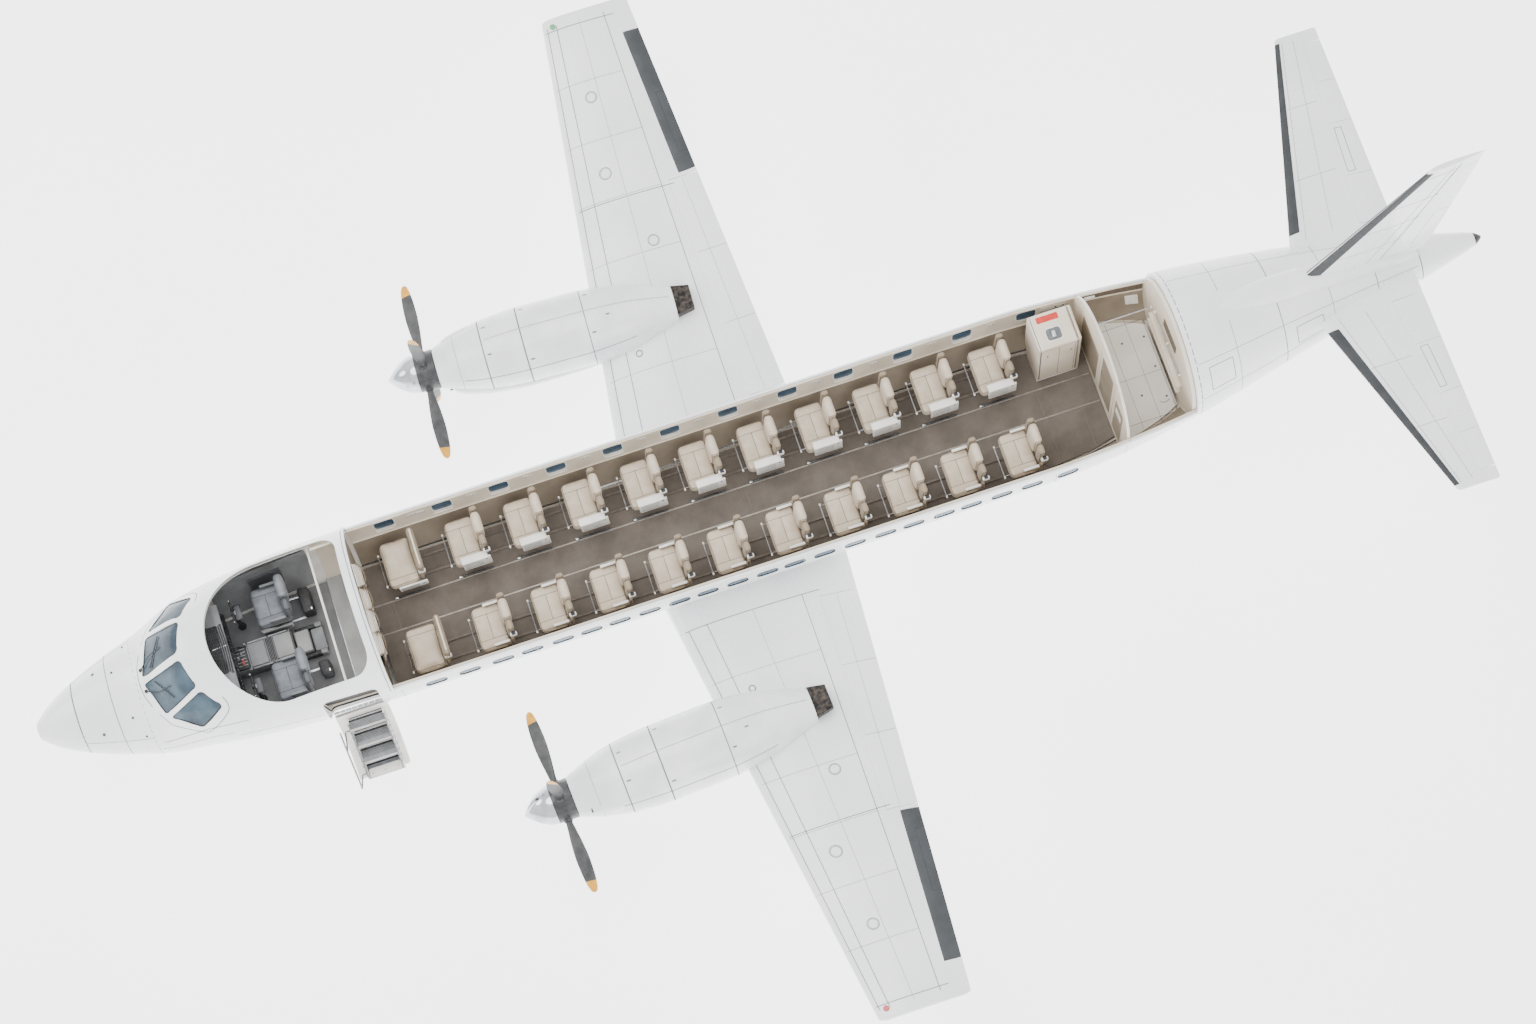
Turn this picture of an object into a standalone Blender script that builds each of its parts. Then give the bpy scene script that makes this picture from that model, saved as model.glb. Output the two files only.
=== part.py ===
"""Twin-turboprop commuter airliner on its gear, its roof cut away over cockpit and cabin.

Frame: +Y runs aft, +X to port, +Z up; the origin lies on the ground under the middle of the length.
A station is the distance aft of the nose tip, a height is measured from the cabin's centreline.
"""

import math

import bmesh
import bpy
from mathutils import Matrix, Vector

# Driving dimensions, in metres
LENGTH = 18.1
AXIS_HEIGHT = 1.95
GAP = 0.0003
SEAT_GAP = 0.0005
WALL = 0.06
HULL_POINTS = 32

# Hull sections: station, half width, height of the top, height of the bottom
HULL = (
    (0.00, 0.04, -0.335, -0.41),
    (0.05, 0.13, -0.27, -0.48),
    (0.15, 0.22, -0.20, -0.56),
    (0.30, 0.32, -0.12, -0.64),
    (0.55, 0.445, -0.02, -0.73),
    (0.90, 0.585, 0.10, -0.81),
    (1.46, 0.76, 0.27, -0.90),
    (1.75, 0.83, 0.55, -0.94),
    (2.05, 0.89, 0.81, -0.97),
    (2.35, 0.94, 0.90, -1.00),
    (3.00, 1.01, 1.00, -1.04),
    (3.70, 1.05, 1.045, -1.06),
    (4.40, 1.06, 1.06, -1.06),
    (12.40, 1.06, 1.06, -1.06),
    (13.00, 1.03, 1.065, -1.02),
    (13.60, 0.975, 1.07, -0.90),
    (14.30, 0.89, 1.08, -0.66),
    (15.00, 0.77, 1.08, -0.38),
    (15.70, 0.63, 1.04, -0.10),
    (16.40, 0.48, 0.95, 0.10),
    (17.10, 0.32, 0.80, 0.24),
    (17.70, 0.17, 0.64, 0.33),
    (18.00, 0.08, 0.545, 0.40),
    (18.10, 0.03, 0.50, 0.445),
)

# Where the hull's panels meet
RADOME_END = 0.55
HOOP_FRONT = 4.09
HOOP_END = 4.21
PARTITION = 13.36
CABIN_CUT_END = 14.22
TAIL_CONE_START = 17.25
CUT_HEIGHT = 0.20

# Cockpit: floor, roof opening and windshield
FLOOR_TOP = -0.62
FLOOR_THICKNESS = 0.04
ROOF_OPENING_HALF = 0.86
ROOF_OPENING_FRONT = 2.36
ROOF_OPENING_STRAIGHT = 3.10
ROOF_CORNER = 0.22
# Panes: the station and the angle from the crown of each corner, for the starboard side
PANES = {
    "front": ((1.45, 3), (1.61, 37), (2.10, 27), (1.99, 3)),
    "side": ((1.655, 41.5), (1.99, 62.5), (2.31, 47), (2.125, 31)),
}

# Airstair door, forward on the port side
DOOR_FRONT = 3.38
DOOR_END = 4.04
DOOR_SILL = -0.66
DOOR_HEAD = 0.36
DOOR_CLEARANCE = 0.008
DOOR_OPEN_ANGLE = 134.0
DOOR_STEPS = 8
STRINGERS = (3.50, 3.94)
STRINGER_WIDTH = 0.02
# Treads with the door open: inner x, outer x, height of the top
TREADS = (
    (0.975, 1.12, -0.70),
    (1.10, 1.29, -0.90),
    (1.25, 1.45, -1.10),
    (1.40, 1.585, -1.30),
)
TREAD_THICKNESS = 0.022
# Handrail with the door open: station, x, height along the rail and along its upper post
RAIL_RADIUS = 0.012
RAIL_PATH = (
    (3.41, 1.16, -0.455),
    (3.41, 1.27, -0.55),
    (3.41, 1.36, -0.67),
    (3.41, 1.71, -1.13),
    (3.44, 1.51, -1.31),
    (STRINGERS[0] - GAP, 1.51, -1.31),
)
RAIL_POST = (
    (3.41, 1.36, -0.67),
    (3.44, 1.075, -0.79),
    (STRINGERS[0] - GAP, 1.075, -0.79),
)

# Wing, from the joint beside the fuselage to the tip
WING_JOINT = 1.25
WING_ROOT = {"x": 1.15, "le": 7.57, "te": 9.80, "z": -0.80, "t": 0.155}
WING_TIP = {"x": 6.47, "le": 8.34, "te": 9.44, "z": 0.17, "t": 0.12}
# Where flap and aileron start and end along the wing, and their depths there
WING_SPLITS = (1.36, 4.16, 4.22, 6.08)
FLAP_DEPTHS = (0.44, 0.36)
AILERON_DEPTHS = (0.21, 0.19)
BELLY_FRONT = 7.20
BELLY_END = 10.10
BELLY_TOP = -0.6615
BELLY_SHOULDER = -0.60
# Belly fairing: station and how far it swells past the hull
BELLY_SWELL = ((BELLY_FRONT + GAP, 0.0), (7.6, 0.05), (8.6, 0.075), (9.6, 0.05), (BELLY_END - GAP, 0.0))
BELLY_STEPS = 10
WING_STUB_INNER = 0.60
CABIN_KEEPOUT = 0.715

# Tail surfaces, in the same columns; the fin's x is a height
TAILPLANE_ROOT = {"x": 0.10, "le": 15.73, "te": 17.13, "z": 0.71, "t": 0.10}
TAILPLANE_TIP = {"x": 2.95, "le": 16.55, "te": 17.07, "z": 1.00, "t": 0.09}
ELEVATOR_SHARES = (0.15, 0.955)
ELEVATOR_DEPTHS = (0.38, 0.19)
RUDDER_SHARES = (0.10, 0.90)
RUDDER_DEPTHS = (0.56, 0.27)
FIN_ROOT = {"height": 0.70, "le": 15.54, "te": 17.303, "t": 0.09}
FIN_TIP_LE = (17.02, 3.40)
FIN_TIP_TE = (17.64, 3.50)
# Dorsal fairing: station, half width, height above the hull's crown
DORSAL = (
    (14.70, 0.03, 0.01),
    (14.95, 0.12, 0.07),
    (15.40, 0.17, 0.14),
    (16.00, 0.17, 0.20),
    (16.60, 0.15, 0.20),
    (17.00, 0.12, 0.12),
    (17.24, 0.06, 0.04),
)

# Nacelles: the hub's place, the splay of the thrust line, sections aft of the hub
HUB_X = 2.81
HUB_STATION = 5.66
HUB_HEIGHT = -0.35
SPLAY = 2.9
# distance aft of the hub, half width, top, bottom
NACELLE = (
    (0.145, 0.25, 0.25, -0.27),
    (0.40, 0.34, 0.33, -0.42),
    (0.80, 0.43, 0.41, -0.50),
    (1.30, 0.465, 0.46, -0.54),
    (1.90, 0.465, 0.46, -0.55),
    (2.50, 0.41, 0.42, -0.54),
    (2.85, 0.31, 0.32, -0.49),
    (3.15, 0.215, 0.20, -0.36),
)
NACELLE_POINTS = 20
# Exhaust duct behind the nacelle: length, wall, half widths at its ends, heights of its floor and roof
EXHAUST_LENGTH = 0.22
EXHAUST_WALL = 0.025
EXHAUST_HALF = (0.19, 0.145)
EXHAUST_FLOOR = -0.02
EXHAUST_ROOF = 0.13
PROP_RADIUS = 1.15
SPINNER_RADIUS = 0.235
BLADE_POINTS = 8
# Blade sections: radius, chord, thickness, pitch from the disc's plane
BLADE = (
    (0.10, 0.07, 0.05, 78),
    (0.30, 0.09, 0.036, 74),
    (0.55, 0.15, 0.024, 70),
    (0.85, 0.165, 0.017, 66),
    (1.05, 0.125, 0.012, 63),
    (PROP_RADIUS, 0.045, 0.008, 62),
)
HUB_FRONT = -0.10
HUB_BACK = 0.139
SPINNER_LENGTH = 0.36
# Engine block inside the cowling: stations aft of the hub, radii of block and shaft
ENGINE = {"front": 0.45, "back": 1.85, "radius": 0.24, "shaft": 0.06}
SHAFT_HOLE = 0.13
COWL_WALL = 0.05
COWL_STATIONS = (0.20, 0.40, 0.80, 1.30, 1.85)

# Landing gear: station of the axle, distance from the centreline, tyre radius, tyre width
NOSE_AXLE = 2.45
NOSE_TYRE = {"radius": 0.22, "width": 0.15, "rim": 0.12}
MAIN_AXLE = 9.02
MAIN_X = 2.66
MAIN_TYRE = {"radius": 0.36, "width": 0.22, "rim": 0.19}
NOSE_LEG = {"radius": 0.055, "foot": -1.42, "head": -0.90}
NOSE_BRACE = {"radius": 0.026, "foot": -1.25, "head": -0.86, "run": 0.47}
NOSE_FORK = {"radius": 0.042, "foot": 0.028, "sleeve": 0.034, "sleeve_half": 0.055, "bore": 0.0205}
NOSE_WHEEL_OFFSET = 0.145
NOSE_AXLE_HALF = 0.21
NOSE_AXLE_RADIUS = 0.02
MAIN_LEG = {"radius": 0.055, "offset": 0.19, "rake": 0.42, "head": -0.62, "boss": 0.06, "boss_half": 0.07}
MAIN_BRACE = {"radius": 0.028, "knee_run": 0.20, "knee_rise": 0.42, "run": 0.75, "head": -0.66}
MAIN_AXLE_RADIUS = 0.03
MAIN_AXLE_REACH = 0.12

# Largest angle between two faces that are shaded as one round surface
SHARP_ANGLE = 40.0

# Cabin
CABINET_STATIONS = (12.67, 13.21)
CABINET_TOP = 0.48
CURTAIN_RAIL_TOP = 0.42
PARTITION_SILL = 0.04
LEAF_LOW = -0.03
LEAF_HIGH = 0.42
LEAF_HEAD = 0.83
LEAF_HINGE_GAP = 0.016
LEAF_PIN = 0.008
SEAT_PITCH = 0.735
FIRST_SEAT = 4.67
SECOND_SEAT = 5.475
SEATS = 11
SEAT_X = {"left": 0.555, "right": -0.555}
SEAT_WIDTH = {"left": 0.54, "right": 0.57}
# Passenger and crew seats: distances fore and aft of the seat's station, heights above the floor
SEAT_FRONT = 0.16
SEAT_BACK = 0.24
CUSHION_LOW = 0.28
CUSHION_TOP = 0.43
BACK_TOP = 0.76
BACK_LEAN = 0.075
SEAT_BASE = 0.30
SEAT_RAIL_OFFSET = 0.11
SEAT_RAIL_HALF = 0.015
SEAT_RAIL_TOP = 0.02
# Armrests: distances inward and outward of the cushion's edge, fore and aft ends, low and top above the floor
LONG_ARM = {"inward": 0.01, "outward": 0.05, "front": -0.08, "back": 0.27, "low": 0.30, "top": 0.56}
SHORT_ARM = {"inward": 0.05, "outward": 0.005, "front": -0.02, "back": 0.20, "low": 0.36, "top": 0.50}
# The flight deck's furniture stands a little to starboard, as the picture shows it
DECK_X = -0.06
CREW_SEAT = {"x": 0.47, "station": 3.04, "width": 0.48, "base": 0.26, "lift": 0.09}
# Control yokes ahead of the crew: station, half width of stem and wheel, heights of the wheel
YOKE = {"station": 2.64, "stem": 0.02, "wheel": 0.15, "depth": 0.018, "low": -0.01, "high": 0.06}

PAINT = {
    "white": ((0.86, 0.87, 0.88), 0.3, 0.0),
    "grey": ((0.25, 0.26, 0.27), 0.5, 0.0),
    "dark": ((0.05, 0.05, 0.055), 0.55, 0.0),
    "glass": ((0.10, 0.16, 0.20), 0.08, 0.0),
    "metal": ((0.62, 0.63, 0.65), 0.25, 1.0),
    "steel": ((0.35, 0.35, 0.36), 0.4, 1.0),
    "leather": ((0.72, 0.66, 0.56), 0.6, 0.0),
    "grey_leather": ((0.34, 0.35, 0.36), 0.6, 0.0),
    "carpet": ((0.26, 0.23, 0.20), 0.95, 0.0),
    "panel": ((0.66, 0.62, 0.55), 0.6, 0.0),
    "rubber": ((0.03, 0.03, 0.03), 0.8, 0.0),
}


# Scene and helpers

for old in list(bpy.data.objects):
    bpy.data.objects.remove(old, do_unlink=True)

PARTS = bpy.data.collections.new("turboprop_airliner")
CUTTERS = bpy.data.collections.new("cutters")
bpy.context.scene.collection.children.link(PARTS)
bpy.context.scene.collection.children.link(CUTTERS)


def material(name):
    found = bpy.data.materials.get(name)
    if found:
        return found
    colour, roughness, metallic = PAINT[name]
    made = bpy.data.materials.new(name)
    made.use_nodes = True
    shader = made.node_tree.nodes["Principled BSDF"]
    shader.inputs["Base Color"].default_value = (*colour, 1)
    shader.inputs["Roughness"].default_value = roughness
    shader.inputs["Metallic"].default_value = metallic
    made.diffuse_color = (*colour, 1)
    return made


def place(name, mesh, look=None, at=None):
    """An object of this mesh: a part where it has a look, a hidden cutter where it hasn't."""
    obj = bpy.data.objects.new(name, mesh)
    if at is not None:
        mesh.transform(Matrix.Translation(-at))
        obj.location = at
    if look:
        PARTS.objects.link(obj)
        mesh.materials.append(material(look))
    else:
        CUTTERS.objects.link(obj)
        obj.hide_render = True
        obj.display_type = "WIRE"
    return obj


def finish(bm, name):
    bmesh.ops.recalc_face_normals(bm, faces=bm.faces)
    mesh = bpy.data.meshes.new(name)
    bm.to_mesh(mesh)
    bm.free()
    return mesh


def world(station, x, height):
    return Vector((x, station - LENGTH / 2, height + AXIS_HEIGHT))


def loft(name, rings, look=None, at=None):
    """A closed solid through rings with equal numbers of points, with a flat cap at each end."""
    bm = bmesh.new()
    rows = [[bm.verts.new(point) for point in ring] for ring in rings]
    count = len(rows[0])
    for low, high in zip(rows, rows[1:]):
        for i in range(count):
            j = (i + 1) % count
            bm.faces.new((low[i], low[j], high[j]))
            bm.faces.new((low[i], high[j], high[i]))
    bm.faces.new(list(reversed(rows[0])))
    bm.faces.new(rows[-1])
    return place(name, finish(bm, name), look, at)


def box(name, low, high, look=None, at=None, bevel=0.0):
    """A box between two corners (x, station, height)."""
    low = world(low[1], low[0], low[2])
    high = world(high[1], high[0], high[2])
    bm = bmesh.new()
    bmesh.ops.create_cube(bm, size=1.0)
    bmesh.ops.scale(bm, vec=high - low, verts=bm.verts)
    bmesh.ops.translate(bm, vec=(low + high) / 2, verts=bm.verts)
    if bevel:
        bmesh.ops.bevel(bm, geom=bm.edges[:], offset=bevel, segments=2, affect="EDGES", profile=0.5)
    return place(name, finish(bm, name), look, at)


def rod(name, start, end, radius, look=None, at=None, sides=16, end_radius=None):
    """A round bar between two points of the world."""
    along = end - start
    bm = bmesh.new()
    bmesh.ops.create_cone(
        bm,
        cap_ends=True,
        segments=sides,
        radius1=radius,
        radius2=radius if end_radius is None else end_radius,
        depth=along.length,
    )
    turn = along.to_track_quat("Z", "Y").to_matrix().to_4x4()
    bmesh.ops.transform(bm, matrix=Matrix.Translation((start + end) / 2) @ turn, verts=bm.verts)
    return place(name, finish(bm, name), look, at)


def tube(name, points, radius, look=None, at=None):
    """A bent round bar with flat ends."""
    curve = bpy.data.curves.new(name, "CURVE")
    curve.dimensions = "3D"
    curve.bevel_depth = radius
    curve.bevel_resolution = 1
    curve.use_fill_caps = True
    path = curve.splines.new("POLY")
    path.points.add(len(points) - 1)
    for knot, point in zip(path.points, points):
        knot.co = (*point, 1)
    guide = bpy.data.objects.new(name + "_path", curve)
    CUTTERS.objects.link(guide)
    bm = bmesh.new()
    bm.from_mesh(applied(guide))
    bpy.data.objects.remove(guide)
    bmesh.ops.remove_doubles(bm, verts=bm.verts, dist=0.0001)
    return place(name, finish(bm, name), look, at)


def plate(name, outline, low, high, direction, look=None, at=None):
    """A flat outline of world points, moved from low to high along a direction."""
    rings = [[point + direction * offset for point in outline] for offset in (low, high)]
    return loft(name, rings, look, at)


def turned(name, profile, look=None, steps=32, centre=None, turn=None):
    """A profile of (radius, height) turned about +Z, then laid along its axle."""
    bm = bmesh.new()
    points = [bm.verts.new((radius, 0.0, height)) for radius, height in profile]
    ends = zip(points, points[1:])
    if profile[0][0] > 0:
        ends = zip(points, points[1:] + points[:1])
    for first, second in ends:
        bm.edges.new((first, second))
    mesh = bpy.data.meshes.new(name)
    bm.to_mesh(mesh)
    bm.free()
    obj = place(name, mesh, look)
    screw = obj.modifiers.new("turn", "SCREW")
    screw.steps = steps
    screw.render_steps = steps
    screw.use_merge_vertices = True
    screw.merge_threshold = 0.0001
    if centre is not None:
        obj.location = centre
    if turn is not None:
        obj.rotation_euler = turn
    return obj


def combine(target, *others, how="UNION"):
    """Boolean modifiers that add the others to the target, or cut them from it."""
    for other in others:
        step = target.modifiers.new(how.lower(), "BOOLEAN")
        step.operation = how
        step.solver = "EXACT"
        step.object = other
    return target


def cut(target, *others):
    return combine(target, *others, how="DIFFERENCE")


def applied(obj):
    """The mesh of the object as its modifiers leave it, in world space."""
    bpy.context.view_layer.update()
    graph = bpy.context.evaluated_depsgraph_get()
    mesh = bpy.data.meshes.new_from_object(obj.evaluated_get(graph))
    mesh.transform(obj.matrix_world)
    return mesh


# Hull

def between(table, station):
    """The row of a table of sections at a station, between its neighbours."""
    for low, high in zip(table, table[1:]):
        if low[0] <= station <= high[0]:
            t = (station - low[0]) / (high[0] - low[0])
            return [a + (b - a) * t for a, b in zip(low, high)]
    return list(table[-1] if station > table[-1][0] else table[0])


def hull_point(station, angle, inset=0.0):
    """A point of the hull; the angle runs from the crown, positive to port."""
    _, half, top, bottom = between(HULL, station)
    middle = (top + bottom) / 2
    rise = (top - bottom) / 2 - inset
    return world(station, (half - inset) * math.sin(angle), middle + rise * math.cos(angle))


def hull_ring(station, inset=0.0):
    return [hull_point(station, 2 * math.pi * i / HULL_POINTS, inset) for i in range(HULL_POINTS)]


def hull_stations(start, end):
    breaks = sorted([row[0] for row in HULL] + [HOOP_END, PARTITION, TAIL_CONE_START])
    return [start] + [s for s in breaks if start + 0.01 < s < end - 0.01] + [end]


def hull_solid(name, start, end, inset=0.0, look=None):
    return loft(name, [hull_ring(s, inset) for s in hull_stations(start, end)], look)


def hull_side(station, height, inset=0.0):
    """Half width of the hull's faceted ring at a height."""
    level = height + AXIS_HEIGHT
    ring = hull_ring(station, inset)[: HULL_POINTS // 2 + 1]
    for high, low in zip(ring, ring[1:]):
        if low.z <= level <= high.z:
            return high.lerp(low, (high.z - level) / (high.z - low.z)).x
    return 0.0


def shell(name, start, end, look):
    """A tube of the hull's outer form, WALL thick and open at both ends."""
    body = hull_solid(name, start, end, 0.0, look)
    hollow = hull_solid(name + "_hollow", start - 0.2, end + 0.2, WALL)
    return cut(body, hollow)


def rounded_outline(half, front, end, corner, straight=None, steps=6):
    """Plan outline of a roof opening: bow-shaped front up to the straight station, or rounded corners."""
    points = []
    if straight:
        for i in range(2 * steps + 1):
            turn = math.pi * (i / (2 * steps))
            points.append((-half * math.cos(turn), straight - (straight - front) * math.sin(turn)))
    else:
        for turn_start, sx in ((0, -1), (90, 1)):
            for i in range(steps + 1):
                turn = math.radians(turn_start + 90 * i / steps)
                x = sx * (half - corner) - corner * math.cos(turn)
                points.append((x, front + corner - corner * math.sin(turn)))
    for turn_start, sx in ((0, 1), (90, -1)):
        for i in range(steps + 1):
            turn = math.radians(turn_start + 90 * i / steps)
            x = sx * (half - corner) + corner * math.cos(turn)
            points.append((x, end - corner + corner * math.sin(turn)))
    return points


def roof_cutter(name, outline, floor, top=1.6):
    ring = [world(station, x, floor) for x, station in outline]
    return plate(name, ring, 0.0, top - floor, Vector((0, 0, 1)))


def pane_cutter(name, corners, side):
    rings = []
    for inset in (WALL + 0.06, -0.12):
        rings.append([hull_point(s, side * math.radians(angle), inset) for s, angle in corners])
    return loft(name, rings)


def build_hull():
    hull_solid("nose_cone", 0.0, RADOME_END - GAP, 0.0, "white")

    front = shell("forward_fuselage", RADOME_END, HOOP_END, "white")
    outline = rounded_outline(
        ROOF_OPENING_HALF, ROOF_OPENING_FRONT, HOOP_FRONT, ROOF_CORNER, ROOF_OPENING_STRAIGHT
    )
    cut(front, roof_cutter("cockpit_roof_cut", outline, 0.2))
    for side_name, side in (("right", -1), ("left", 1)):
        for pane, corners in PANES.items():
            cut(front, pane_cutter(f"pane_{pane}_{side_name}", corners, side))
    cut(front, box("doorway", (0.5, DOOR_FRONT, DOOR_SILL), (1.3, DOOR_END, DOOR_HEAD)))
    lug_x = hull_side(3.7, DOOR_SILL) + 0.03
    for name, start, end in (
        ("door_lug_front", DOOR_FRONT - 0.03, DOOR_FRONT - GAP),
        ("door_lug_back", DOOR_END + GAP, DOOR_END + 0.03),
    ):
        low = (lug_x - 0.07, start, DOOR_SILL - 0.02)
        combine(front, box(name, low, (lug_x + 0.022, end, DOOR_SILL + 0.03)))

    cabin = shell("cabin_shell", HOOP_END + GAP, PARTITION, "white")
    cut(cabin, box("cabin_roof_cut", (-1.5, HOOP_END - 0.1, CUT_HEIGHT), (1.5, PARTITION + 0.1, 2)))
    belly = box("belly_cut", (-1.5, BELLY_FRONT, -1.6), (1.5, BELLY_END, BELLY_SHOULDER))
    cut(cabin, belly)

    aft = shell("aft_fuselage", PARTITION + GAP, TAIL_CONE_START, "white")
    cut(aft, box("aft_roof_cut", (-1.5, PARTITION - 0.1, CUT_HEIGHT), (1.5, CABIN_CUT_END, 2)))

    hull_solid("tail_cone", TAIL_CONE_START + GAP, LENGTH, 0.0, "white")


def build_glass():
    """One curved sheet behind the posts of the windshield, on the facets of the hull."""
    bm = bmesh.new()
    widest = 6
    depth = WALL + 2 * GAP
    rows = []
    for station in hull_stations(1.42, 2.33):
        angles = [2 * math.pi * i / HULL_POINTS for i in range(-widest, widest + 1)]
        rows.append([bm.verts.new(hull_point(station, angle, depth)) for angle in angles])
    for low, high in zip(rows, rows[1:]):
        for i in range(2 * widest):
            bm.faces.new((low[i], low[i + 1], high[i + 1]))
            bm.faces.new((low[i], high[i + 1], high[i]))
    mesh = bpy.data.meshes.new("windshield_glass")
    bm.to_mesh(mesh)
    bm.free()
    obj = place("windshield_glass", mesh, "glass")
    solid = obj.modifiers.new("thickness", "SOLIDIFY")
    solid.thickness = 0.010
    solid.offset = -1.0
    return obj


# Floors, bulkheads and furniture

def floor_panel(name, start, end, top, look, thickness=FLOOR_THICKNESS):
    """A floor that reaches the inner wall along its lower edge."""
    stations = hull_stations(start, end)
    rings = []
    for station in stations:
        half = hull_side(station, top - thickness, WALL) - SEAT_GAP
        corners = ((-half, top - thickness), (half, top - thickness), (half, top), (-half, top))
        rings.append([world(station, x, z) for x, z in corners])
    return loft(name, rings, look)


def disc(name, start, end, bottom, look, inset=WALL + SEAT_GAP):
    """A bulkhead that follows the inner wall above a floor."""
    rings = []
    for station in (start, end):
        ring = hull_ring(station, inset)
        floor = bottom + AXIS_HEIGHT
        side = hull_side(station, bottom, inset)
        kept = [p for p in ring if p.z > floor + 0.02]
        kept = sorted(kept, key=lambda p: math.atan2(p.x, p.z - AXIS_HEIGHT))
        rings.append([world(station, -side, bottom), *kept, world(station, side, bottom)])
    return loft(name, rings, look)


def build_interior():
    floor_panel("cockpit_floor", 2.30, HOOP_FRONT + 0.03, FLOOR_TOP, "grey")
    floor_panel("cabin_floor", HOOP_END + 0.001, PARTITION - 0.032, FLOOR_TOP, "carpet")
    disc("forward_bulkhead", HOOP_FRONT + 0.031, HOOP_FRONT + 0.07, FLOOR_TOP, "panel")

    partition = disc("aft_partition", PARTITION - 0.031, PARTITION - 0.001, FLOOR_TOP, "panel")
    bottom = FLOOR_TOP + PARTITION_SILL
    doorway = box(
        "partition_doorway",
        (LEAF_LOW - 0.006, PARTITION - 0.2, bottom - 0.006),
        (LEAF_HIGH + LEAF_HINGE_GAP, PARTITION + 0.2, LEAF_HEAD + 0.006),
    )
    cut(partition, doorway)
    axis = world(PARTITION - 0.018, LEAF_HIGH, bottom)
    leaf = box(
        "partition_door",
        (LEAF_LOW, PARTITION - 0.030, bottom),
        (LEAF_HIGH, PARTITION - 0.006, LEAF_HEAD),
        "panel",
        axis,
    )
    # The leaf stands on a pin that turns on the sill
    foot = axis - Vector((0, 0, 0.006 - GAP))
    combine(leaf, rod("partition_pin", foot, axis + Vector((0, 0, 0.03)), LEAF_PIN))

    floor_panel("compartment_floor", PARTITION + 0.001, 14.14, -0.42, "panel", 0.05)
    disc("aft_bulkhead", 14.175, 14.215, -0.42, "panel")
    foot = FLOOR_TOP + GAP
    outline = ((-0.34, foot), (-0.34, CABINET_TOP), (-0.80, CABINET_TOP), (-0.80, -0.35), (-0.68, foot))
    sides = [[world(station, x, z) for x, z in outline] for station in CABINET_STATIONS]
    loft("exit_cabinet", sides, "panel")

    outline = ((1.95, 0.29), (2.46, 0.29), (2.50, 0.25), (2.50, 0.20), (2.44, 0.19), (2.52, -0.20))
    outline += ((2.40, -0.22), (2.34, 0.16), (1.95, 0.24))
    ring = [world(s, 0.0, z) for s, z in outline]
    panel = plate("instrument_panel", ring, DECK_X - 0.56, DECK_X + 0.56, Vector((1, 0, 0)), "dark")
    stem = box("panel_stem", (DECK_X - 0.14, 2.38, FLOOR_TOP + GAP), (DECK_X + 0.14, 2.46, -0.1))
    low = (DECK_X - 0.16, 2.38, FLOOR_TOP + GAP)
    pedestal = box("pedestal", low, (DECK_X + 0.16, 3.20, -0.30), bevel=0.01)
    combine(panel, stem, pedestal)
    reach = hull_side(3.715, CURTAIN_RAIL_TOP, WALL) - 2 * GAP
    low = (-reach, 3.715, CURTAIN_RAIL_TOP - 0.035)
    box("curtain_rail", low, (reach, 3.745, CURTAIN_RAIL_TOP), "metal")


def seat_form(name, x, station, width, floor, look=None):
    """Cushion and backrest as one side outline."""
    front, back = station - SEAT_FRONT, station + SEAT_BACK
    outline = (
        (front, floor + CUSHION_LOW),
        (back + 0.01, floor + CUSHION_LOW),
        (back + BACK_LEAN, floor + BACK_TOP),
        (back - 0.03, floor + BACK_TOP + 0.02),
        (back - 0.06, floor + CUSHION_TOP),
        (front, floor + CUSHION_TOP),
    )
    ring = [world(s, x, z) for s, z in outline]
    return plate(name, ring, -width / 2, width / 2, Vector((1, 0, 0)), look)


def seat_supports(name, x, station, width, floor, arms, base, lift=0.0):
    """The seat's narrower base, and its armrests as pairs of a side and a form."""
    low = (x - base / 2, station - SEAT_FRONT + 0.06, floor + 0.012)
    high = (x + base / 2, station + SEAT_BACK - 0.04, floor + lift + CUSHION_LOW + 0.01)
    solids = [box(f"{name}_base", low, high)]
    for side, arm in arms:
        inner = x + side * (width / 2 - arm["inward"])
        outer = x + side * (width / 2 + arm["outward"])
        low = (min(inner, outer), station + arm["front"], floor + lift + arm["low"])
        high = (max(inner, outer), station + arm["back"], floor + lift + arm["top"])
        solids.append(box(f"{name}_arm{side}", low, high))
    return solids


def seat_station(number):
    return SECOND_SEAT + SEAT_PITCH * (number - 1) if number else FIRST_SEAT


def build_seats():
    for side, x in SEAT_X.items():
        rails = []
        for offset in (-SEAT_RAIL_OFFSET, SEAT_RAIL_OFFSET):
            low = (x + offset - SEAT_RAIL_HALF, seat_station(0) - 0.25, FLOOR_TOP + GAP)
            high = (x + offset + SEAT_RAIL_HALF, seat_station(SEATS - 1) + 0.35, FLOOR_TOP + SEAT_RAIL_TOP)
            rails.append((low, high))
        row = box(f"seat_row_{side}", *rails[0], "leather")
        combine(row, box(f"seat_rail_{side}", *rails[1]))
        usual_arms = ((1, SHORT_ARM), (-1, SHORT_ARM)) if side == "left" else ((1, LONG_ARM),)
        for number in range(SEATS):
            station = seat_station(number)
            name = f"seat_{side}_{number}"
            width = SEAT_WIDTH[side]
            form = seat_form(f"{name}_form", x, station, width, FLOOR_TOP)
            arms = () if number == 0 else usual_arms
            combine(row, form, *seat_supports(name, x, station, width, FLOOR_TOP, arms, SEAT_BASE))


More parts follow.
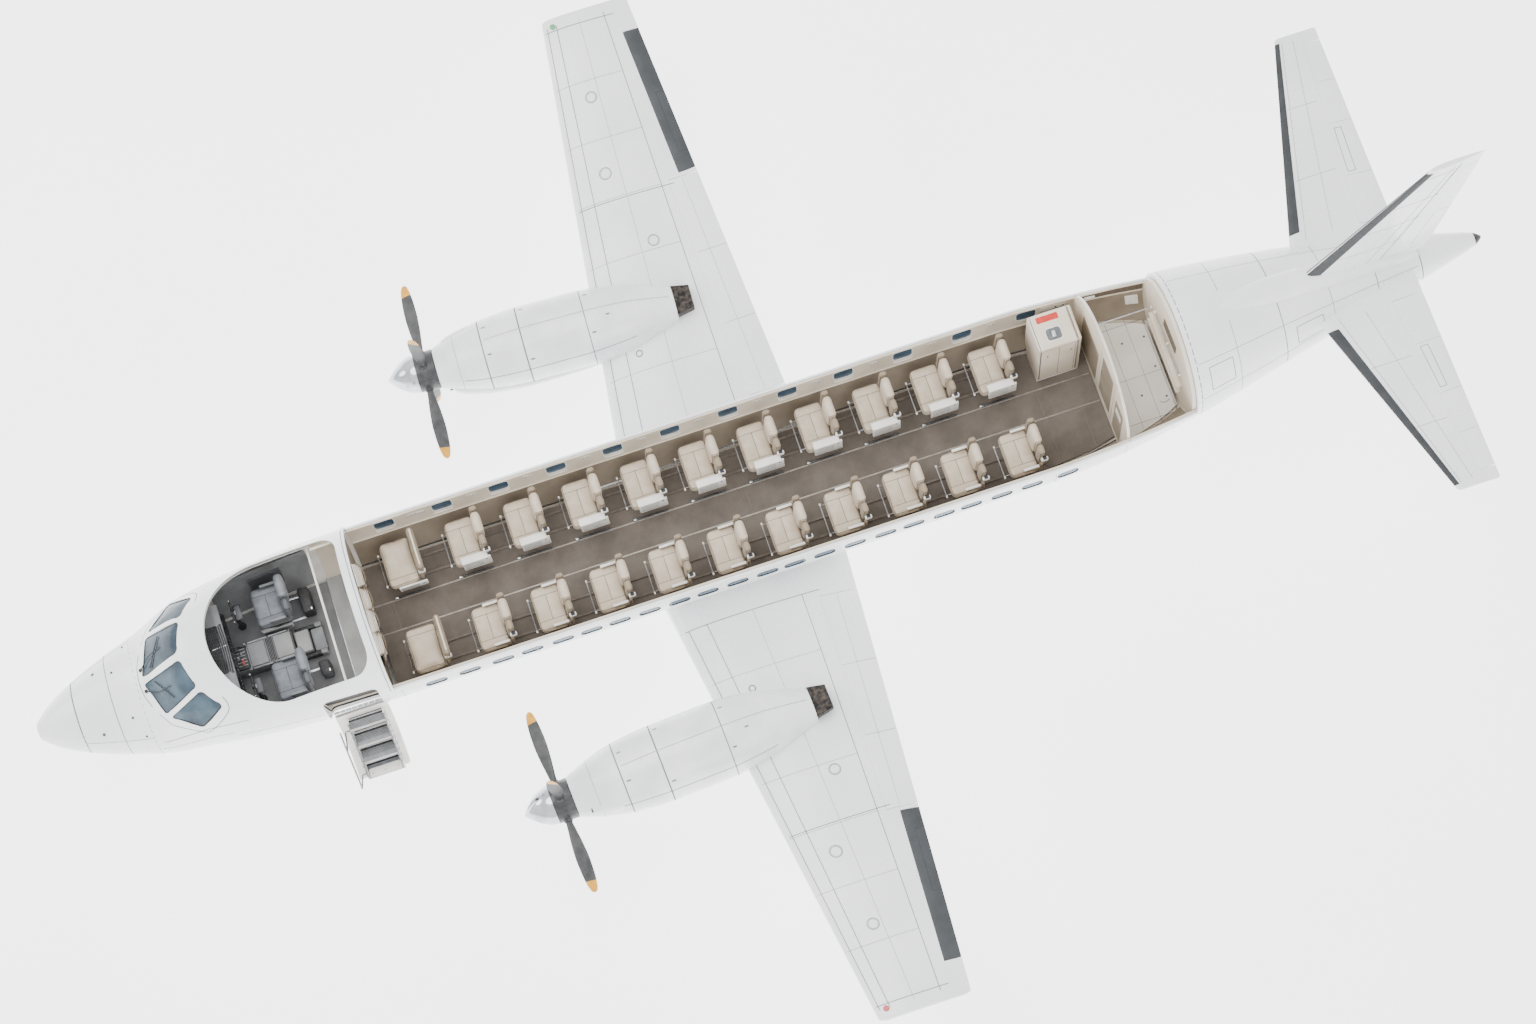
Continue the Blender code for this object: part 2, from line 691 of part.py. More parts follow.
def build_crew_places():
    """A seat and a control yoke on each side of the flight deck."""
    width, base, lift = CREW_SEAT["width"], CREW_SEAT["base"], CREW_SEAT["lift"]
    floor = FLOOR_TOP - 0.012 + GAP
    stem, wheel, depth = YOKE["stem"], YOKE["wheel"], YOKE["depth"]
    for side, way in (("left", 1), ("right", -1)):
        x = DECK_X + way * CREW_SEAT["x"]
        name = f"pilot_seat_{side}"
        seat = seat_form(name, x, CREW_SEAT["station"], width, floor + lift, "grey_leather")
        arms = ((1, SHORT_ARM), (-1, SHORT_ARM))
        combine(seat, *seat_supports(name, x, CREW_SEAT["station"], width, floor, arms, base, lift))
        station = YOKE["station"]
        low = (x - stem, station - stem, FLOOR_TOP + GAP)
        yoke = box(f"control_yoke_{side}", low, (x + stem, station + stem, 0.02), "dark")
        low = (x - wheel, station - depth, YOKE["low"])
        high = (x + wheel, station + depth, YOKE["high"])
        combine(yoke, box(f"yoke_wheel_{side}", low, high))


# Aerofoils and hinged surfaces

def thickness_at(share, ratio):
    """Half thickness of the aerofoil as a share of the chord."""
    s = max(share, 0.0)
    shape = 0.2969 * math.sqrt(s) - 0.126 * s - 0.3516 * s**2 + 0.2843 * s**3 - 0.1036 * s**4
    return 5 * ratio * shape


CHORD_SHARES = (1.0, 0.85, 0.65, 0.45, 0.28, 0.14, 0.05, 0.012)


def aerofoil(le, te, ratio, normal, spread=0.0):
    """Ring of points round a section from leading to trailing edge."""
    chord = te - le
    length = chord.length
    ahead = chord.normalized()
    upper = []
    lower = []
    for share in CHORD_SHARES:
        half = thickness_at(share, ratio) * length + spread + 0.0015
        at = le + chord * share
        if share == 1.0:
            at = at + ahead * spread
        upper.append(at + normal * half)
        lower.append(at - normal * half)
    return upper + [le - ahead * spread] + list(reversed(lower))


class Panel:
    """A tapered surface between two sections, each given by its leading and trailing edge."""

    def __init__(self, root, tip, normal):
        self.root = root
        self.tip = tip
        self.normal = normal

    def section(self, share):
        le = self.root[0].lerp(self.tip[0], share)
        te = self.root[1].lerp(self.tip[1], share)
        ratio = self.root[2] + (self.tip[2] - self.root[2]) * share
        return le, te, ratio

    def solid(self, name, start=0.0, end=1.0, look=None, spread=0.0, close_tip=0.0):
        rings = [aerofoil(*self.section(share), self.normal, spread) for share in (start, end)]
        if close_tip:
            le, te, ratio = self.section(end)
            out = (self.tip[0] - self.root[0]).normalized() * close_tip
            middle = te.lerp(le, 0.45)
            le, te = le.lerp(middle, 0.16) + out, te.lerp(middle, 0.06) + out
            rings.append(aerofoil(le, te, ratio * 0.6, self.normal))
        return loft(name, rings, look)

    def hinge(self, share, depth):
        """Hinge point at a depth ahead of the trailing edge, and the half thickness there."""
        le, te, ratio = self.section(share)
        chord = te - le
        at = te - chord.normalized() * depth
        half = thickness_at(1 - depth / chord.length, ratio) * chord.length + 0.0015
        return at, half


def wing_surface(panel, name, look=None, spread=0.0, close_tip=0.0):
    """The wing outboard of its joint; cutters use the same end sections, so that their facets agree."""
    span = WING_TIP["x"] - WING_ROOT["x"]
    start = (WING_JOINT + GAP - WING_ROOT["x"]) / span
    return panel.solid(name, start, 1.0, look, spread, close_tip)


def flat_panel(root, tip, side):
    """A wing or tailplane panel from its tables, to port where side is 1."""
    ends = []
    for row in (root, tip):
        x = side * row["x"]
        ends.append((world(row["le"], x, row["z"]), world(row["te"], x, row["z"]), row["t"]))
    return Panel(ends[0], ends[1], Vector((0, 0, 1)))


def hinged(fixed, panel, name, shares, depths, look, gap=0.006, end_normal=None):
    """A trailing surface on a round nose in a cove of the fixed panel, with a pin at each end."""
    start, half_start = panel.hinge(shares[0], depths[0])
    end, half_end = panel.hinge(shares[1], depths[1])
    axis = (end - start).normalized()
    up = (panel.normal - axis * panel.normal.dot(axis)).normalized()
    aft = up.cross(axis)
    if aft.y < 0:
        aft = -aft
    plane = end_normal or axis

    def ring(at, radius, outline):
        points = []
        for u, w in outline(radius):
            point = at + aft * u + up * w
            points.append(point - axis * ((point - at).dot(plane) / axis.dot(plane)))
        return points

    arc = [math.radians(90 + 180 * i / 6) for i in range(7)]
    lip = 0.0025

    def surface_outline(depth):
        def outline(radius):
            nose = [(radius * math.cos(a), radius * math.sin(a)) for a in arc]
            return nose + [(depth, -lip), (depth, lip)]
        return outline

    def cove_outline(radius):
        wide = radius + gap
        nose = [(wide * math.cos(a), wide * math.sin(a)) for a in arc]
        return [(1.5, 0.4), (0.0, 0.4)] + nose + [(0.0, -0.4), (1.5, -0.4)]

    radii = (half_start * 0.985, half_end * 0.985)
    surface = loft(
        name,
        [
            ring(start, radii[0], surface_outline(depths[0])),
            ring(end, radii[1], surface_outline(depths[1])),
        ],
        look,
        start,
    )
    cove = loft(
        name + "_cove",
        [
            ring(start - axis * gap, radii[0], cove_outline),
            ring(end + axis * gap, radii[1], cove_outline),
        ],
    )
    cut(fixed, cove)
    pin = 0.4 * min(radii)
    seat = gap / 2
    for tag, at, way in (("a", start, -1), ("b", end, 1)):
        inner = at - axis * way * 0.02
        combine(surface, rod(f"{name}_pin_{tag}", inner, at + axis * way * (seat - GAP), pin, sides=12))
        outer = at + axis * way * (gap + 0.02)
        combine(fixed, rod(f"{name}_boss_{tag}", at + axis * way * seat, outer, pin, sides=12))
    return surface, start, axis


def belly_ring(station, swell):
    """Section of the belly fairing: round below, flat where the hull and the cabin floor pass."""
    radius = 1.06 + swell
    top = BELLY_SHOULDER - GAP
    first = math.acos(BELLY_SHOULDER / 1.06)
    ring = []
    for i in range(BELLY_STEPS + 1):
        angle = first + (2 * math.pi - 2 * first) * i / BELLY_STEPS
        ring.append(world(station, radius * math.sin(angle), min(radius * math.cos(angle), top)))
    inner = hull_side(8.6, BELLY_SHOULDER, WALL) - 0.02
    for x, z in ((-inner, top), (-inner, BELLY_TOP - GAP), (inner, BELLY_TOP - GAP), (inner, top)):
        ring.append(world(station, x, z))
    return ring


def build_wings():
    centre = loft("wing_centre", [belly_ring(*row) for row in BELLY_SWELL], "white")
    span = WING_TIP["x"] - WING_ROOT["x"]
    wings = {}
    for side_name, side in (("left", 1), ("right", -1)):
        panel = flat_panel(WING_ROOT, WING_TIP, side)
        joint = (WING_JOINT - WING_ROOT["x"]) / span
        inner = (WING_STUB_INNER - WING_ROOT["x"]) / span
        combine(centre, panel.solid(f"wing_stub_{side_name}", inner, joint))
        wing = wing_surface(panel, f"wing_{side_name}", "white", close_tip=0.05)
        shares = [(x - WING_ROOT["x"]) / span for x in WING_SPLITS]
        hinged(wing, panel, f"flap_{side_name}", shares[:2], FLAP_DEPTHS, "white")
        hinged(wing, panel, f"aileron_{side_name}", shares[2:], AILERON_DEPTHS, "grey")
        wings[side_name] = (wing, panel)
    low = (-CABIN_KEEPOUT, 7.0, BELLY_TOP - GAP)
    cut(centre, box("cabin_keepout", low, (CABIN_KEEPOUT, 10.4, 1.0)))
    return wings


def fin_panel():
    height = FIN_ROOT["height"]
    root = (world(FIN_ROOT["le"], 0, height), world(FIN_ROOT["te"], 0, height), FIN_ROOT["t"])
    le, te = FIN_TIP_LE, FIN_TIP_TE
    tip = (world(le[0], 0, le[1]), world(te[0], 0, te[1]), FIN_ROOT["t"])
    return Panel(root, tip, Vector((1, 0, 0)))


def build_tail():
    panel = fin_panel()
    fin = panel.solid("fin", 0.0, 1.0, "white")
    dorsal_rings = []
    for station, half, rise in DORSAL:
        top = between(HULL, station)[2]
        ring = []
        for i in range(9):
            angle = math.pi * i / 8
            ring.append(world(station, half * math.cos(angle), top - 0.02 + rise * math.sin(angle)))
        ring.append(world(station, -half, top - 0.15))
        ring.append(world(station, half, top - 0.15))
        dorsal_rings.append(ring)
    combine(fin, loft("dorsal", dorsal_rings))
    hinged(fin, panel, "rudder", RUDDER_SHARES, RUDDER_DEPTHS, "white", 0.012, Vector((0, 0, 1)))
    cut(fin, hull_solid("hull_under_fin", 14.4, LENGTH, -GAP))
    for side_name, side in (("left", 1), ("right", -1)):
        panel = flat_panel(TAILPLANE_ROOT, TAILPLANE_TIP, side)
        plane = panel.solid(f"tailplane_{side_name}", 0.0, 1.0, "white", close_tip=0.03)
        hinged(plane, panel, f"elevator_{side_name}", ELEVATOR_SHARES, ELEVATOR_DEPTHS, "white")
        cut(plane, hull_solid(f"hull_under_tailplane_{side_name}", 15.0, LENGTH, -GAP))


# Nacelles and propellers

def nacelle_frame(side):
    """Places a point given aft of the hub, across and up: the splay turns the nose outwards."""
    hub = world(HUB_STATION, side * HUB_X, HUB_HEIGHT)
    turn = Matrix.Rotation(math.radians(side * SPLAY), 4, "Z")
    return Matrix.Translation(hub) @ turn


def nacelle_ring(row, frame, inset=0.0):
    aft, half, top, bottom = row
    points = []
    for i in range(NACELLE_POINTS):
        angle = 2 * math.pi * i / NACELLE_POINTS
        rise = top if math.cos(angle) > 0 else -bottom
        x = (half - inset) * math.sin(angle)
        points.append(frame @ Vector((x, aft, (rise - inset) * math.cos(angle))))
    return points


def blade(name, frame, angle):
    """One blade of oval sections, turned about the hub."""
    spin = Matrix.Rotation(math.radians(angle), 4, "Y")
    rings = []
    for radius, chord, thick, pitch in BLADE:
        ring = []
        for i in range(BLADE_POINTS):
            turn = 2 * math.pi * i / BLADE_POINTS
            u = chord / 2 * math.cos(turn)
            w = thick / 2 * math.sin(turn)
            p = math.radians(pitch)
            across = u * math.cos(p) - w * math.sin(p)
            along = u * math.sin(p) + w * math.cos(p)
            ring.append(frame @ spin @ Vector((across, along, radius)))
        rings.append(ring)
    return loft(name, rings)


def exhaust_rings(frame, start, end, inset):
    rings = []
    for reach in (start, end):
        share = reach / EXHAUST_LENGTH
        half = EXHAUST_HALF[0] + (EXHAUST_HALF[1] - EXHAUST_HALF[0]) * share - inset
        floor, roof = EXHAUST_FLOOR + inset, EXHAUST_ROOF - inset
        corners = ((-half, floor), (half, floor), (half, roof), (-half, roof))
        rings.append([frame @ Vector((x, NACELLE[-1][0] + reach, z)) for x, z in corners])
    return rings


def build_nacelles(wings):
    for side_name, side in (("left", 1), ("right", -1)):
        frame = nacelle_frame(side)
        wing, panel = wings[side_name]
        nacelle = loft(f"nacelle_{side_name}", [nacelle_ring(row, frame) for row in NACELLE], "white")
        rows = [(aft, *between(NACELLE, aft)[1:]) for aft in COWL_STATIONS]
        cut(nacelle, loft(f"cowl_hollow_{side_name}", [nacelle_ring(row, frame, COWL_WALL) for row in rows]))
        start, end = frame @ Vector((0, 0.05, 0)), frame @ Vector((0, 0.3, 0))
        cut(nacelle, rod(f"shaft_hole_{side_name}", start, end, SHAFT_HOLE))
        cut(nacelle, wing_surface(panel, f"wing_in_nacelle_{side_name}", spread=GAP))

        front = frame @ Vector((0, ENGINE["front"], 0))
        back = frame @ Vector((0, ENGINE["back"] - GAP, 0))
        engine = rod(f"engine_{side_name}", front, back, ENGINE["radius"], "steel")
        nose = frame @ Vector((0, HUB_BACK + GAP, 0))
        root = frame @ Vector((0, ENGINE["front"] + 0.05, 0))
        combine(engine, rod(f"engine_shaft_{side_name}", nose, root, ENGINE["shaft"]))

        exhaust = loft(f"exhaust_{side_name}", exhaust_rings(frame, GAP, EXHAUST_LENGTH, 0.0), "dark")
        bore = exhaust_rings(frame, EXHAUST_WALL, EXHAUST_LENGTH + 0.05, EXHAUST_WALL)
        cut(exhaust, loft(f"exhaust_bore_{side_name}", bore))
        build_propeller(side_name, frame)


def build_propeller(side_name, frame):
    """Four blades on a hub band, and the pointed spinner ahead of it."""
    hub = frame @ Vector((0, 0, 0))
    prop = rod(
        f"propeller_{side_name}",
        frame @ Vector((0, HUB_FRONT, 0)),
        frame @ Vector((0, HUB_BACK, 0)),
        SPINNER_RADIUS,
        "dark",
        hub,
        24,
        SPINNER_RADIUS + 0.012,
    )
    combine(prop, *[blade(f"blade_{side_name}_{a}", frame, a) for a in (0, 90, 180, 270)])
    base = GAP - HUB_FRONT
    profile = [(0.0, SPINNER_LENGTH - HUB_FRONT)]
    for i in range(1, 6):
        share = i / 5
        radius = SPINNER_RADIUS * math.sin(share * math.pi / 2) ** 0.85
        profile.append((radius, base + SPINNER_LENGTH * (1 - share)))
    profile.append((0.0, base))
    spinner = turned(f"spinner_{side_name}", profile, "metal", 24, hub)
    laid = frame.to_3x3() @ Matrix.Rotation(math.radians(90), 3, "X")
    spinner.rotation_euler = laid.to_euler()


# Landing gear

def tyre_profile(tyre):
    radius, width, rim = tyre["radius"], tyre["width"], tyre["rim"]
    half = width / 2
    tread = []
    for share, reach in ((-1.0, rim), (-1.05, (rim + radius) / 2), (-0.8, radius - 0.03), (-0.45, radius)):
        tread.append((reach, share * half * 0.95))
    return [(r, -h) for r, h in tread] + [(r, h) for r, h in reversed(tread)]


def build_wheels(name, tyre, centres, axle_ends, axle_radius):
    """The rims fused to their axle, and a tyre for each centre."""
    outline = tyre_profile(tyre)
    half = tyre["width"] / 2
    rim = tyre["rim"] - GAP
    middle = sum((c for c in centres), Vector()) / len(centres)
    axle = rod(name, *axle_ends, axle_radius, "metal", middle, 20)
    for number, centre in enumerate(centres):
        disc_rim = rod(
            f"{name}_rim_{number}",
            centre - Vector((half * 0.8, 0, 0)),
            centre + Vector((half * 0.8, 0, 0)),
            rim,
            sides=24,
        )
        combine(axle, disc_rim)
        tag = f"_{number}" if len(centres) > 1 else ""
        turned(f"{name}_tyre{tag}", outline, "rubber", 24, centre, (0, math.pi / 2, 0))
    return axle


def build_nose_gear():
    """Fixed leg with its drag brace, steered fork, twin wheels on one axle."""
    axle_z = NOSE_TYRE["radius"] - AXIS_HEIGHT
    pivot = world(NOSE_AXLE, 0, axle_z)
    foot = world(NOSE_AXLE, 0, NOSE_LEG["foot"])
    leg = rod("nose_gear_leg", foot, world(NOSE_AXLE, 0, NOSE_LEG["head"]), NOSE_LEG["radius"], "steel")
    low = world(NOSE_AXLE, 0, NOSE_BRACE["foot"])
    high = world(NOSE_AXLE - NOSE_BRACE["run"], 0, NOSE_BRACE["head"])
    combine(leg, rod("nose_brace", low, high, NOSE_BRACE["radius"], sides=10))
    cut(leg, hull_solid("hull_over_leg", 1.5, 3.6, -GAP))

    fork_top = foot - Vector((0, 0, GAP))
    fork_foot = world(NOSE_AXLE, 0, axle_z + NOSE_FORK["foot"])
    fork = rod("nose_steering", fork_foot, fork_top, NOSE_FORK["radius"], "steel", fork_top)
    across = Vector((NOSE_FORK["sleeve_half"], 0, 0))
    combine(fork, rod("nose_axle_sleeve", pivot - across, pivot + across, NOSE_FORK["sleeve"]))
    across = Vector((0.1, 0, 0))
    cut(fork, rod("nose_axle_bore", pivot - across, pivot + across, NOSE_FORK["bore"], sides=20))
    offset = Vector((NOSE_WHEEL_OFFSET, 0, 0))
    reach = Vector((NOSE_AXLE_HALF, 0, 0))
    ends = (pivot - reach, pivot + reach)
    build_wheels("nose_wheels", NOSE_TYRE, (pivot - offset, pivot + offset), ends, NOSE_AXLE_RADIUS)


def build_main_gear(side_name, side):
    """A raked leg under the nacelle with its brace, and a wheel outboard of it."""
    leg_x = side * (MAIN_X - MAIN_LEG["offset"])
    axle_z = MAIN_TYRE["radius"] - AXIS_HEIGHT
    axle = world(MAIN_AXLE, leg_x, axle_z)
    head = world(MAIN_AXLE - MAIN_LEG["rake"], leg_x, MAIN_LEG["head"])
    leg = rod(f"main_gear_leg_{side_name}", axle, head, MAIN_LEG["radius"], "steel")
    across = Vector((side * MAIN_LEG["boss_half"], 0, 0))
    combine(leg, rod(f"main_axle_boss_{side_name}", axle - across, axle + across, MAIN_LEG["boss"]))
    knee = world(MAIN_AXLE - MAIN_BRACE["knee_run"], leg_x, axle_z + MAIN_BRACE["knee_rise"])
    high = world(MAIN_AXLE - MAIN_BRACE["run"], leg_x, MAIN_BRACE["head"])
    combine(leg, rod(f"main_brace_{side_name}", knee, high, MAIN_BRACE["radius"]))
    frame = nacelle_frame(side)
    cut(leg, loft(f"nacelle_over_leg_{side_name}", [nacelle_ring(row, frame, -GAP) for row in NACELLE]))
    panel = flat_panel(WING_ROOT, WING_TIP, side)
    cut(leg, wing_surface(panel, f"wing_over_leg_{side_name}", spread=GAP))
    centre = world(MAIN_AXLE, side * MAIN_X, axle_z)
    inner = axle + across + Vector((side * GAP, 0, 0))
    outer = centre + Vector((side * MAIN_AXLE_REACH, 0, 0))
    build_wheels(f"main_wheel_{side_name}", MAIN_TYRE, [centre], (inner, outer), MAIN_AXLE_RADIUS)


# Airstair door

def door_arc(station, inset):
    """The hull's side line over the height of the closed door."""
    low = DOOR_SILL + DOOR_CLEARANCE + 0.004
    high = DOOR_HEAD - DOOR_CLEARANCE
    heights = [low + (high - low) * i / DOOR_STEPS for i in range(DOOR_STEPS + 1)]
    return [(hull_side(station, z, inset), z) for z in heights]


def stringer(name, station):
    """A side plate of the stairs, between the door's skin and the edge that the treads reach."""
    rings = []
    for s in (station, station + STRINGER_WIDTH):
        skin = door_arc(s, WALL - 0.02)[1:]
        foot, head = skin[0][1], skin[-1][1]
        edge = [(0.86, head), (0.76, head - 0.1), (0.72, foot + 0.10), (0.74, foot)]
        rings.append([world(s, x, z) for x, z in skin + edge])
    return loft(name, rings)


def build_airstair():
    hinge_x = hull_side(3.7, DOOR_SILL) + 0.03
    hinge = world((DOOR_FRONT + DOOR_END) / 2, hinge_x, DOOR_SILL + 0.005)
    front = DOOR_FRONT + DOOR_CLEARANCE
    back = DOOR_END - DOOR_CLEARANCE
    rings = []
    for station in (front, back):
        outline = door_arc(station, 0.0) + list(reversed(door_arc(station, WALL)))
        rings.append([world(station, x, z) for x, z in outline])
    door = loft("airstair_door", rings, "white")
    sides = [stringer(f"stringer_{number}", station) for number, station in enumerate(STRINGERS)]
    low = DOOR_SILL + DOOR_CLEARANCE + 0.004
    web = box("airstair_web", (hinge_x - 0.055, front, low), (hinge_x + 0.004, back, low + 0.025))

    # The door is drawn closed and swung open, and its treads are level when it is open
    swing = Matrix.Rotation(math.radians(DOOR_OPEN_ANGLE), 4, "Y") @ Matrix.Translation(-hinge)
    door.data.transform(swing)
    door.location = hinge
    for solid in (*sides, web):
        solid.data.transform(Matrix.Translation(hinge) @ swing)
    half_width = Vector((0, (DOOR_END - DOOR_FRONT) / 2, 0))
    barrel = rod("airstair_barrel", hinge - half_width, hinge + half_width, 0.016)
    combine(door, *sides, web, barrel)
    between_sides = (STRINGERS[0] + 0.005, STRINGERS[1] + STRINGER_WIDTH - 0.005)
    for number, (inner, outer, height) in enumerate(TREADS):
        low = (inner, between_sides[0], height - TREAD_THICKNESS)
        combine(door, box(f"tread_{number}", low, (outer, between_sides[1], height)))

    rail = tube("airstair_handrail", [world(*point) for point in RAIL_PATH], RAIL_RADIUS, "metal", hinge)
    combine(rail, tube("handrail_post", [world(*point) for point in RAIL_POST], RAIL_RADIUS * 0.8))


def shade_round():
    """Leaves each part as one plain mesh whose round faces are shaded smooth between sharp edges."""
    bpy.context.view_layer.update()
    graph = bpy.context.evaluated_depsgraph_get()
    meshes = {}
    for obj in PARTS.objects:
        meshes[obj.name] = bpy.data.meshes.new_from_object(obj.evaluated_get(graph))
    for name, mesh in meshes.items():
        obj = PARTS.objects[name]
        obj.modifiers.clear()
        obj.data = mesh
        mesh.shade_smooth()
        mesh.set_sharp_from_angle(angle=math.radians(SHARP_ANGLE))


def main():
    build_hull()
    build_glass()
    build_interior()
    build_seats()
    build_crew_places()
    wings = build_wings()
    build_tail()
    build_nacelles(wings)
    build_nose_gear()
    for side_name, side in (("left", 1), ("right", -1)):
        build_main_gear(side_name, side)
    build_airstair()
    shade_round()


main()
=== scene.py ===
"""Looks of the twin-turboprop commuter airliner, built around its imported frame.

Frame: +Y runs aft, +X to port, +Z up. A station is the distance aft of the nose tip,
a height is measured from the cabin's centreline.
"""

import math

import bmesh
import bpy
import numpy as np
from mathutils import Matrix, Vector

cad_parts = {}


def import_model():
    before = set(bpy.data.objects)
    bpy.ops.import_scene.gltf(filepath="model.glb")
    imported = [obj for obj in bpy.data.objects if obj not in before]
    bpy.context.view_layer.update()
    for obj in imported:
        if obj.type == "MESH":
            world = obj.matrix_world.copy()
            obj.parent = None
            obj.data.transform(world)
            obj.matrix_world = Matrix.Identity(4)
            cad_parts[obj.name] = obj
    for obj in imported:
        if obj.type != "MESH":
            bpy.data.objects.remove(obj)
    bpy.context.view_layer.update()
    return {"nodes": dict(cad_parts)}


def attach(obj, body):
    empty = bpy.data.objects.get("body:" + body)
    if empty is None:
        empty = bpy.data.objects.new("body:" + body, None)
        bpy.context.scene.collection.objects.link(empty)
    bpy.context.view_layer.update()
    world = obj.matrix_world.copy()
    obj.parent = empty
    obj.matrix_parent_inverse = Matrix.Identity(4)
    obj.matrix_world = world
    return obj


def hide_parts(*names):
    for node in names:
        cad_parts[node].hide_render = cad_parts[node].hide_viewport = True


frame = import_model()

LENGTH = 18.1
AXIS_HEIGHT = 1.95
WALL = 0.06
AIRFRAME = "airframe"
TO_PORT, AFT, UPWARD = Vector((1, 0, 0)), Vector((0, 1, 0)), Vector((0, 0, 1))
# Depths under the skin at which trim lies on the hull's inner wall and on the cabin's lining
TRIM_FACE = 0.0595
LINING_FACE = 0.0585


# Finishes

def linear(code):
    """Linear RGBA of an sRGB hex value."""
    parts = [int(code[i : i + 2], 16) / 255 for i in (1, 3, 5)]
    return tuple(c / 12.92 if c <= 0.04045 else ((c + 0.055) / 1.055) ** 2.4 for c in parts) + (1.0,)


def add_node(tree, kind, links=None, **settings):
    """A node with its settings, and a value or another node's socket for each named input."""
    made = tree.nodes.new(kind)
    for name, value in settings.items():
        setattr(made, name, value)
    for name, value in (links or {}).items():
        if isinstance(value, bpy.types.NodeSocket):
            tree.links.new(value, made.inputs[name])
        else:
            made.inputs[name].default_value = value
    return made


def finish(name, light, dark, cloud_mm, grain_mm, rough, grain="noise", stretch=(1, 1, 1),
           bump=0.15, depth_mm=0.3, tint=0.0, **shader):
    """Two tones drift over clouds of cloud_mm; a grain of grain_mm stands in relief and in the gloss."""
    made = bpy.data.materials.new(name)
    made.use_nodes = True
    tree = made.node_tree
    surface = tree.nodes["Principled BSDF"]
    where = add_node(tree, "ShaderNodeTexCoord")
    spread = add_node(tree, "ShaderNodeMapping", {"Vector": where.outputs["Object"], "Scale": stretch})
    cloud = add_node(tree, "ShaderNodeTexNoise",
                     {"Vector": where.outputs["Object"], "Scale": 1000 / cloud_mm, "Detail": 4.0})
    if grain == "cells":
        fine = add_node(tree, "ShaderNodeTexVoronoi",
                        {"Vector": spread.outputs[0], "Scale": 1000 / grain_mm}, feature="SMOOTH_F1")
        relief = fine.outputs["Distance"]
    elif grain == "ribs":
        # A wave's own period is 0.314 of its scale's inverse
        fine = add_node(tree, "ShaderNodeTexWave",
                        {"Vector": spread.outputs[0], "Scale": 314 / grain_mm, "Distortion": 0.4})
        relief = fine.outputs["Fac"]
    else:
        fine = add_node(tree, "ShaderNodeTexNoise",
                        {"Vector": spread.outputs[0], "Scale": 1000 / grain_mm, "Detail": 6.0})
        relief = fine.outputs["Fac"]
    drift = add_node(tree, "ShaderNodeMapRange",
                     {"Value": cloud.outputs["Fac"], "From Min": 0.35, "From Max": 0.65})
    tones = add_node(tree, "ShaderNodeMix", {0: drift.outputs[0], 6: linear(light), 7: linear(dark)},
                     data_type="RGBA")
    colour = tones.outputs[2]
    if tint:
        shade = add_node(tree, "ShaderNodeMapRange",
                         {"Value": relief, "From Min": 0.3, "From Max": 0.7, "To Min": 1 - tint,
                          "To Max": 1.0})
        grey = add_node(tree, "ShaderNodeCombineColor",
                        {0: shade.outputs[0], 1: shade.outputs[0], 2: shade.outputs[0]})
        toned = add_node(tree, "ShaderNodeMix", {0: 1.0, 6: colour, 7: grey.outputs[0]},
                         data_type="RGBA", blend_type="MULTIPLY")
        colour = toned.outputs[2]
    gloss = add_node(tree, "ShaderNodeMapRange",
                     {"Value": relief, "From Min": 0.3, "From Max": 0.7, "To Min": rough[0],
                      "To Max": rough[1]})
    raised = add_node(tree, "ShaderNodeBump",
                      {"Height": relief, "Strength": bump, "Distance": depth_mm / 1000})
    tree.links.new(colour, surface.inputs["Base Color"])
    tree.links.new(gloss.outputs[0], surface.inputs["Roughness"])
    tree.links.new(raised.outputs[0], surface.inputs["Normal"])
    for socket, value in shader.items():
        surface.inputs[socket.replace("_", " ").title().replace("Ior", "IOR")].default_value = value
    return made


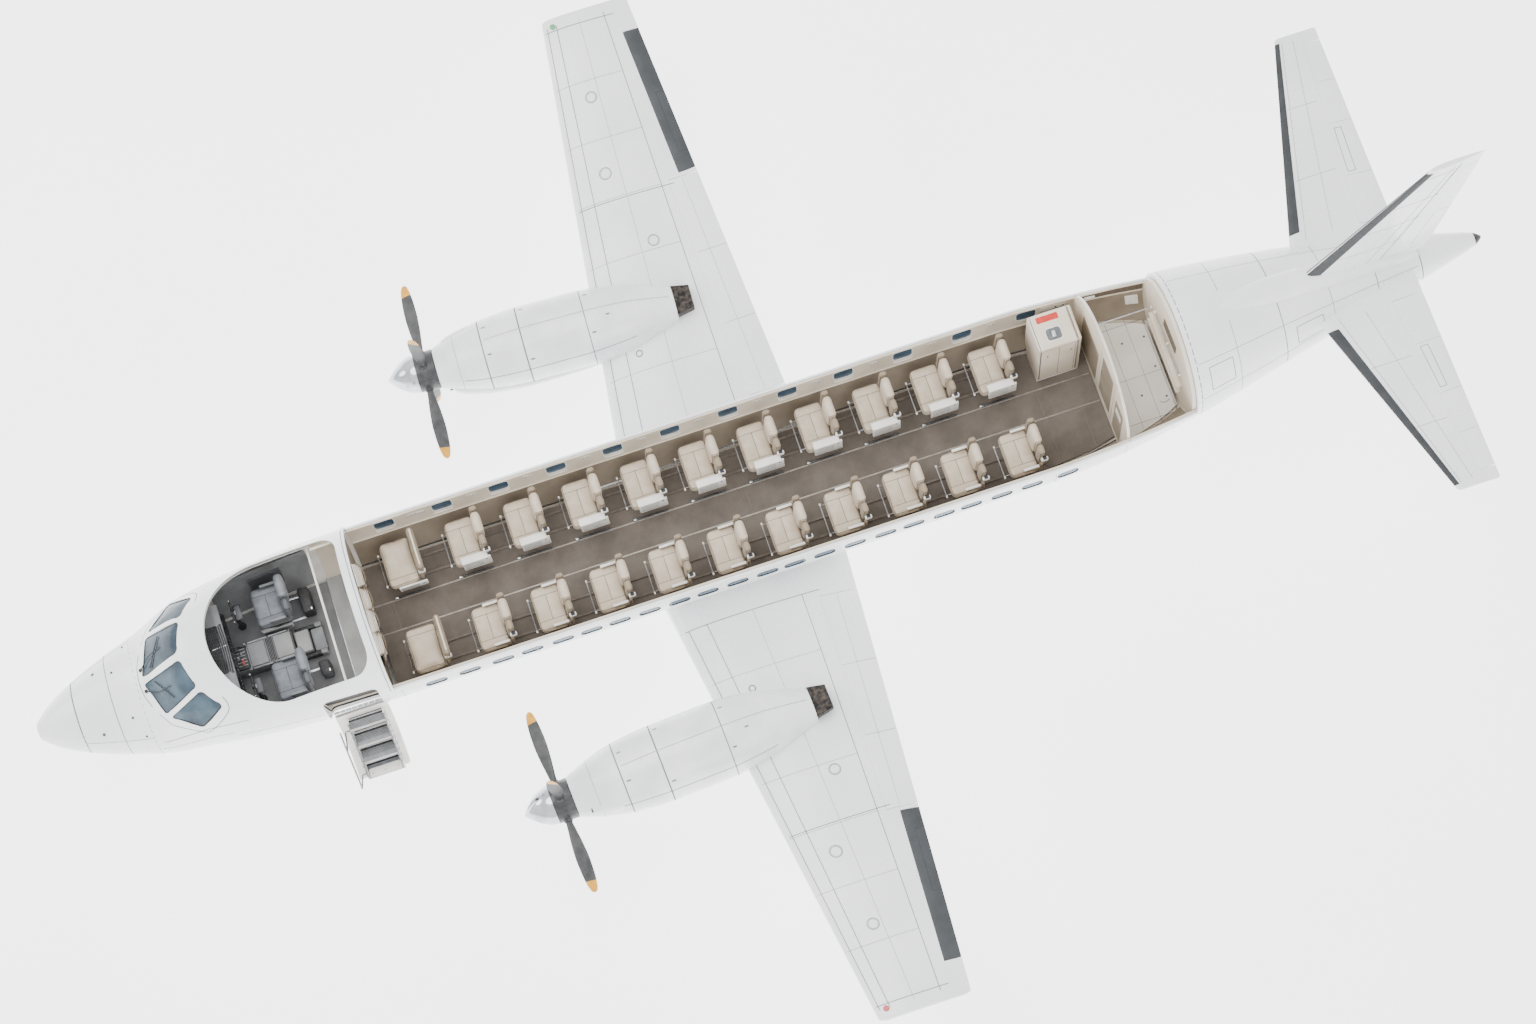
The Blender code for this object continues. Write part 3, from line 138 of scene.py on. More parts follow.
LOOKS = {
    # Sprayed polyurethane enamel: even and glossy under a clear coat, with a hardly visible drift of tone
    "white_enamel": finish("white_polyurethane_enamel", "#f4f5f6", "#e9ebed", 900, 40, (0.24, 0.32),
                           bump=0.02, depth_mm=0.1, coat_weight=0.35, coat_roughness=0.08),
    # The same enamel on the cowlings, a little greyer from oil haze
    "cowl_enamel": finish("cowl_polyurethane_enamel", "#f2f3f4", "#dfe1e3", 420, 30, (0.2, 0.34),
                          bump=0.03, depth_mm=0.1, coat_weight=0.45, coat_roughness=0.06),
    # Dark slate enamel of the ailerons: satin, slightly chalked
    "slate_enamel": finish("slate_enamel", "#35393d", "#2a2e31", 260, 18, (0.38, 0.5), bump=0.04,
                           depth_mm=0.1),
    # De-icer boots of neoprene: matt charcoal with a fine cloth print
    "boot_rubber": finish("neoprene_boot_rubber", "#303336", "#232629", 180, 9, (0.5, 0.66), bump=0.2),
    # Spun aluminium, polished: bright with faint turning lines round the axis
    "spun_aluminium": finish("polished_spun_aluminium", "#c9ccd0", "#aab0b5", 160, 14, (0.1, 0.2),
                             grain="ribs", stretch=(0.05, 1, 0.05), bump=0.03, depth_mm=0.05, metallic=1.0),
    # Anodised aluminium extrusions of rails and tracks: pale and satin
    "anodised_aluminium": finish("anodised_aluminium", "#c6c8ca", "#a9acaf", 90, 6, (0.3, 0.42),
                                 stretch=(1, 0.06, 1), bump=0.05, depth_mm=0.05, metallic=1.0),
    # Moulded carbon and glass blade under grey paint: satin charcoal with chips of stone wear
    "blade_paint": finish("painted_composite_blade", "#4a4a4b", "#333435", 120, 7, (0.34, 0.5), bump=0.12,
                          tint=0.12),
    # Amber safety enamel of the blade tips
    "amber_enamel": finish("amber_enamel", "#e0a52f", "#c98d22", 60, 8, (0.32, 0.45), bump=0.05),
    # Black enamelled hub band
    "hub_enamel": finish("black_hub_enamel", "#3a3b3d", "#242527", 90, 12, (0.25, 0.4), bump=0.05),
    # Stainless exhaust, burnt dark: brown and blue heat stain, sooty
    "burnt_steel": finish("heat_stained_stainless_steel", "#57504a", "#2b2a2c", 45, 8, (0.35, 0.6), bump=0.12,
                          tint=0.25, metallic=1.0),
    # Rolled sealant in the skin's joints: matt grey
    "sealant": finish("joint_sealant", "#6c7074", "#595d60", 70, 6, (0.6, 0.8), bump=0.05),
    # Sealed lap joints that are hardly seen
    "lap_joint": finish("lap_joint_paint", "#a3a7aa", "#93979a", 90, 8, (0.4, 0.6), bump=0.05),
    # Extruded black rubber of gaskets and seals; the same black also stands as painted shade in scoop mouths,
    # an exhaust throat and between stair treads
    "gasket_and_shade": finish("epdm_gasket_rubber_and_painted_shade", "#2b2e31", "#1c1e20", 40, 5, (0.55, 0.75), bump=0.15),
    # Stretched acrylic of the cabin windows: blue-grey and glossy
    "acrylic": finish("tinted_acrylic", "#3f586c", "#2c4356", 240, 60, (0.12, 0.2), bump=0.01, depth_mm=0.1,
                      specular_ior_level=0.2),
    # Laminated windshield glass: blue-grey, deeper where the cabin is dark behind it
    "laminated_glass": finish("laminated_glass", "#4d5f6b", "#2c3a45", 330, 80, (0.12, 0.2), bump=0.01,
                              depth_mm=0.1, specular_ior_level=0.2),
    # Full-grain leather, cream: soft pebble of 3 mm drawn at 5 mm, so that it shows
    "cream_leather": finish("cream_full_grain_leather", "#cfc1ad", "#bfae97", 130, 5, (0.42, 0.58),
                            grain="cells", bump=0.25, depth_mm=0.5, tint=0.06, sheen_weight=0.15),
    # The same hide in taupe: the cream hide darkened as painted shade on the seats' end rolls, side pads, the
    # front row's back bar and the panels under the backs
    "cream_leather_shade": finish("full_grain_leather_painted_shade", "#96866f", "#80715c", 110, 5, (0.45, 0.6),
                            grain="cells", bump=0.25, depth_mm=0.5, tint=0.08, sheen_weight=0.15),
    # Blue-grey crew leather, worn darker
    "grey_leather": finish("blue_grey_leather", "#83888f", "#676c73", 120, 5, (0.4, 0.58), grain="cells",
                           bump=0.25, depth_mm=0.5, tint=0.1, sheen_weight=0.1),
    # Dark welt cord and stitching of the seats; the same brown also lies flat as painted shade in a recess of
    # the aft bulkhead
    "welt_and_shade": finish("waxed_seam_cord_and_painted_shade", "#6d6154", "#574c41", 30, 3, (0.6, 0.8), bump=0.3),
    # Moulded ABS: ivory, with an even fine spark texture of 1 mm drawn at 4 mm
    "ivory_abs": finish("ivory_moulded_abs", "#e2d8c8", "#d5c9b6", 400, 4, (0.45, 0.55), bump=0.12,
                        depth_mm=0.2),
    # Thermoformed lower wall panel in taupe
    "taupe_abs": finish("taupe_thermoformed_panel", "#958979", "#817566", 420, 4, (0.55, 0.68), bump=0.15,
                        depth_mm=0.2),
    # White moulded ABS of seat shells and fittings
    "white_abs": finish("white_moulded_abs", "#eeece7", "#dfdcd6", 200, 4, (0.38, 0.5), bump=0.08,
                        depth_mm=0.2),
    # Quilted insulation between skin and lining: pale, with a 20 mm hatch
    "insulation": finish("quilted_glass_wool", "#e3e4e4", "#cfd0d0", 60, 22, (0.75, 0.9), grain="ribs",
                         stretch=(0.2, 1, 0.2), bump=0.5, depth_mm=2.0, tint=0.3),
    # Tufted wool carpet, taupe: loops of 4 mm drawn at 9 mm
    "carpet": finish("tufted_wool_carpet", "#756c63", "#645c53", 300, 9, (0.88, 1.0), grain="cells", bump=0.7,
                     depth_mm=2.5, tint=0.16, sheen_weight=0.3),
    # Ribbed rubber mat of the flight deck: grey
    "deck_mat": finish("ribbed_rubber_mat", "#747577", "#626365", 260, 14, (0.6, 0.75), grain="ribs",
                       stretch=(1, 0.02, 1), bump=0.3, depth_mm=0.8, tint=0.08),
    # Lighter vinyl of the entry floor
    "entry_vinyl": finish("grey_vinyl_flooring", "#a3a4a4", "#929393", 260, 6, (0.5, 0.65), bump=0.15),
    # Powder-coated flight deck furniture
    "deck_enamel": finish("grey_powder_coat", "#8a8d90", "#77797c", 220, 3, (0.5, 0.62), bump=0.15,
                          depth_mm=0.2),
    # Black moulded instrument surround, fine spark texture
    "black_abs": finish("black_moulded_abs", "#38393b", "#28292b", 160, 4, (0.5, 0.68), bump=0.2,
                        depth_mm=0.2),
    # Cover glass of displays and dials
    "dial_glass": finish("display_glass", "#1a2024", "#11161a", 60, 30, (0.05, 0.1), bump=0.0,
                         coat_weight=0.6),
    # White ink of dial marks and labels' bare fields
    "mark_white": finish("white_screen_ink", "#eceeee", "#e0e2e2", 50, 5, (0.45, 0.6), bump=0.02),
    # Forged steel of the gear legs under grey enamel
    "gear_enamel": finish("grey_enamelled_forging", "#b9bcbf", "#9a9da0", 120, 6, (0.35, 0.5), bump=0.1,
                          tint=0.08),
    # Hard chrome of pistons, axles, levers and latches
    "chrome": finish("hard_chrome", "#e0e2e4", "#c9cccf", 60, 10, (0.05, 0.12), bump=0.01, metallic=1.0),
    # Cast magnesium wheel under silver paint
    "cast_wheel": finish("cast_magnesium_wheel", "#c4c6c8", "#a7aaad", 50, 4, (0.35, 0.5), bump=0.2,
                         metallic=0.7),
    # Tyre rubber: matt black with a dusty bloom
    "tyre_rubber": finish("tyre_rubber", "#2d2d2e", "#1e1e1f", 90, 5, (0.75, 0.92), bump=0.35, depth_mm=0.4,
                          tint=0.15),
    # Painted red plate, left blank
    "red_enamel": finish("red_enamel_plate", "#d2362c", "#bd2a22", 40, 6, (0.3, 0.42), bump=0.04),
    # Honeycomb floor board with a pale gelcoat
    "gelcoat": finish("pale_gelcoat_board", "#f0ede6", "#e4dfd6", 500, 7, (0.4, 0.55), bump=0.06),
    # Engine block, cast alloy under oil
    "cast_alloy": finish("cast_aluminium_alloy", "#8f9193", "#6f7274", 70, 6, (0.4, 0.6), bump=0.25,
                         metallic=0.9),
    # Dark cord of the crew seats' seams
    "dark_cord": finish("dark_seam_cord", "#3f4246", "#303337", 30, 3, (0.6, 0.8), bump=0.3),
    # The crew hide in slate, on the folded side pads
    "slate_leather": finish("slate_leather", "#55595f", "#464a4f", 110, 5, (0.42, 0.6), grain="cells",
                            bump=0.25, depth_mm=0.5, tint=0.1, sheen_weight=0.1),
    # Seat track in the carpet: dull aluminium between dark lips
    "track_aluminium": finish("worn_seat_track", "#a39b91", "#8f877e", 80, 6, (0.4, 0.55),
                              stretch=(1, 0.06, 1), bump=0.1, metallic=0.3),
    # Bound joint between two carpet lengths
    "carpet_joint": finish("bound_carpet_joint", "#7a7168", "#6b635b", 60, 5, (0.85, 0.95), bump=0.3),
    # Brushed steel of the handrail: grey and satin
    "satin_steel": finish("brushed_steel_tube", "#8f9294", "#76797b", 60, 5, (0.3, 0.42),
                          stretch=(1, 1, 0.06), bump=0.08, metallic=0.8),
    # Moulded grey rubber of the stair treads
    "step_rubber": finish("moulded_step_rubber", "#8d9092", "#7b7e80", 90, 6, (0.6, 0.75), bump=0.2),
    # Coloured lenses
    "red_lens": finish("red_polycarbonate_lens", "#c0261f", "#9d1c17", 40, 20, (0.06, 0.12), coat_weight=0.5),
    "green_lens": finish("green_polycarbonate_lens", "#1f9a55", "#157a41", 40, 20, (0.06, 0.12),
                         coat_weight=0.5),
}


# Shapes: each is a list of points and a list of faces

def world(station, x, height):
    return Vector((x, station - LENGTH / 2, height + AXIS_HEIGHT))


def loft(rings, caps=True):
    """A skin through rings with equal numbers of points."""
    count = len(rings[0])
    points = [point for ring in rings for point in ring]
    faces = []
    for row in range(len(rings) - 1):
        for i in range(count):
            j = (i + 1) % count
            a, b = row * count, (row + 1) * count
            faces.append((a + i, a + j, b + j, b + i))
    if caps:
        faces.append(tuple(reversed(range(count))))
        faces.append(tuple(range(len(points) - count, len(points))))
    return points, faces


def thick(outer, inner, closed=False):
    """A closed sheet between two grids of points of the same size."""
    rows, columns = len(outer), len(outer[0])
    points = [p for row in outer for p in row] + [p for row in inner for p in row]
    half = rows * columns
    last = columns if closed else columns - 1
    faces = []
    for r in range(rows - 1):
        for c in range(last):
            d = (c + 1) % columns
            a, b, e, f = r * columns + c, r * columns + d, (r + 1) * columns + d, (r + 1) * columns + c
            faces.append((a, b, e, f))
            faces.append((half + f, half + e, half + b, half + a))
    for c in range(last):
        d = (c + 1) % columns
        far = (rows - 1) * columns
        faces.append((half + c, half + d, d, c))
        faces.append((far + c, far + d, half + far + d, half + far + c))
    if not closed:
        for r in range(rows - 1):
            a, b = r * columns, (r + 1) * columns
            faces.append((a, b, half + b, half + a))
            a, b = a + columns - 1, b + columns - 1
            faces.append((b, a, half + a, half + b))
    return points, faces


def moved(shape, matrix):
    return [matrix @ Vector(point) for point in shape[0]], shape[1]


def together(*shapes):
    points, faces = [], []
    for some_points, some_faces in shapes:
        start = len(points)
        points += some_points
        faces += [tuple(start + i for i in face) for face in some_faces]
    return points, faces


def block(low, high, radius=0.004):
    """A box between two corners (x, station, height) with rounded edges."""
    low, high = world(low[1], low[0], low[2]), world(high[1], high[0], high[2])
    bm = bmesh.new()
    bmesh.ops.create_cube(bm, size=1.0)
    bmesh.ops.scale(bm, vec=high - low, verts=bm.verts)
    bmesh.ops.translate(bm, vec=(low + high) / 2, verts=bm.verts)
    radius = min(radius, 0.49 * min(high - low))
    bmesh.ops.bevel(bm, geom=bm.edges[:], offset=radius, segments=2, affect="EDGES", profile=0.5)
    bm.verts.index_update()
    shape = [v.co.copy() for v in bm.verts], [tuple(v.index for v in f.verts) for f in bm.faces]
    bm.free()
    return shape


def frame_along(direction):
    """Two unit vectors across a direction."""
    side = direction.cross(UPWARD)
    if side.length < 1e-4:
        side = direction.cross(AFT)
    side.normalize()
    return side, side.cross(direction).normalized()


def pipe(path, radius, sides=10, closed=False):
    """A round tube along a path of world points."""
    path = [Vector(p) for p in path]
    rings = []
    count = len(path)
    for i, point in enumerate(path):
        ahead = path[(i + 1) % count] if closed or i < count - 1 else point
        behind = path[i - 1] if closed or i else point
        side, up = frame_along((ahead - behind).normalized())
        reach = radius[i] if isinstance(radius, (list, tuple)) else radius
        turns = [2 * math.pi * k / sides for k in range(sides)]
        rings.append([point + side * reach * math.cos(t) + up * reach * math.sin(t) for t in turns])
    return loft(rings + rings[:1], caps=False) if closed else loft(rings)


def eased(path, steps=5):
    """A smooth curve through a path's points."""
    path = [Vector(p) for p in path]
    ends = [path[0] * 2 - path[1], *path, path[-1] * 2 - path[-2]]
    points = []
    for a, b, c, d in zip(ends, ends[1:], ends[2:], ends[3:]):
        for i in range(steps):
            t = i / steps
            points.append(0.5 * (2 * b + (c - a) * t + (2 * a - 5 * b + 4 * c - d) * t * t
                                 + (3 * b - a - 3 * c + d) * t**3))
    return points + [path[-1]]


def lathe(profile, start, axis, steps=48):
    """A profile of (distance along the axis, radius) turned about it; ends on the axis are closed."""
    axis = axis.normalized()
    side, up = frame_along(axis)
    rings = []
    for reach, radius in profile:
        turns = [2 * math.pi * k / steps for k in range(steps)]
        radius = max(radius, 0.0004)
        rings.append([start + axis * reach + (side * math.cos(t) + up * math.sin(t)) * radius for t in turns])
    return loft(rings)


def boxed_lathe(profile, start, axis, steps=48):
    """A closed profile turned about an axis, such as a ring or a tyre."""
    points, faces = lathe(profile + profile[:1], start, axis, steps)
    return points, faces[:-2]


def rounded(corners, radius, steps=5):
    """A closed outline of 2-D corners with each corner rounded."""
    outline = []
    count = len(corners)
    for i in range(count):
        here = np.array(corners[i], float)
        ends = []
        for other in (corners[i - 1], corners[(i + 1) % count]):
            way = np.array(other, float) - here
            length = np.linalg.norm(way)
            ends.append(here + way / length * min(radius, 0.48 * length))
        for k in range(steps + 1):
            t = k / steps
            outline.append(tuple((1 - t) ** 2 * ends[0] + 2 * t * (1 - t) * here + t * t * ends[1]))
    return outline


def prism(outline, place, low, high):
    """An outline of 2-D points swept between two levels; place turns (u, v, level) into a world point."""
    return loft([[place(u, v, level) for u, v in outline] for level in (low, high)])


def face_outward(mesh):
    bm = bmesh.new()
    bm.from_mesh(mesh)
    bmesh.ops.recalc_face_normals(bm, faces=bm.faces)
    bm.to_mesh(mesh)
    bm.free()


def piece(name, parts, body=AIRFRAME, stands_for=(), crease=32.0):
    """One object of (look, shape) parts that rides on a body, in place of the named CAD nodes."""
    points, faces, looks, order = [], [], [], []
    for look, shape in parts:
        if look not in order:
            order.append(look)
        start = len(points)
        points += [tuple(p) for p in shape[0]]
        faces += [tuple(start + i for i in face) for face in shape[1]]
        looks += [order.index(look)] * len(shape[1])
    mesh = bpy.data.meshes.new(name)
    mesh.from_pydata(points, [], faces)
    mesh.polygons.foreach_set("material_index", looks)
    for look in order:
        mesh.materials.append(LOOKS[look])
    face_outward(mesh)
    mesh.shade_smooth()
    mesh.set_sharp_from_angle(angle=math.radians(crease))
    obj = bpy.data.objects.new(name, mesh)
    bpy.context.scene.collection.objects.link(obj)
    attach(obj, body)
    if stands_for:
        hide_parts(*stands_for)


def solid(shape):
    """A bare mesh object of a shape, for Booleans."""
    mesh = bpy.data.meshes.new("work")
    mesh.from_pydata([tuple(p) for p in shape[0]], [], shape[1])
    face_outward(mesh)
    obj = bpy.data.objects.new("work", mesh)
    bpy.context.scene.collection.objects.link(obj)
    return obj


def carved(shape, cutter):
    """The shape less the cutter, a shape that may hold several closed bodies."""
    target, tool = solid(shape), solid(cutter)
    step = target.modifiers.new("carve", "BOOLEAN")
    step.operation = "DIFFERENCE"
    step.solver = "EXACT"
    step.object = tool
    bpy.context.view_layer.update()
    mesh = bpy.data.meshes.new_from_object(target.evaluated_get(bpy.context.evaluated_depsgraph_get()))
    result = [v.co.copy() for v in mesh.vertices], [tuple(p.vertices) for p in mesh.polygons]
    for obj in (target, tool):
        bpy.data.objects.remove(obj)
    bpy.data.meshes.remove(mesh)
    return result


class Curve:
    """A smooth line through given points that never swings past them."""

    def __init__(self, xs, ys):
        self.x, self.y = np.array(xs, float), np.array(ys, float)
        step = np.diff(self.x)
        rise = np.diff(self.y) / step
        self.slope = np.zeros(len(xs))
        self.slope[0], self.slope[-1] = rise[0], rise[-1]
        for i in range(1, len(xs) - 1):
            if rise[i - 1] * rise[i] > 0:
                before, after = 2 * step[i] + step[i - 1], step[i] + 2 * step[i - 1]
                self.slope[i] = (before + after) / (before / rise[i - 1] + after / rise[i])

    def __call__(self, x):
        i = int(np.clip(np.searchsorted(self.x, x) - 1, 0, len(self.x) - 2))
        step = self.x[i + 1] - self.x[i]
        t = min(max((x - self.x[i]) / step, 0.0), 1.0)
        return float((1 + 2 * t) * (1 - t) ** 2 * self.y[i] + t * (1 - t) ** 2 * step * self.slope[i]
                     + t * t * (3 - 2 * t) * self.y[i + 1] + t * t * (t - 1) * step * self.slope[i + 1])


class Skin:
    """A surface with two directions; points can be taken at a height over it."""

    def __init__(self, point, turn=1.0):
        self.point = point
        self.turn = turn

    def normal(self, u, v):
        e = 0.002
        along = self.point(u + e, v) - self.point(u - e, v)
        across = self.point(u, v + e) - self.point(u, v - e)
        return along.cross(across).normalized() * self.turn

    def over(self, u, v, height=0.0):
        return self.point(u, v) + self.normal(u, v) * height

    def line(self, path, width=0.006, height=0.0008):
        """A strip of sealant along a path of (u, v)."""
        outer, inner = [], []
        points = [self.point(u, v) for u, v in path]
        for i, (u, v) in enumerate(path):
            ahead = points[min(i + 1, len(path) - 1)] - points[max(i - 1, 0)]
            up = self.normal(u, v)
            side = ahead.cross(up).normalized() * (width * 0.8)
            outer.append([points[i] - side + up * height, points[i] + side + up * height])
            inner.append([points[i] - side - up * 0.002, points[i] + side - up * 0.002])
        return thick(outer, inner)

    def straight(self, start, end, width=0.006, height=0.0008, steps=24):
        path = [(start[0] + (end[0] - start[0]) * i / steps, start[1] + (end[1] - start[1]) * i / steps)
                for i in range(steps + 1)]
        return self.line(path, width, height)

    def rivets(self, start, end, pitch=0.09):
        """A row of flush fastener heads between two places on the surface."""
        length = (self.point(*end) - self.point(*start)).length
        count = max(int(length / pitch), 1)
        shapes = []
        for i in range(count):
            t = (i + 0.5) / count
            u, v = start[0] + (end[0] - start[0]) * t, start[1] + (end[1] - start[1]) * t
            shapes.append(self.button(u, v, 0.0045, 0.0007, sides=6))
        return together(*shapes)

    def button(self, u, v, radius, height, sides=24):
        """A flat round head on the surface."""
        up = self.normal(u, v)
        middle = self.point(u, v)
        return lathe([(-0.003, radius), (height * 0.7, radius), (height, radius * 0.86)], middle, up, sides)

    def circle(self, u, v, radius, width=0.005):
        """A raised ring that follows the surface."""
        along = self.point(u + 0.005, v) - self.point(u - 0.005, v)
        across = self.point(u, v + 0.005) - self.point(u, v - 0.005)
        path = []
        for k in range(41):
            t = 2 * math.pi * k / 40
            path.append((u + radius * math.cos(t) * 0.01 / along.length,
                         v + radius * math.sin(t) * 0.01 / across.length))
        return self.line(path, width, 0.0012)

    def sheet(self, us, vs, height, depth=0.003):
        """A patch that lies on the surface."""
        outer = [[self.over(u, v, height) for v in vs] for u in us]
        inner = [[self.over(u, v, height - depth) for v in vs] for u in us]
        return thick(outer, inner)


def spaced(start, end, step):
    count = max(int(round((end - start) / step)), 1)
    return [start + (end - start) * i / count for i in range(count + 1)]


# Hull

HULL = (
    (0.00, 0.04, -0.335, -0.41), (0.05, 0.13, -0.27, -0.48), (0.15, 0.22, -0.20, -0.56),
    (0.30, 0.32, -0.12, -0.64), (0.55, 0.445, -0.02, -0.73), (0.90, 0.585, 0.10, -0.81),
    (1.46, 0.76, 0.27, -0.90), (1.75, 0.83, 0.55, -0.94), (2.05, 0.89, 0.81, -0.97),
    (2.35, 0.94, 0.90, -1.00), (3.00, 1.01, 1.00, -1.04), (3.70, 1.05, 1.045, -1.06),
    (4.40, 1.06, 1.06, -1.06), (12.40, 1.06, 1.06, -1.06), (13.00, 1.03, 1.065, -1.02),
    (13.60, 0.975, 1.07, -0.90), (14.30, 0.89, 1.08, -0.66), (15.00, 0.77, 1.08, -0.38),
    (15.70, 0.63, 1.04, -0.10), (16.40, 0.48, 0.95, 0.10), (17.10, 0.32, 0.80, 0.24),
    (17.70, 0.17, 0.64, 0.33), (18.00, 0.08, 0.545, 0.40), (18.10, 0.03, 0.50, 0.445),
)
HULL_LINES = [Curve([row[0] for row in HULL], [row[k] for row in HULL]) for k in (1, 2, 3)]
NOSE_ROUND = 0.05
TAIL_ROUND = 18.0
HOOP = (4.09, 4.21)
HOOP_FACE = 4.209
PARTITION = 13.36
FORWARD_BULKHEAD = 4.14
AFT_BULKHEAD = 14.2
CUT_END = 14.22
CUT_HEIGHT = 0.20
RADOME_END = 0.55
TAIL_CONE = 17.25
FLOOR_TOP = -0.62
BOARD_TOP = -0.42


def hull_form(station):
    """Half width, middle and half height of the hull, rounded off at nose and tail."""
    half, top, bottom = [line(station) for line in HULL_LINES]
    middle, rise = (top + bottom) / 2, (top - bottom) / 2
    share = 1.0
    if station < NOSE_ROUND:
        half, top, bottom = [line(NOSE_ROUND) for line in HULL_LINES]
        middle, rise = (top + bottom) / 2, (top - bottom) / 2
        share = math.sqrt(max(1 - (1 - station / NOSE_ROUND) ** 2, 0.0)) ** 1.2
    elif station > TAIL_ROUND:
        t = (station - TAIL_ROUND) / (LENGTH - TAIL_ROUND)
        share = math.sqrt(max(1 - t**3, 0.0))
    return half * share, middle, rise * share


def hull_at(station, angle, inset=0.0):
    """A point of the hull; the angle runs from the crown, positive to port."""
    half, middle, rise = hull_form(station)
    return world(station, (half - inset) * math.sin(angle), middle + (rise - inset) * math.cos(angle))


def hull_angle(station, height, inset):
    """The angle at which a ring of the hull reaches a height."""
    _, middle, rise = hull_form(station)
    return math.acos(max(min((height - middle) / (rise - inset), 1.0), -1.0))


def hull_half(station, height, inset=0.0):
    half, _, _ = hull_form(station)
    return (half - inset) * math.sin(hull_angle(station, height, inset))


HULL_SKIN = Skin(lambda station, angle: hull_at(station, angle), -1.0)


def hull_rows(stations, inset, columns, cut=None):
    """Rings of the hull; below a cut height they run from port edge to starboard edge."""
    rows = []
    for station in stations:
        if cut is None:
            angles = [2 * math.pi * i / columns for i in range(columns)]
        else:
            edge = hull_angle(station, cut, inset)
            angles = [edge + (2 * math.pi - 2 * edge) * i / columns for i in range(columns + 1)]
        rows.append([hull_at(station, angle, inset) for angle in angles])
    return rows


def hull_shell(start, end, outer, inner, columns=96, cut=None, step=0.11):
    stations = spaced(start, end, step)
    return thick(hull_rows(stations, outer, columns, cut), hull_rows(stations, inner, columns, cut),
                 closed=cut is None)


PANES = {
    "front": ((1.45, 3), (1.61, 37), (2.10, 27), (1.99, 3)),
    "side": ((1.655, 41.5), (1.99, 62.5), (2.31, 47), (2.125, 31)),
}
PANE_CORNER = 0.05
PANE_DEPTH = 0.006
PANE_THICKNESS = 0.012
DOOR = {"front": 3.38, "end": 4.04, "sill": -0.66, "head": 0.36, "corner": 0.09}
PORT_WINDOWS = (4.71, 5.12, 5.53, 5.89, 6.27, 6.62, 6.97, 7.34, 7.71, 8.06, 8.43, 8.80, 9.14, 9.51, 9.89,
                10.27, 10.62, 11.00, 11.34, 11.72, 12.10, 12.55)
STARBOARD_WINDOWS = (4.66, 5.38, 6.09, 6.81, 7.52, 8.24, 8.97, 9.72, 10.43, 11.18, 11.93, 12.74)
# Length, lower edge, upper edge, corner radius
WINDOW_FORMS = {1: (0.26, -0.05, 0.10, 0.07), -1: (0.26, -0.13, 0.165, 0.08)}
SKIN_DEPTH = 0.024
LINING = (0.036, 0.058)


def pane_outline(corners, side, grow=0.0):
    """Station and angle along a pane's edge; angles are turned to lengths and back to round the corners."""
    arm = 0.75
    flat = [(s, math.radians(a) * arm) for s, a in corners]
    outline = rounded(flat, PANE_CORNER + grow, 5)
    middle = np.mean(np.array(outline), axis=0)
    grown = []
    for u, v in outline:
        way = np.array((u, v)) - middle
        way *= 1 + grow / np.linalg.norm(way)
        grown.append((middle[0] + way[0], side * (middle[1] + way[1]) / arm))
    return grown


def window_outline(station, side, grow=0.0):
    length, low, high, corner = WINDOW_FORMS[side]
    half = length / 2 + grow
    low, high = low - grow, high + grow
    corners = ((station - half, low), (station + half, low), (station + half, high), (station - half, high))
    return rounded(corners, corner + grow, 6)


def hull_ring(outline, inset):
    return [hull_at(station, angle, inset) for station, angle in outline]


def side_ring(outline, side, inset):
    """Points on the hull's side over an outline of (station, height)."""
    return [world(s, side * hull_half(s, z, inset), z) for s, z in outline]


def hull_frame_ring(rings_outer, rings_inner):
    """A ring-shaped solid between an outer outline's points and an inner outline's, each at two depths."""
    return thick([r + r[:1] for r in rings_outer], [r + r[:1] for r in rings_inner])


def roof_outline(grow=0.0):
    """Plan outline (x, station) of the flight deck's roof opening: a bow ahead, rounded corners aft."""
    half, bow, straight, end, corner = 0.86 + grow, 2.36 - grow, 3.10, HOOP[0] + grow, 0.22
    points = []
    for i in range(41):
        turn = math.pi * i / 40
        points.append((-half * math.cos(turn), straight - (straight - bow) * math.sin(turn)))
    for start, way in ((0, 1), (90, -1)):
        for i in range(9):
            turn = math.radians(start + 90 * i / 8)
            points.append((way * (half - corner) + corner * math.cos(turn),
                           end - corner + corner * math.sin(turn)))
    return points


def door_outline(grow=0.0):
    corners = ((DOOR["front"] - grow, DOOR["sill"] - grow), (DOOR["end"] + grow, DOOR["sill"] - grow),
               (DOOR["end"] + grow, DOOR["head"] + grow), (DOOR["front"] - grow, DOOR["head"] + grow))
    return rounded(corners, DOOR["corner"] + grow, 6)


def build_nose_and_tail():
    stations = [0.0, 0.003, 0.01, 0.022, 0.035, 0.05] + spaced(0.05, RADOME_END - 0.004, 0.06)[1:]
    rings = [hull_rows([s], 0.0, 96)[0] for s in stations]
    piece("radome", [("white_enamel", loft(rings))], stands_for=["nose_cone"])
    stations = spaced(TAIL_CONE + 0.003, 18.0, 0.07)
    rings = [hull_rows([s], 0.0, 96)[0] for s in stations]
    cap = [hull_rows([s], 0.0, 48)[0] for s in (18.0, 18.03, 18.06, 18.08, 18.092, 18.0985)]
    piece("tail_cone_skin", [("white_enamel", loft(rings)), ("hub_enamel", loft(cap))],
          stands_for=["tail_cone"])


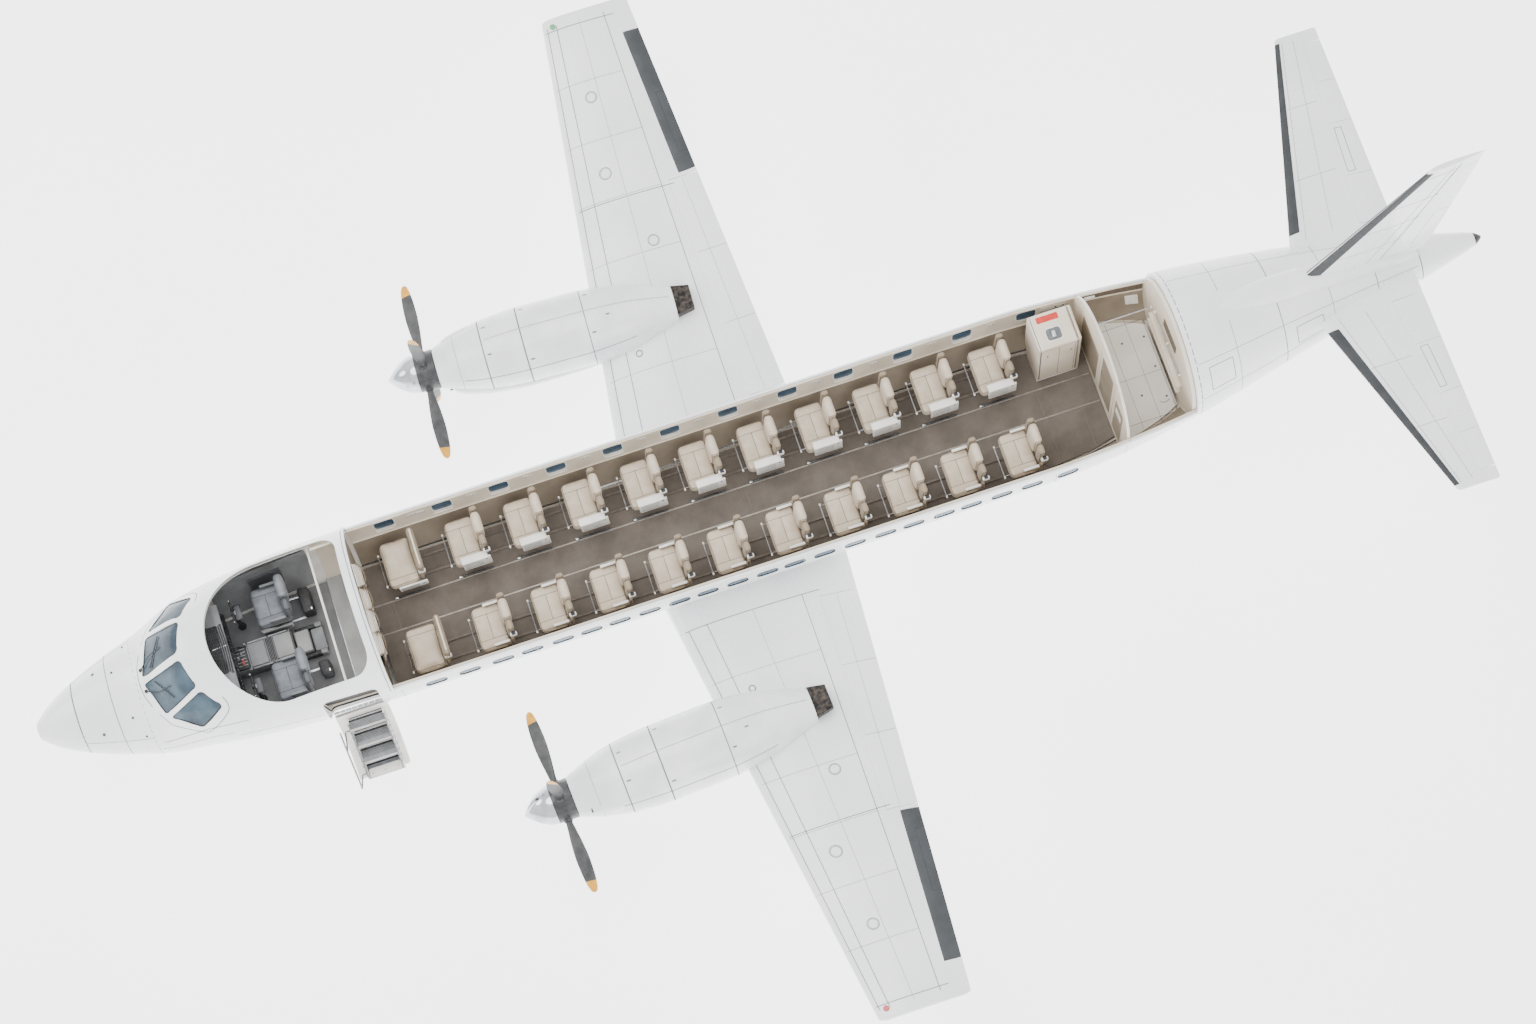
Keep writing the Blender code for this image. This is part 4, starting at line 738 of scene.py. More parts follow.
def build_front():
    start, end = RADOME_END, HOOP[1]
    outer_cut = [loft([hull_ring(pane_outline(c, side), inset) for inset in (-0.08, 0.12)])
                 for c in PANES.values() for side in (1, -1)]
    roof = prism(roof_outline(), lambda u, v, z: world(v, u, z), 0.2, 1.6)
    door = prism(door_outline(), lambda u, v, x: world(u, x, v), 0.6, 1.4)
    holes = together(*outer_cut, roof, door)
    wide_cut = [loft([hull_ring(pane_outline(c, side, 0.01), inset) for inset in (-0.08, 0.12)])
                for c in PANES.values() for side in (1, -1)]
    wide_roof = prism(roof_outline(0.012), lambda u, v, z: world(v, u, z), 0.2, 1.6)
    wide_door = prism(door_outline(0.012), lambda u, v, x: world(u, x, v), 0.6, 1.4)
    wide = together(*wide_cut, wide_roof, wide_door)
    skin = carved(hull_shell(start, end, 0.0, SKIN_DEPTH, step=0.07), holes)
    liner = carved(hull_shell(start + 0.02, end, LINING[0], LINING[1], step=0.14), holes)
    core = carved(hull_shell(start + 0.01, end - 0.01, SKIN_DEPTH, LINING[0], step=0.14), wide)
    piece("front_skin", [("white_enamel", skin)], stands_for=["forward_fuselage"],
          crease=25)
    piece("front_lining", [("white_abs", liner)], crease=25)
    piece("front_core", [("gasket_and_shade", core)], crease=25)

    parts = []
    glass = []
    for corners in PANES.values():
        for side in (1, -1):
            wide_ring, narrow_ring = pane_outline(corners, side, 0.002), pane_outline(corners, side, -0.014)
            outer = [hull_ring(wide_ring, -0.0015), hull_ring(wide_ring, 0.03)]
            inner = [hull_ring(narrow_ring, 0.001), hull_ring(narrow_ring, 0.03)]
            parts.append(("gasket_and_shade", hull_frame_ring(outer, inner)))
            ring = pane_outline(corners, side, -0.008)
            middle = np.mean(np.array(ring), axis=0)
            shares = (1.0, 0.8, 0.6, 0.4, 0.2, 0.02)
            scaled = {k: [tuple(middle + (np.array(p) - middle) * k) for p in ring] for k in shares}
            outside = [hull_ring(scaled[k], PANE_DEPTH) for k in shares]
            inside = [hull_ring(scaled[k], PANE_DEPTH + PANE_THICKNESS) for k in reversed(shares)]
            glass.append(("laminated_glass", loft(outside + inside)))
    piece("windshield_panes", glass, stands_for=["windshield_glass"], crease=40)
    piece("windshield_gaskets", parts)


def build_cabin_walls():
    cutters = []
    rims = []
    glass = []
    for side, stations in ((1, PORT_WINDOWS), (-1, STARBOARD_WINDOWS)):
        for station in stations:
            outline = window_outline(station, side)
            place = lambda u, v, x, side=side: world(u, side * x, v)
            cutters.append(prism(outline, place, 0.85, 1.2))
            wide_ring, narrow_ring = [window_outline(station, side, grow) for grow in (0.003, -0.011)]
            for look, wide_top, narrow_top, foot in (("gasket_and_shade", -0.001, 0.001, 0.020),
                                                     ("white_abs", 0.034, 0.034, 0.0605)):
                outer = [side_ring(wide_ring, side, depth) for depth in (wide_top, foot)]
                inner = [side_ring(narrow_ring, side, depth) for depth in (narrow_top, foot)]
                rims.append((look, hull_frame_ring(outer, inner)))
            ring = window_outline(station, side, -0.004)
            middle = np.mean(np.array(ring), axis=0)
            rings = []
            for depth, shares in ((0.008, (1.0, 0.6, 0.05)), (0.052, (0.05, 0.6, 1.0))):
                rings += [side_ring([tuple(middle + (np.array(p) - middle) * k) for p in ring], side, depth)
                          for k in shares]
            glass.append(("acrylic", loft(rings[::-1])))
    holes = together(*cutters)
    skin = carved(hull_shell(HOOP[1] + 0.001, PARTITION - 0.001, 0.0, SKIN_DEPTH, 80, CUT_HEIGHT, 0.2), holes)
    core = carved(hull_shell(HOOP[1] + 0.01, PARTITION - 0.01, SKIN_DEPTH, LINING[0], 60, CUT_HEIGHT - 0.006,
                             0.3),
                  holes)
    lining = carved(hull_shell(HOOP[1] + 0.001, PARTITION - 0.001, LINING[0], LINING[1], 72,
                               CUT_HEIGHT - 0.002, 0.2),
                    holes)
    piece("cabin_skin", [("white_enamel", skin)], stands_for=["cabin_shell"], crease=25)
    piece("cabin_insulation", [("insulation", core)], crease=25)
    piece("cabin_lining", [("ivory_abs", lining)], crease=25)
    piece("cabin_window_rims", rims)
    piece("cabin_window_panes", glass, crease=40)


def build_aft():
    """Aft fuselage: cut open over the compartment, closed behind it."""
    parts = []
    for outer, inner, look, drop in ((0.0, SKIN_DEPTH, "white_enamel", 0.0),
                                     (SKIN_DEPTH, LINING[0], "insulation", 0.006),
                                     (LINING[0], LINING[1], "ivory_abs", 0.002)):
        opened = hull_shell(PARTITION + 0.001, CUT_END, outer, inner, 72, CUT_HEIGHT - drop, 0.12)
        parts.append((look, opened))
        if look == "white_enamel":
            parts.append((look, hull_shell(CUT_END + 0.0005, TAIL_CONE - 0.003, outer, WALL, 96, None, 0.12)))
    piece("aft_skin", parts, stands_for=["aft_fuselage"], crease=25)


# Wings and tail

WING_JOINT = 1.25
WING_ROOT = {"x": 1.15, "le": 7.57, "te": 9.80, "z": -0.80, "t": 0.155}
WING_TIP = {"x": 6.47, "le": 8.34, "te": 9.44, "z": 0.17, "t": 0.12}
WING_SPLITS = (1.36, 4.16, 4.22, 6.08)
FLAP_DEPTHS = (0.44, 0.36)
AILERON_DEPTHS = (0.21, 0.19)
TAILPLANE_ROOT = {"x": 0.10, "le": 15.73, "te": 17.13, "z": 0.71, "t": 0.10}
TAILPLANE_TIP = {"x": 2.95, "le": 16.55, "te": 17.07, "z": 1.00, "t": 0.09}
ELEVATOR_SHARES = (0.15, 0.955)
ELEVATOR_DEPTHS = (0.38, 0.19)
RUDDER_SHARES = (0.10, 0.90)
RUDDER_DEPTHS = (0.56, 0.27)
FIN_ROOT = {"height": 0.70, "le": 15.54, "te": 17.303, "t": 0.09}
FIN_TIP_LE = (17.02, 3.40)
FIN_TIP_TE = (17.64, 3.50)
DORSAL = ((14.70, 0.03, 0.01), (14.95, 0.12, 0.07), (15.40, 0.17, 0.14), (16.00, 0.17, 0.20),
          (16.60, 0.15, 0.20), (17.00, 0.12, 0.12), (17.24, 0.06, 0.04))
CHORD_STEPS = 22
SKIN_HALF = 0.0015


def thickness_at(share, ratio):
    s = max(share, 0.0)
    form = 0.2969 * math.sqrt(s) - 0.126 * s - 0.3516 * s**2 + 0.2843 * s**3 - 0.1036 * s**4
    return 5 * ratio * form


class Panel:
    """A tapered aerofoil surface between two sections."""

    def __init__(self, root, tip, normal):
        self.root, self.tip, self.normal = root, tip, normal
        self.skin = Skin(self.point)

    def section(self, share):
        le = self.root[0].lerp(self.tip[0], share)
        te = self.root[1].lerp(self.tip[1], share)
        return le, te, self.root[2] + (self.tip[2] - self.root[2]) * share

    def point(self, share, chord):
        """Chord shares above 0 lie on the normal's side, those below 0 on the other."""
        le, te, ratio = self.section(share)
        half = thickness_at(abs(chord), ratio) * (te - le).length + SKIN_HALF * min(1.0, abs(chord) * 40)
        return le.lerp(te, abs(chord)) + self.normal * half * (1 if chord > 0 else -1)

    def ring(self, share):
        """A whole section from trailing edge over the normal's side to leading edge and back."""
        angles = [math.pi * i / CHORD_STEPS for i in range(CHORD_STEPS + 1)]
        shares = [(1 + math.cos(a)) / 2 for a in angles]
        upper = [self.point(share, max(s, 1e-6)) for s in shares]
        lower = [self.point(share, -max(s, 1e-6)) for s in reversed(shares[:-1])]
        return upper + lower

    def solid(self, start, end, tip_round=0.0):
        rings = [self.ring(start + (end - start) * i / 12) for i in range(13)]
        if tip_round:
            le, te, _ = self.section(end)
            out = (self.tip[0] - self.root[0]).normalized()
            middle = te.lerp(le, 0.45)
            last = rings[-1]
            for t in (0.35, 0.65, 0.87, 1.0):
                shrink = math.sqrt(max(1 - t * t, 0.0))
                ring = []
                for p in last:
                    flat = p - self.normal * (p - middle).dot(self.normal)
                    thin = self.normal * (p - middle).dot(self.normal) * max(shrink, 0.02)
                    ring.append(flat.lerp(middle, 0.16 * t**3) + thin + out * tip_round * t)
                rings.append(ring)
        return loft(rings)

    def hinge(self, share, depth):
        le, te, ratio = self.section(share)
        chord = te - le
        at = te - chord.normalized() * depth
        return at, thickness_at(1 - depth / chord.length, ratio) * chord.length + SKIN_HALF


def flat_panel(root, tip, side):
    ends = []
    for row in (root, tip):
        x = side * row["x"]
        ends.append((world(row["le"], x, row["z"]), world(row["te"], x, row["z"]), row["t"]))
    return Panel(ends[0], ends[1], UPWARD)


def fin_panel():
    low = FIN_ROOT["height"]
    root = (world(FIN_ROOT["le"], 0, low), world(FIN_ROOT["te"], 0, low), FIN_ROOT["t"])
    tip = (world(FIN_TIP_LE[0], 0, FIN_TIP_LE[1]), world(FIN_TIP_TE[0], 0, FIN_TIP_TE[1]), FIN_ROOT["t"])
    return Panel(root, tip, TO_PORT)


def hinged(panel, shares, depths, gap=0.006, plane=None):
    """A control surface with a round nose, and the solid that clears its cove in the fixed panel."""
    start, half_start = panel.hinge(shares[0], depths[0])
    end, half_end = panel.hinge(shares[1], depths[1])
    axis = (end - start).normalized()
    up = (panel.normal - axis * panel.normal.dot(axis)).normalized()
    aft = up.cross(axis)
    if aft.y < 0:
        aft = -aft
    plane = plane or axis

    def ring(at, outline):
        points = []
        for u, w in outline:
            point = at + aft * u + up * w
            points.append(point - axis * ((point - at).dot(plane) / axis.dot(plane)))
        return points

    arc = [math.radians(90 + 180 * i / 14) for i in range(15)]
    radii = (half_start * 0.985, half_end * 0.985)

    def surface(radius, depth):
        nose = [(radius * math.cos(a), radius * math.sin(a)) for a in arc]
        return nose + [(depth - 0.004, -0.0025), (depth, -0.0008), (depth, 0.0008), (depth - 0.004, 0.0025)]

    def cove(radius):
        wide = radius + gap
        nose = [(wide * math.cos(a), wide * math.sin(a)) for a in arc]
        return [(1.5, 0.4), (0.0, 0.4)] + nose + [(0.0, -0.4), (1.5, -0.4)]

    moving = loft([ring(start, surface(radii[0], depths[0])), ring(end, surface(radii[1], depths[1]))])
    cutter = loft([ring(start - axis * gap, cove(radii[0])), ring(end + axis * gap, cove(radii[1]))])
    way = {"start": start, "axis": axis, "aft": aft, "up": up, "length": (end - start).length,
           "radii": radii, "depths": depths}
    return moving, cutter, way


def surface_mark(way, along, depth_share, side):
    """A point on a control surface: metres along its hinge, share of its depth."""
    t = along / way["length"]
    depth = way["depths"][0] + (way["depths"][1] - way["depths"][0]) * t
    radius = way["radii"][0] + (way["radii"][1] - way["radii"][0]) * t
    u = depth * depth_share
    w = radius + (0.0025 - radius) * depth_share
    return way["start"] + way["axis"] * along + way["aft"] * u + way["up"] * (w * side)


def surface_line(way, start, end, width=0.005, side=1, steps=6):
    """A strip on a control surface between two places of (metres along, share of the depth)."""
    outer, inner = [], []
    points = []
    for i in range(steps + 1):
        t = i / steps
        a, b = start[0] + (end[0] - start[0]) * t, start[1] + (end[1] - start[1]) * t
        points.append(surface_mark(way, a, b, side))
    up = way["up"] * side
    cross = (points[-1] - points[0]).cross(up).normalized() * (width / 2)
    for p in points:
        outer.append([p - cross + up * 0.0008, p + cross + up * 0.0008])
        inner.append([p - cross - up * 0.002, p + cross - up * 0.002])
    return thick(outer, inner)


def tab_lines(way, look, tab, width=0.005, side=1):
    """Lines round a tab on a control surface."""
    return [(look, surface_line(way, a, b, width, side)) for a, b in zip(tab, tab[1:] + tab[:1])]


def build_wings():
    span = WING_TIP["x"] - WING_ROOT["x"]
    for name, side in (("left", 1), ("right", -1)):
        panel = flat_panel(WING_ROOT, WING_TIP, side)
        if side < 0:
            panel.skin.turn = -1.0
        shares = [(x - WING_ROOT["x"]) / span for x in WING_SPLITS]
        flap, flap_cove, flap_way = hinged(panel, shares[:2], FLAP_DEPTHS)
        aileron, aileron_cove, aileron_way = hinged(panel, shares[2:], AILERON_DEPTHS)
        start = (WING_JOINT + 0.001 - WING_ROOT["x"]) / span
        wing = carved(panel.solid(start, 1.0, 0.05), together(flap_cove, aileron_cove))
        parts = [("white_enamel", wing)]
        parts += wing_marks(panel, side)
        piece(f"wing_skin_{name}", parts, stands_for=[f"wing_{name}"], crease=30)
        marks = []
        length = flap_way["length"]
        for along in (0.33, 0.66):
            marks.append(("sealant",
                          surface_line(flap_way, (length * along, 0.0), (length * along, 0.98), 0.004)))
        marks.append(("lap_joint",
                      surface_line(flap_way, (0.02, 0.42), (length - 0.02, 0.42), 0.005, steps=20)))
        piece(f"flap_skin_{name}", [("white_enamel", flap), *marks], f"flap_{name}", [f"flap_{name}"],
              30)
        length = aileron_way["length"]
        tab = ((0.25, 0.45), (0.25, 0.97), (length * 0.55, 0.97), (length * 0.55, 0.45))
        lines = tab_lines(aileron_way, "gasket_and_shade", tab, 0.004)
        piece(f"aileron_skin_{name}", [("slate_enamel", aileron), *lines], f"aileron_{name}",
              [f"aileron_{name}"], 30)


def wing_marks(panel, side):
    """Skin joints, tank caps and lights of a wing. Shares run from root joint to tip and along the chord."""
    skin = panel.skin
    parts = []
    for chord in (0.16, 0.70):
        parts.append(("sealant", skin.straight((0.02, chord), (0.985, chord), 0.0055)))
        parts.append(("lap_joint", skin.rivets((0.03, chord + 0.012), (0.98, chord + 0.012))))
    parts.append(("sealant", skin.straight((0.02, 0.055), (0.985, 0.055), 0.0055)))
    parts.append(("lap_joint", skin.straight((0.02, 0.42), (0.985, 0.42), 0.004)))
    for share in (0.16, 0.42, 0.56, 0.70, 0.84):
        parts.append(("lap_joint", skin.straight((share, 0.01), (share, 0.70), 0.0045)))
        parts.append(("lap_joint", skin.rivets((share + 0.004, 0.18), (share + 0.004, 0.68))))
    for share in (0.975, 0.555):
        parts.append(("sealant", skin.straight((share, 0.004), (share, 0.80), 0.006)))
    # Access covers and tank caps
    for share, chord, radius in ((0.62, 0.30, 0.075), (0.44, 0.52, 0.07), (0.80, 0.34, 0.07),
                                 (0.20, 0.24, 0.04)):
        parts.append(("sealant", skin.circle(share, chord, radius)))
        parts.append(("sealant", skin.circle(share, chord, radius * 0.82, 0.003)))
    lens = "red_lens" if side > 0 else "green_lens"
    parts.append((lens, skin.button(0.985, 0.12, 0.035, 0.012, 20)))
    return parts


def build_tail():
    panel = fin_panel()
    rudder, cove, way = hinged(panel, RUDDER_SHARES, RUDDER_DEPTHS, 0.012, UPWARD)
    fin = carved(panel.solid(0.0, 1.0, 0.0), cove)
    half_at, rise_at = [Curve([row[0] for row in DORSAL], [row[k] for row in DORSAL]) for k in (1, 2)]
    dorsal = []
    for station in spaced(DORSAL[0][0], DORSAL[-1][0], 0.06):
        half, rise = half_at(station), rise_at(station)
        _, middle, hull_rise = hull_form(station)
        top = middle + hull_rise
        ring = [world(station, half * math.cos(math.pi * i / 20),
                      top - 0.02 + rise * math.sin(math.pi * i / 20))
                for i in range(21)]
        dorsal.append(ring + [world(station, -half, top - 0.12), world(station, half, top - 0.12)])
    shares = [-0.105, -0.085, -0.06, -0.035, -0.015, -0.004, 0.004, 0.015, 0.035, 0.06, 0.085, 0.105]
    skin = panel.skin
    boot = skin.sheet(spaced(0.13, 0.975, 0.05), shares, 0.003, 0.006)
    parts = [("white_enamel", fin), ("white_enamel", loft(dorsal)), ("boot_rubber", boot)]
    for chord, width, look in ((0.5, 0.004, "lap_joint"), (0.62, 0.005, "sealant")):
        for hand in (1, -1):
            parts.append((look, skin.straight((0.1, hand * chord), (0.97, hand * chord), width)))
    for share in (0.3, 0.5, 0.7, 0.93):
        for hand in (1, -1):
            parts.append(("lap_joint", skin.straight((share, hand * 0.11), (share, hand * 0.66), 0.004)))
    piece("fin_skin", parts, stands_for=["fin"], crease=30)
    length = way["length"]
    marks = []
    tab = ((length * 0.1, 0.55), (length * 0.1, 0.98), (length * 0.5, 0.98), (length * 0.5, 0.55))
    for hand in (1, -1):
        marks += tab_lines(way, "sealant", tab, side=hand)
    piece("rudder_skin", [("white_enamel", rudder), *marks], "rudder", ["rudder"], 30)

    for name, side in (("left", 1), ("right", -1)):
        panel = flat_panel(TAILPLANE_ROOT, TAILPLANE_TIP, side)
        panel.skin.turn = float(side)
        surface, cove, way = hinged(panel, ELEVATOR_SHARES, ELEVATOR_DEPTHS)
        plane = carved(panel.solid(0.0, 1.0, 0.03), cove)
        skin = panel.skin
        boot = skin.sheet(spaced(0.19, 0.985, 0.06), shares, 0.003, 0.006)
        parts = [("white_enamel", plane), ("boot_rubber", boot)]
        for chord in (0.16, 0.42):
            parts.append(("lap_joint", skin.straight((0.15, chord), (0.98, chord), 0.004)))
            parts.append(("lap_joint", skin.rivets((0.16, chord + 0.02), (0.98, chord + 0.02))))
        for share in (0.4, 0.7):
            parts.append(("lap_joint", skin.straight((share, 0.12), (share, 0.6), 0.004)))
        piece(f"tailplane_skin_{name}", parts, stands_for=[f"tailplane_{name}"],
              crease=30)
        length = way["length"]
        tab = ((length * 0.28, 0.12), (length * 0.28, 0.42), (length * 0.52, 0.42), (length * 0.52, 0.12))
        marks = tab_lines(way, "sealant", tab, 0.007)
        for along in (0.26, 0.55, 0.78):
            marks.append(("lap_joint",
                          surface_line(way, (length * along, 0.02), (length * along, 0.97), 0.004)))
        piece(f"elevator_skin_{name}", [("white_enamel", surface), *marks], f"elevator_{name}",
              [f"elevator_{name}"], 30)


# Nacelles and propellers

HUB_X, HUB_STATION, HUB_HEIGHT, SPLAY = 2.81, 5.66, -0.35, 2.9
NACELLE = ((0.145, 0.25, 0.25, -0.27), (0.40, 0.34, 0.33, -0.42), (0.80, 0.43, 0.41, -0.50),
           (1.30, 0.465, 0.46, -0.54), (1.90, 0.465, 0.46, -0.55), (2.50, 0.41, 0.42, -0.54),
           (2.85, 0.31, 0.32, -0.49), (3.15, 0.215, 0.20, -0.36))
NACELLE_LINES = [Curve([r[0] for r in NACELLE], [r[k] for r in NACELLE]) for k in (1, 2, 3)]
PROP_RADIUS = 1.15
SPINNER_RADIUS = 0.235
EXHAUST = {"length": 0.22, "wall": 0.02, "halves": (0.19, 0.145), "floor": -0.02, "roof": 0.13}


def nacelle_frame(side):
    hub = world(HUB_STATION, side * HUB_X, HUB_HEIGHT)
    return Matrix.Translation(hub) @ Matrix.Rotation(math.radians(side * SPLAY), 4, "Z")


def nacelle_point(place, aft, angle, inset=0.0):
    half, top, bottom = [line(aft) for line in NACELLE_LINES]
    rise = top if math.cos(angle) > 0 else -bottom
    return place @ Vector(((half - inset) * math.sin(angle), aft, (rise - inset) * math.cos(angle)))


def blade_shape(place, angle, start=0.0, end=1.0):
    """A twisted blade between two shares of its length; the tip is round."""
    radii = (0.10, 0.22, 0.36, 0.55, 0.75, 0.90, 1.02, 1.10, 1.135, PROP_RADIUS)
    chords = (0.085, 0.075, 0.10, 0.145, 0.170, 0.163, 0.140, 0.104, 0.070, 0.022)
    depths = (0.075, 0.055, 0.036, 0.025, 0.019, 0.015, 0.012, 0.010, 0.009, 0.006)
    pitches = (78, 76, 74, 71, 68, 65, 63, 62, 62, 62)
    lines = [Curve(radii, row) for row in (chords, depths, pitches)]
    spin = Matrix.Rotation(math.radians(angle), 4, "Y")
    low, high = radii[0], radii[-1]
    rings = []
    for i in range(33):
        t = start + (end - start) * i / 32
        radius = low + (high - low) * t
        chord, depth, pitch = [line(radius) for line in lines]
        pitch = math.radians(pitch)
        ring = []
        for k in range(24):
            turn = 2 * math.pi * k / 24
            u, w = chord / 2 * math.cos(turn), depth / 2 * math.sin(turn)
            ring.append(place @ spin @ Vector((u * math.cos(pitch) - w * math.sin(pitch),
                                               u * math.sin(pitch) + w * math.cos(pitch), radius)))
        rings.append(ring)
    return loft(rings)


def build_nacelles():
    for name, side in (("left", 1), ("right", -1)):
        place = nacelle_frame(side)
        skin = Skin(lambda aft, angle, place=place: nacelle_point(place, aft, angle), -1.0)
        stations = [0.145, 0.150, 0.165] + spaced(0.19, 3.145, 0.055) + [3.15]
        rings = []
        for aft in stations:
            inset = {0.145: 0.012, 0.150: 0.004, 0.165: 0.0}.get(aft, 0.0)
            rings.append([nacelle_point(place, aft, 2 * math.pi * k / 72, inset) for k in range(72)])
        parts = [("cowl_enamel", loft(rings))]
        parts += nacelle_marks(place, skin, side)
        piece(f"nacelle_skin_{name}", parts, stands_for=[f"nacelle_{name}"], crease=30)
        piece(f"exhaust_duct_{name}", exhaust_parts(place), stands_for=[f"exhaust_{name}"])

        hub_axis = (place.to_3x3() @ Vector((0, -1, 0))).normalized()
        hub = place @ Vector((0, 0, 0))
        edge = [(-0.139, 0.1), (-0.139, SPINNER_RADIUS + 0.011), (-0.135, SPINNER_RADIUS + 0.012),
                (0.098, SPINNER_RADIUS + 0.001), (0.1, SPINNER_RADIUS - 0.003), (0.1, 0.1)]
        band = lathe(edge, hub, hub_axis, 64)
        blades = []
        tip = 0.865
        for angle in (0, 90, 180, 270):
            blades.append(("blade_paint", blade_shape(place, angle, 0.0, tip)))
            blades.append(("amber_enamel", blade_shape(place, angle, tip, 1.0)))
            spin = Matrix.Rotation(math.radians(angle), 4, "Y")
            root = place @ spin @ Vector((0, 0, SPINNER_RADIUS - 0.03))
            out = (place.to_3x3() @ spin.to_3x3() @ UPWARD).normalized()
            collar = [(0.0, 0.062), (0.03, 0.062), (0.036, 0.056), (0.052, 0.052), (0.06, 0.044)]
            blades.append(("hub_enamel", lathe(collar, root, out, 28)))
        piece(f"propeller_blades_{name}", [("hub_enamel", band), *blades], f"propeller_{name}",
              [f"propeller_{name}"], 35)
        profile = []
        for i in range(25):
            t = i / 24
            profile.append((0.1003 + 0.3595 * (1 - t), SPINNER_RADIUS * math.sin(t * math.pi / 2) ** 0.85))
        dome = lathe(profile[::-1], hub, hub_axis, 72)
        groove = lathe([(0.097, SPINNER_RADIUS - 0.006), (0.1035, SPINNER_RADIUS - 0.006)], hub, hub_axis, 64)
        piece(f"spinner_dome_{name}", [("spun_aluminium", dome), ("gasket_and_shade", groove)], f"propeller_{name}",
              [f"spinner_{name}"], 35)


def nacelle_marks(place, skin, side):
    """Cowling joints, latches, scoops and the air intake of a nacelle. Angles run from its crown to port."""
    parts = []
    for aft, look, width in ((0.42, "lap_joint", 0.005), (0.76, "sealant", 0.009), (1.25, "sealant", 0.010),
                             (2.05, "sealant", 0.007)):
        parts.append((look, skin.straight((aft, math.radians(-125)), (aft, math.radians(125)), width,
                                          steps=48)))
    for degrees, start, end, look in ((-6, 0.8, 2.05, "lap_joint"), (-6, 2.05, 3.1, "lap_joint"),
                                      (62, 0.45, 2.6, "sealant"), (-68, 0.45, 2.3, "sealant")):
        a = math.radians(degrees)
        parts.append((look, skin.straight((start, a), (end, a), 0.006, steps=40)))
        parts.append(("lap_joint", skin.rivets((start + 0.04, a + 0.05), (end, a + 0.05), 0.08)))
    for aft, degrees in ((0.80, 20), (0.80, -30), (1.29, 45), (1.29, -45), (2.09, 30), (2.09, -38), (2.3, 8)):
        a = math.radians(degrees)
        parts.append(("sealant", skin.sheet([aft, aft + 0.05], [a - 0.02, a + 0.02], 0.0015)))

    def saddle(aft, around):
        """A point of the cowling, its outward direction and the one across."""
        across = (skin.point(aft, around + 0.01) - skin.point(aft, around - 0.01)).normalized()
        return nacelle_point(place, aft, around), skin.normal(aft, around), across

    inboard = -side
    for hand, start, end, middle, wide, high in ((inboard, 0.24, 2.45, 118, 0.16, 0.075),
                                                 (-inboard, 0.30, 0.78, 62, 0.085, 0.05)):
        rings = []
        around = math.radians(middle) * hand
        for i in range(29):
            t = i / 28
            swell = min(t / 0.05, 1.0) ** 0.5 * (1 - t**3) ** 0.8
            base, up, across = saddle(start + (end - start) * t, around)
            ring = []
            for k in range(17):
                turn = math.pi * k / 16
                ring.append(base + across * wide * (0.75 + 0.25 * swell) * math.cos(turn)
                            + up * (high * swell * math.sin(turn) ** 0.8 - 0.03))
            rings.append(ring)
        parts.append(("cowl_enamel", loft(rings)))
        # The scoop's mouth is a black sheet: painted shade inside the opening
        base, up, across = saddle(start, around)
        turns = [math.pi * k / 16 for k in range(17)]
        shaded_mouth = [[base + across * wide * 0.72 * math.cos(t) + up * (high * 0.5 * math.sin(t) - 0.02)
                  + place.to_3x3() @ Vector((0, d, 0)) for t in turns] for d in (-0.004, 0.05)]
        parts.append(("gasket_and_shade", loft(shaded_mouth)))
    return parts


def exhaust_parts(place):
    """The square duct's four walls and its dark throat, a black plate that is painted shade of the duct's
    depth.
    """
    rings_out, rings_in = [], []
    aft = NACELLE[-1][0]
    for reach in (0.001, 0.10, 0.2185):
        t = reach / EXHAUST["length"]
        half = EXHAUST["halves"][0] + (EXHAUST["halves"][1] - EXHAUST["halves"][0]) * t
        for rings, inset in ((rings_out, 0.0), (rings_in, EXHAUST["wall"])):
            low, high = EXHAUST["floor"] + inset, EXHAUST["roof"] - inset
            w = half - inset
            outline = rounded(((-w, low), (w, low), (w, high), (-w, high)), 0.02, 4)
            rings.append([place @ Vector((x, aft + reach, z)) for x, z in outline])
    walls = thick(rings_out, rings_in, closed=True)
    # Black plate in the throat: painted shade of the duct's depth
    plate = loft([[place @ Vector((x * 0.86, aft + d, 0.055 + (z - 0.055) * 0.8)) for x, z in
                   rounded(((-0.17, 0.0), (0.17, 0.0), (0.17, 0.11), (-0.17, 0.11)), 0.02, 4)]
                  for d in (0.004, 0.02)])
    return [("burnt_steel", walls), ("gasket_and_shade", plate)]


# Soft furnishing

FILLED_STEP = 0.027


def over_floor(x, station, rise):
    return world(station, x, FLOOR_TOP + rise)


def chest(low, high, radius=0.004):
    """A rounded box between two corners (x, station, height over the cabin floor)."""
    return block((low[0], low[1], low[2] + FLOOR_TOP), (high[0], high[1], high[2] + FLOOR_TOP), radius)


def lines_through(start, end, step, *marks):
    """Grid lines about a step apart that pass through the marks."""
    stops = sorted({start, end, *marks})
    lines = [start]
    for low, high in zip(stops, stops[1:]):
        lines += spaced(low, high, step)[1:-1] + [high]
    return lines


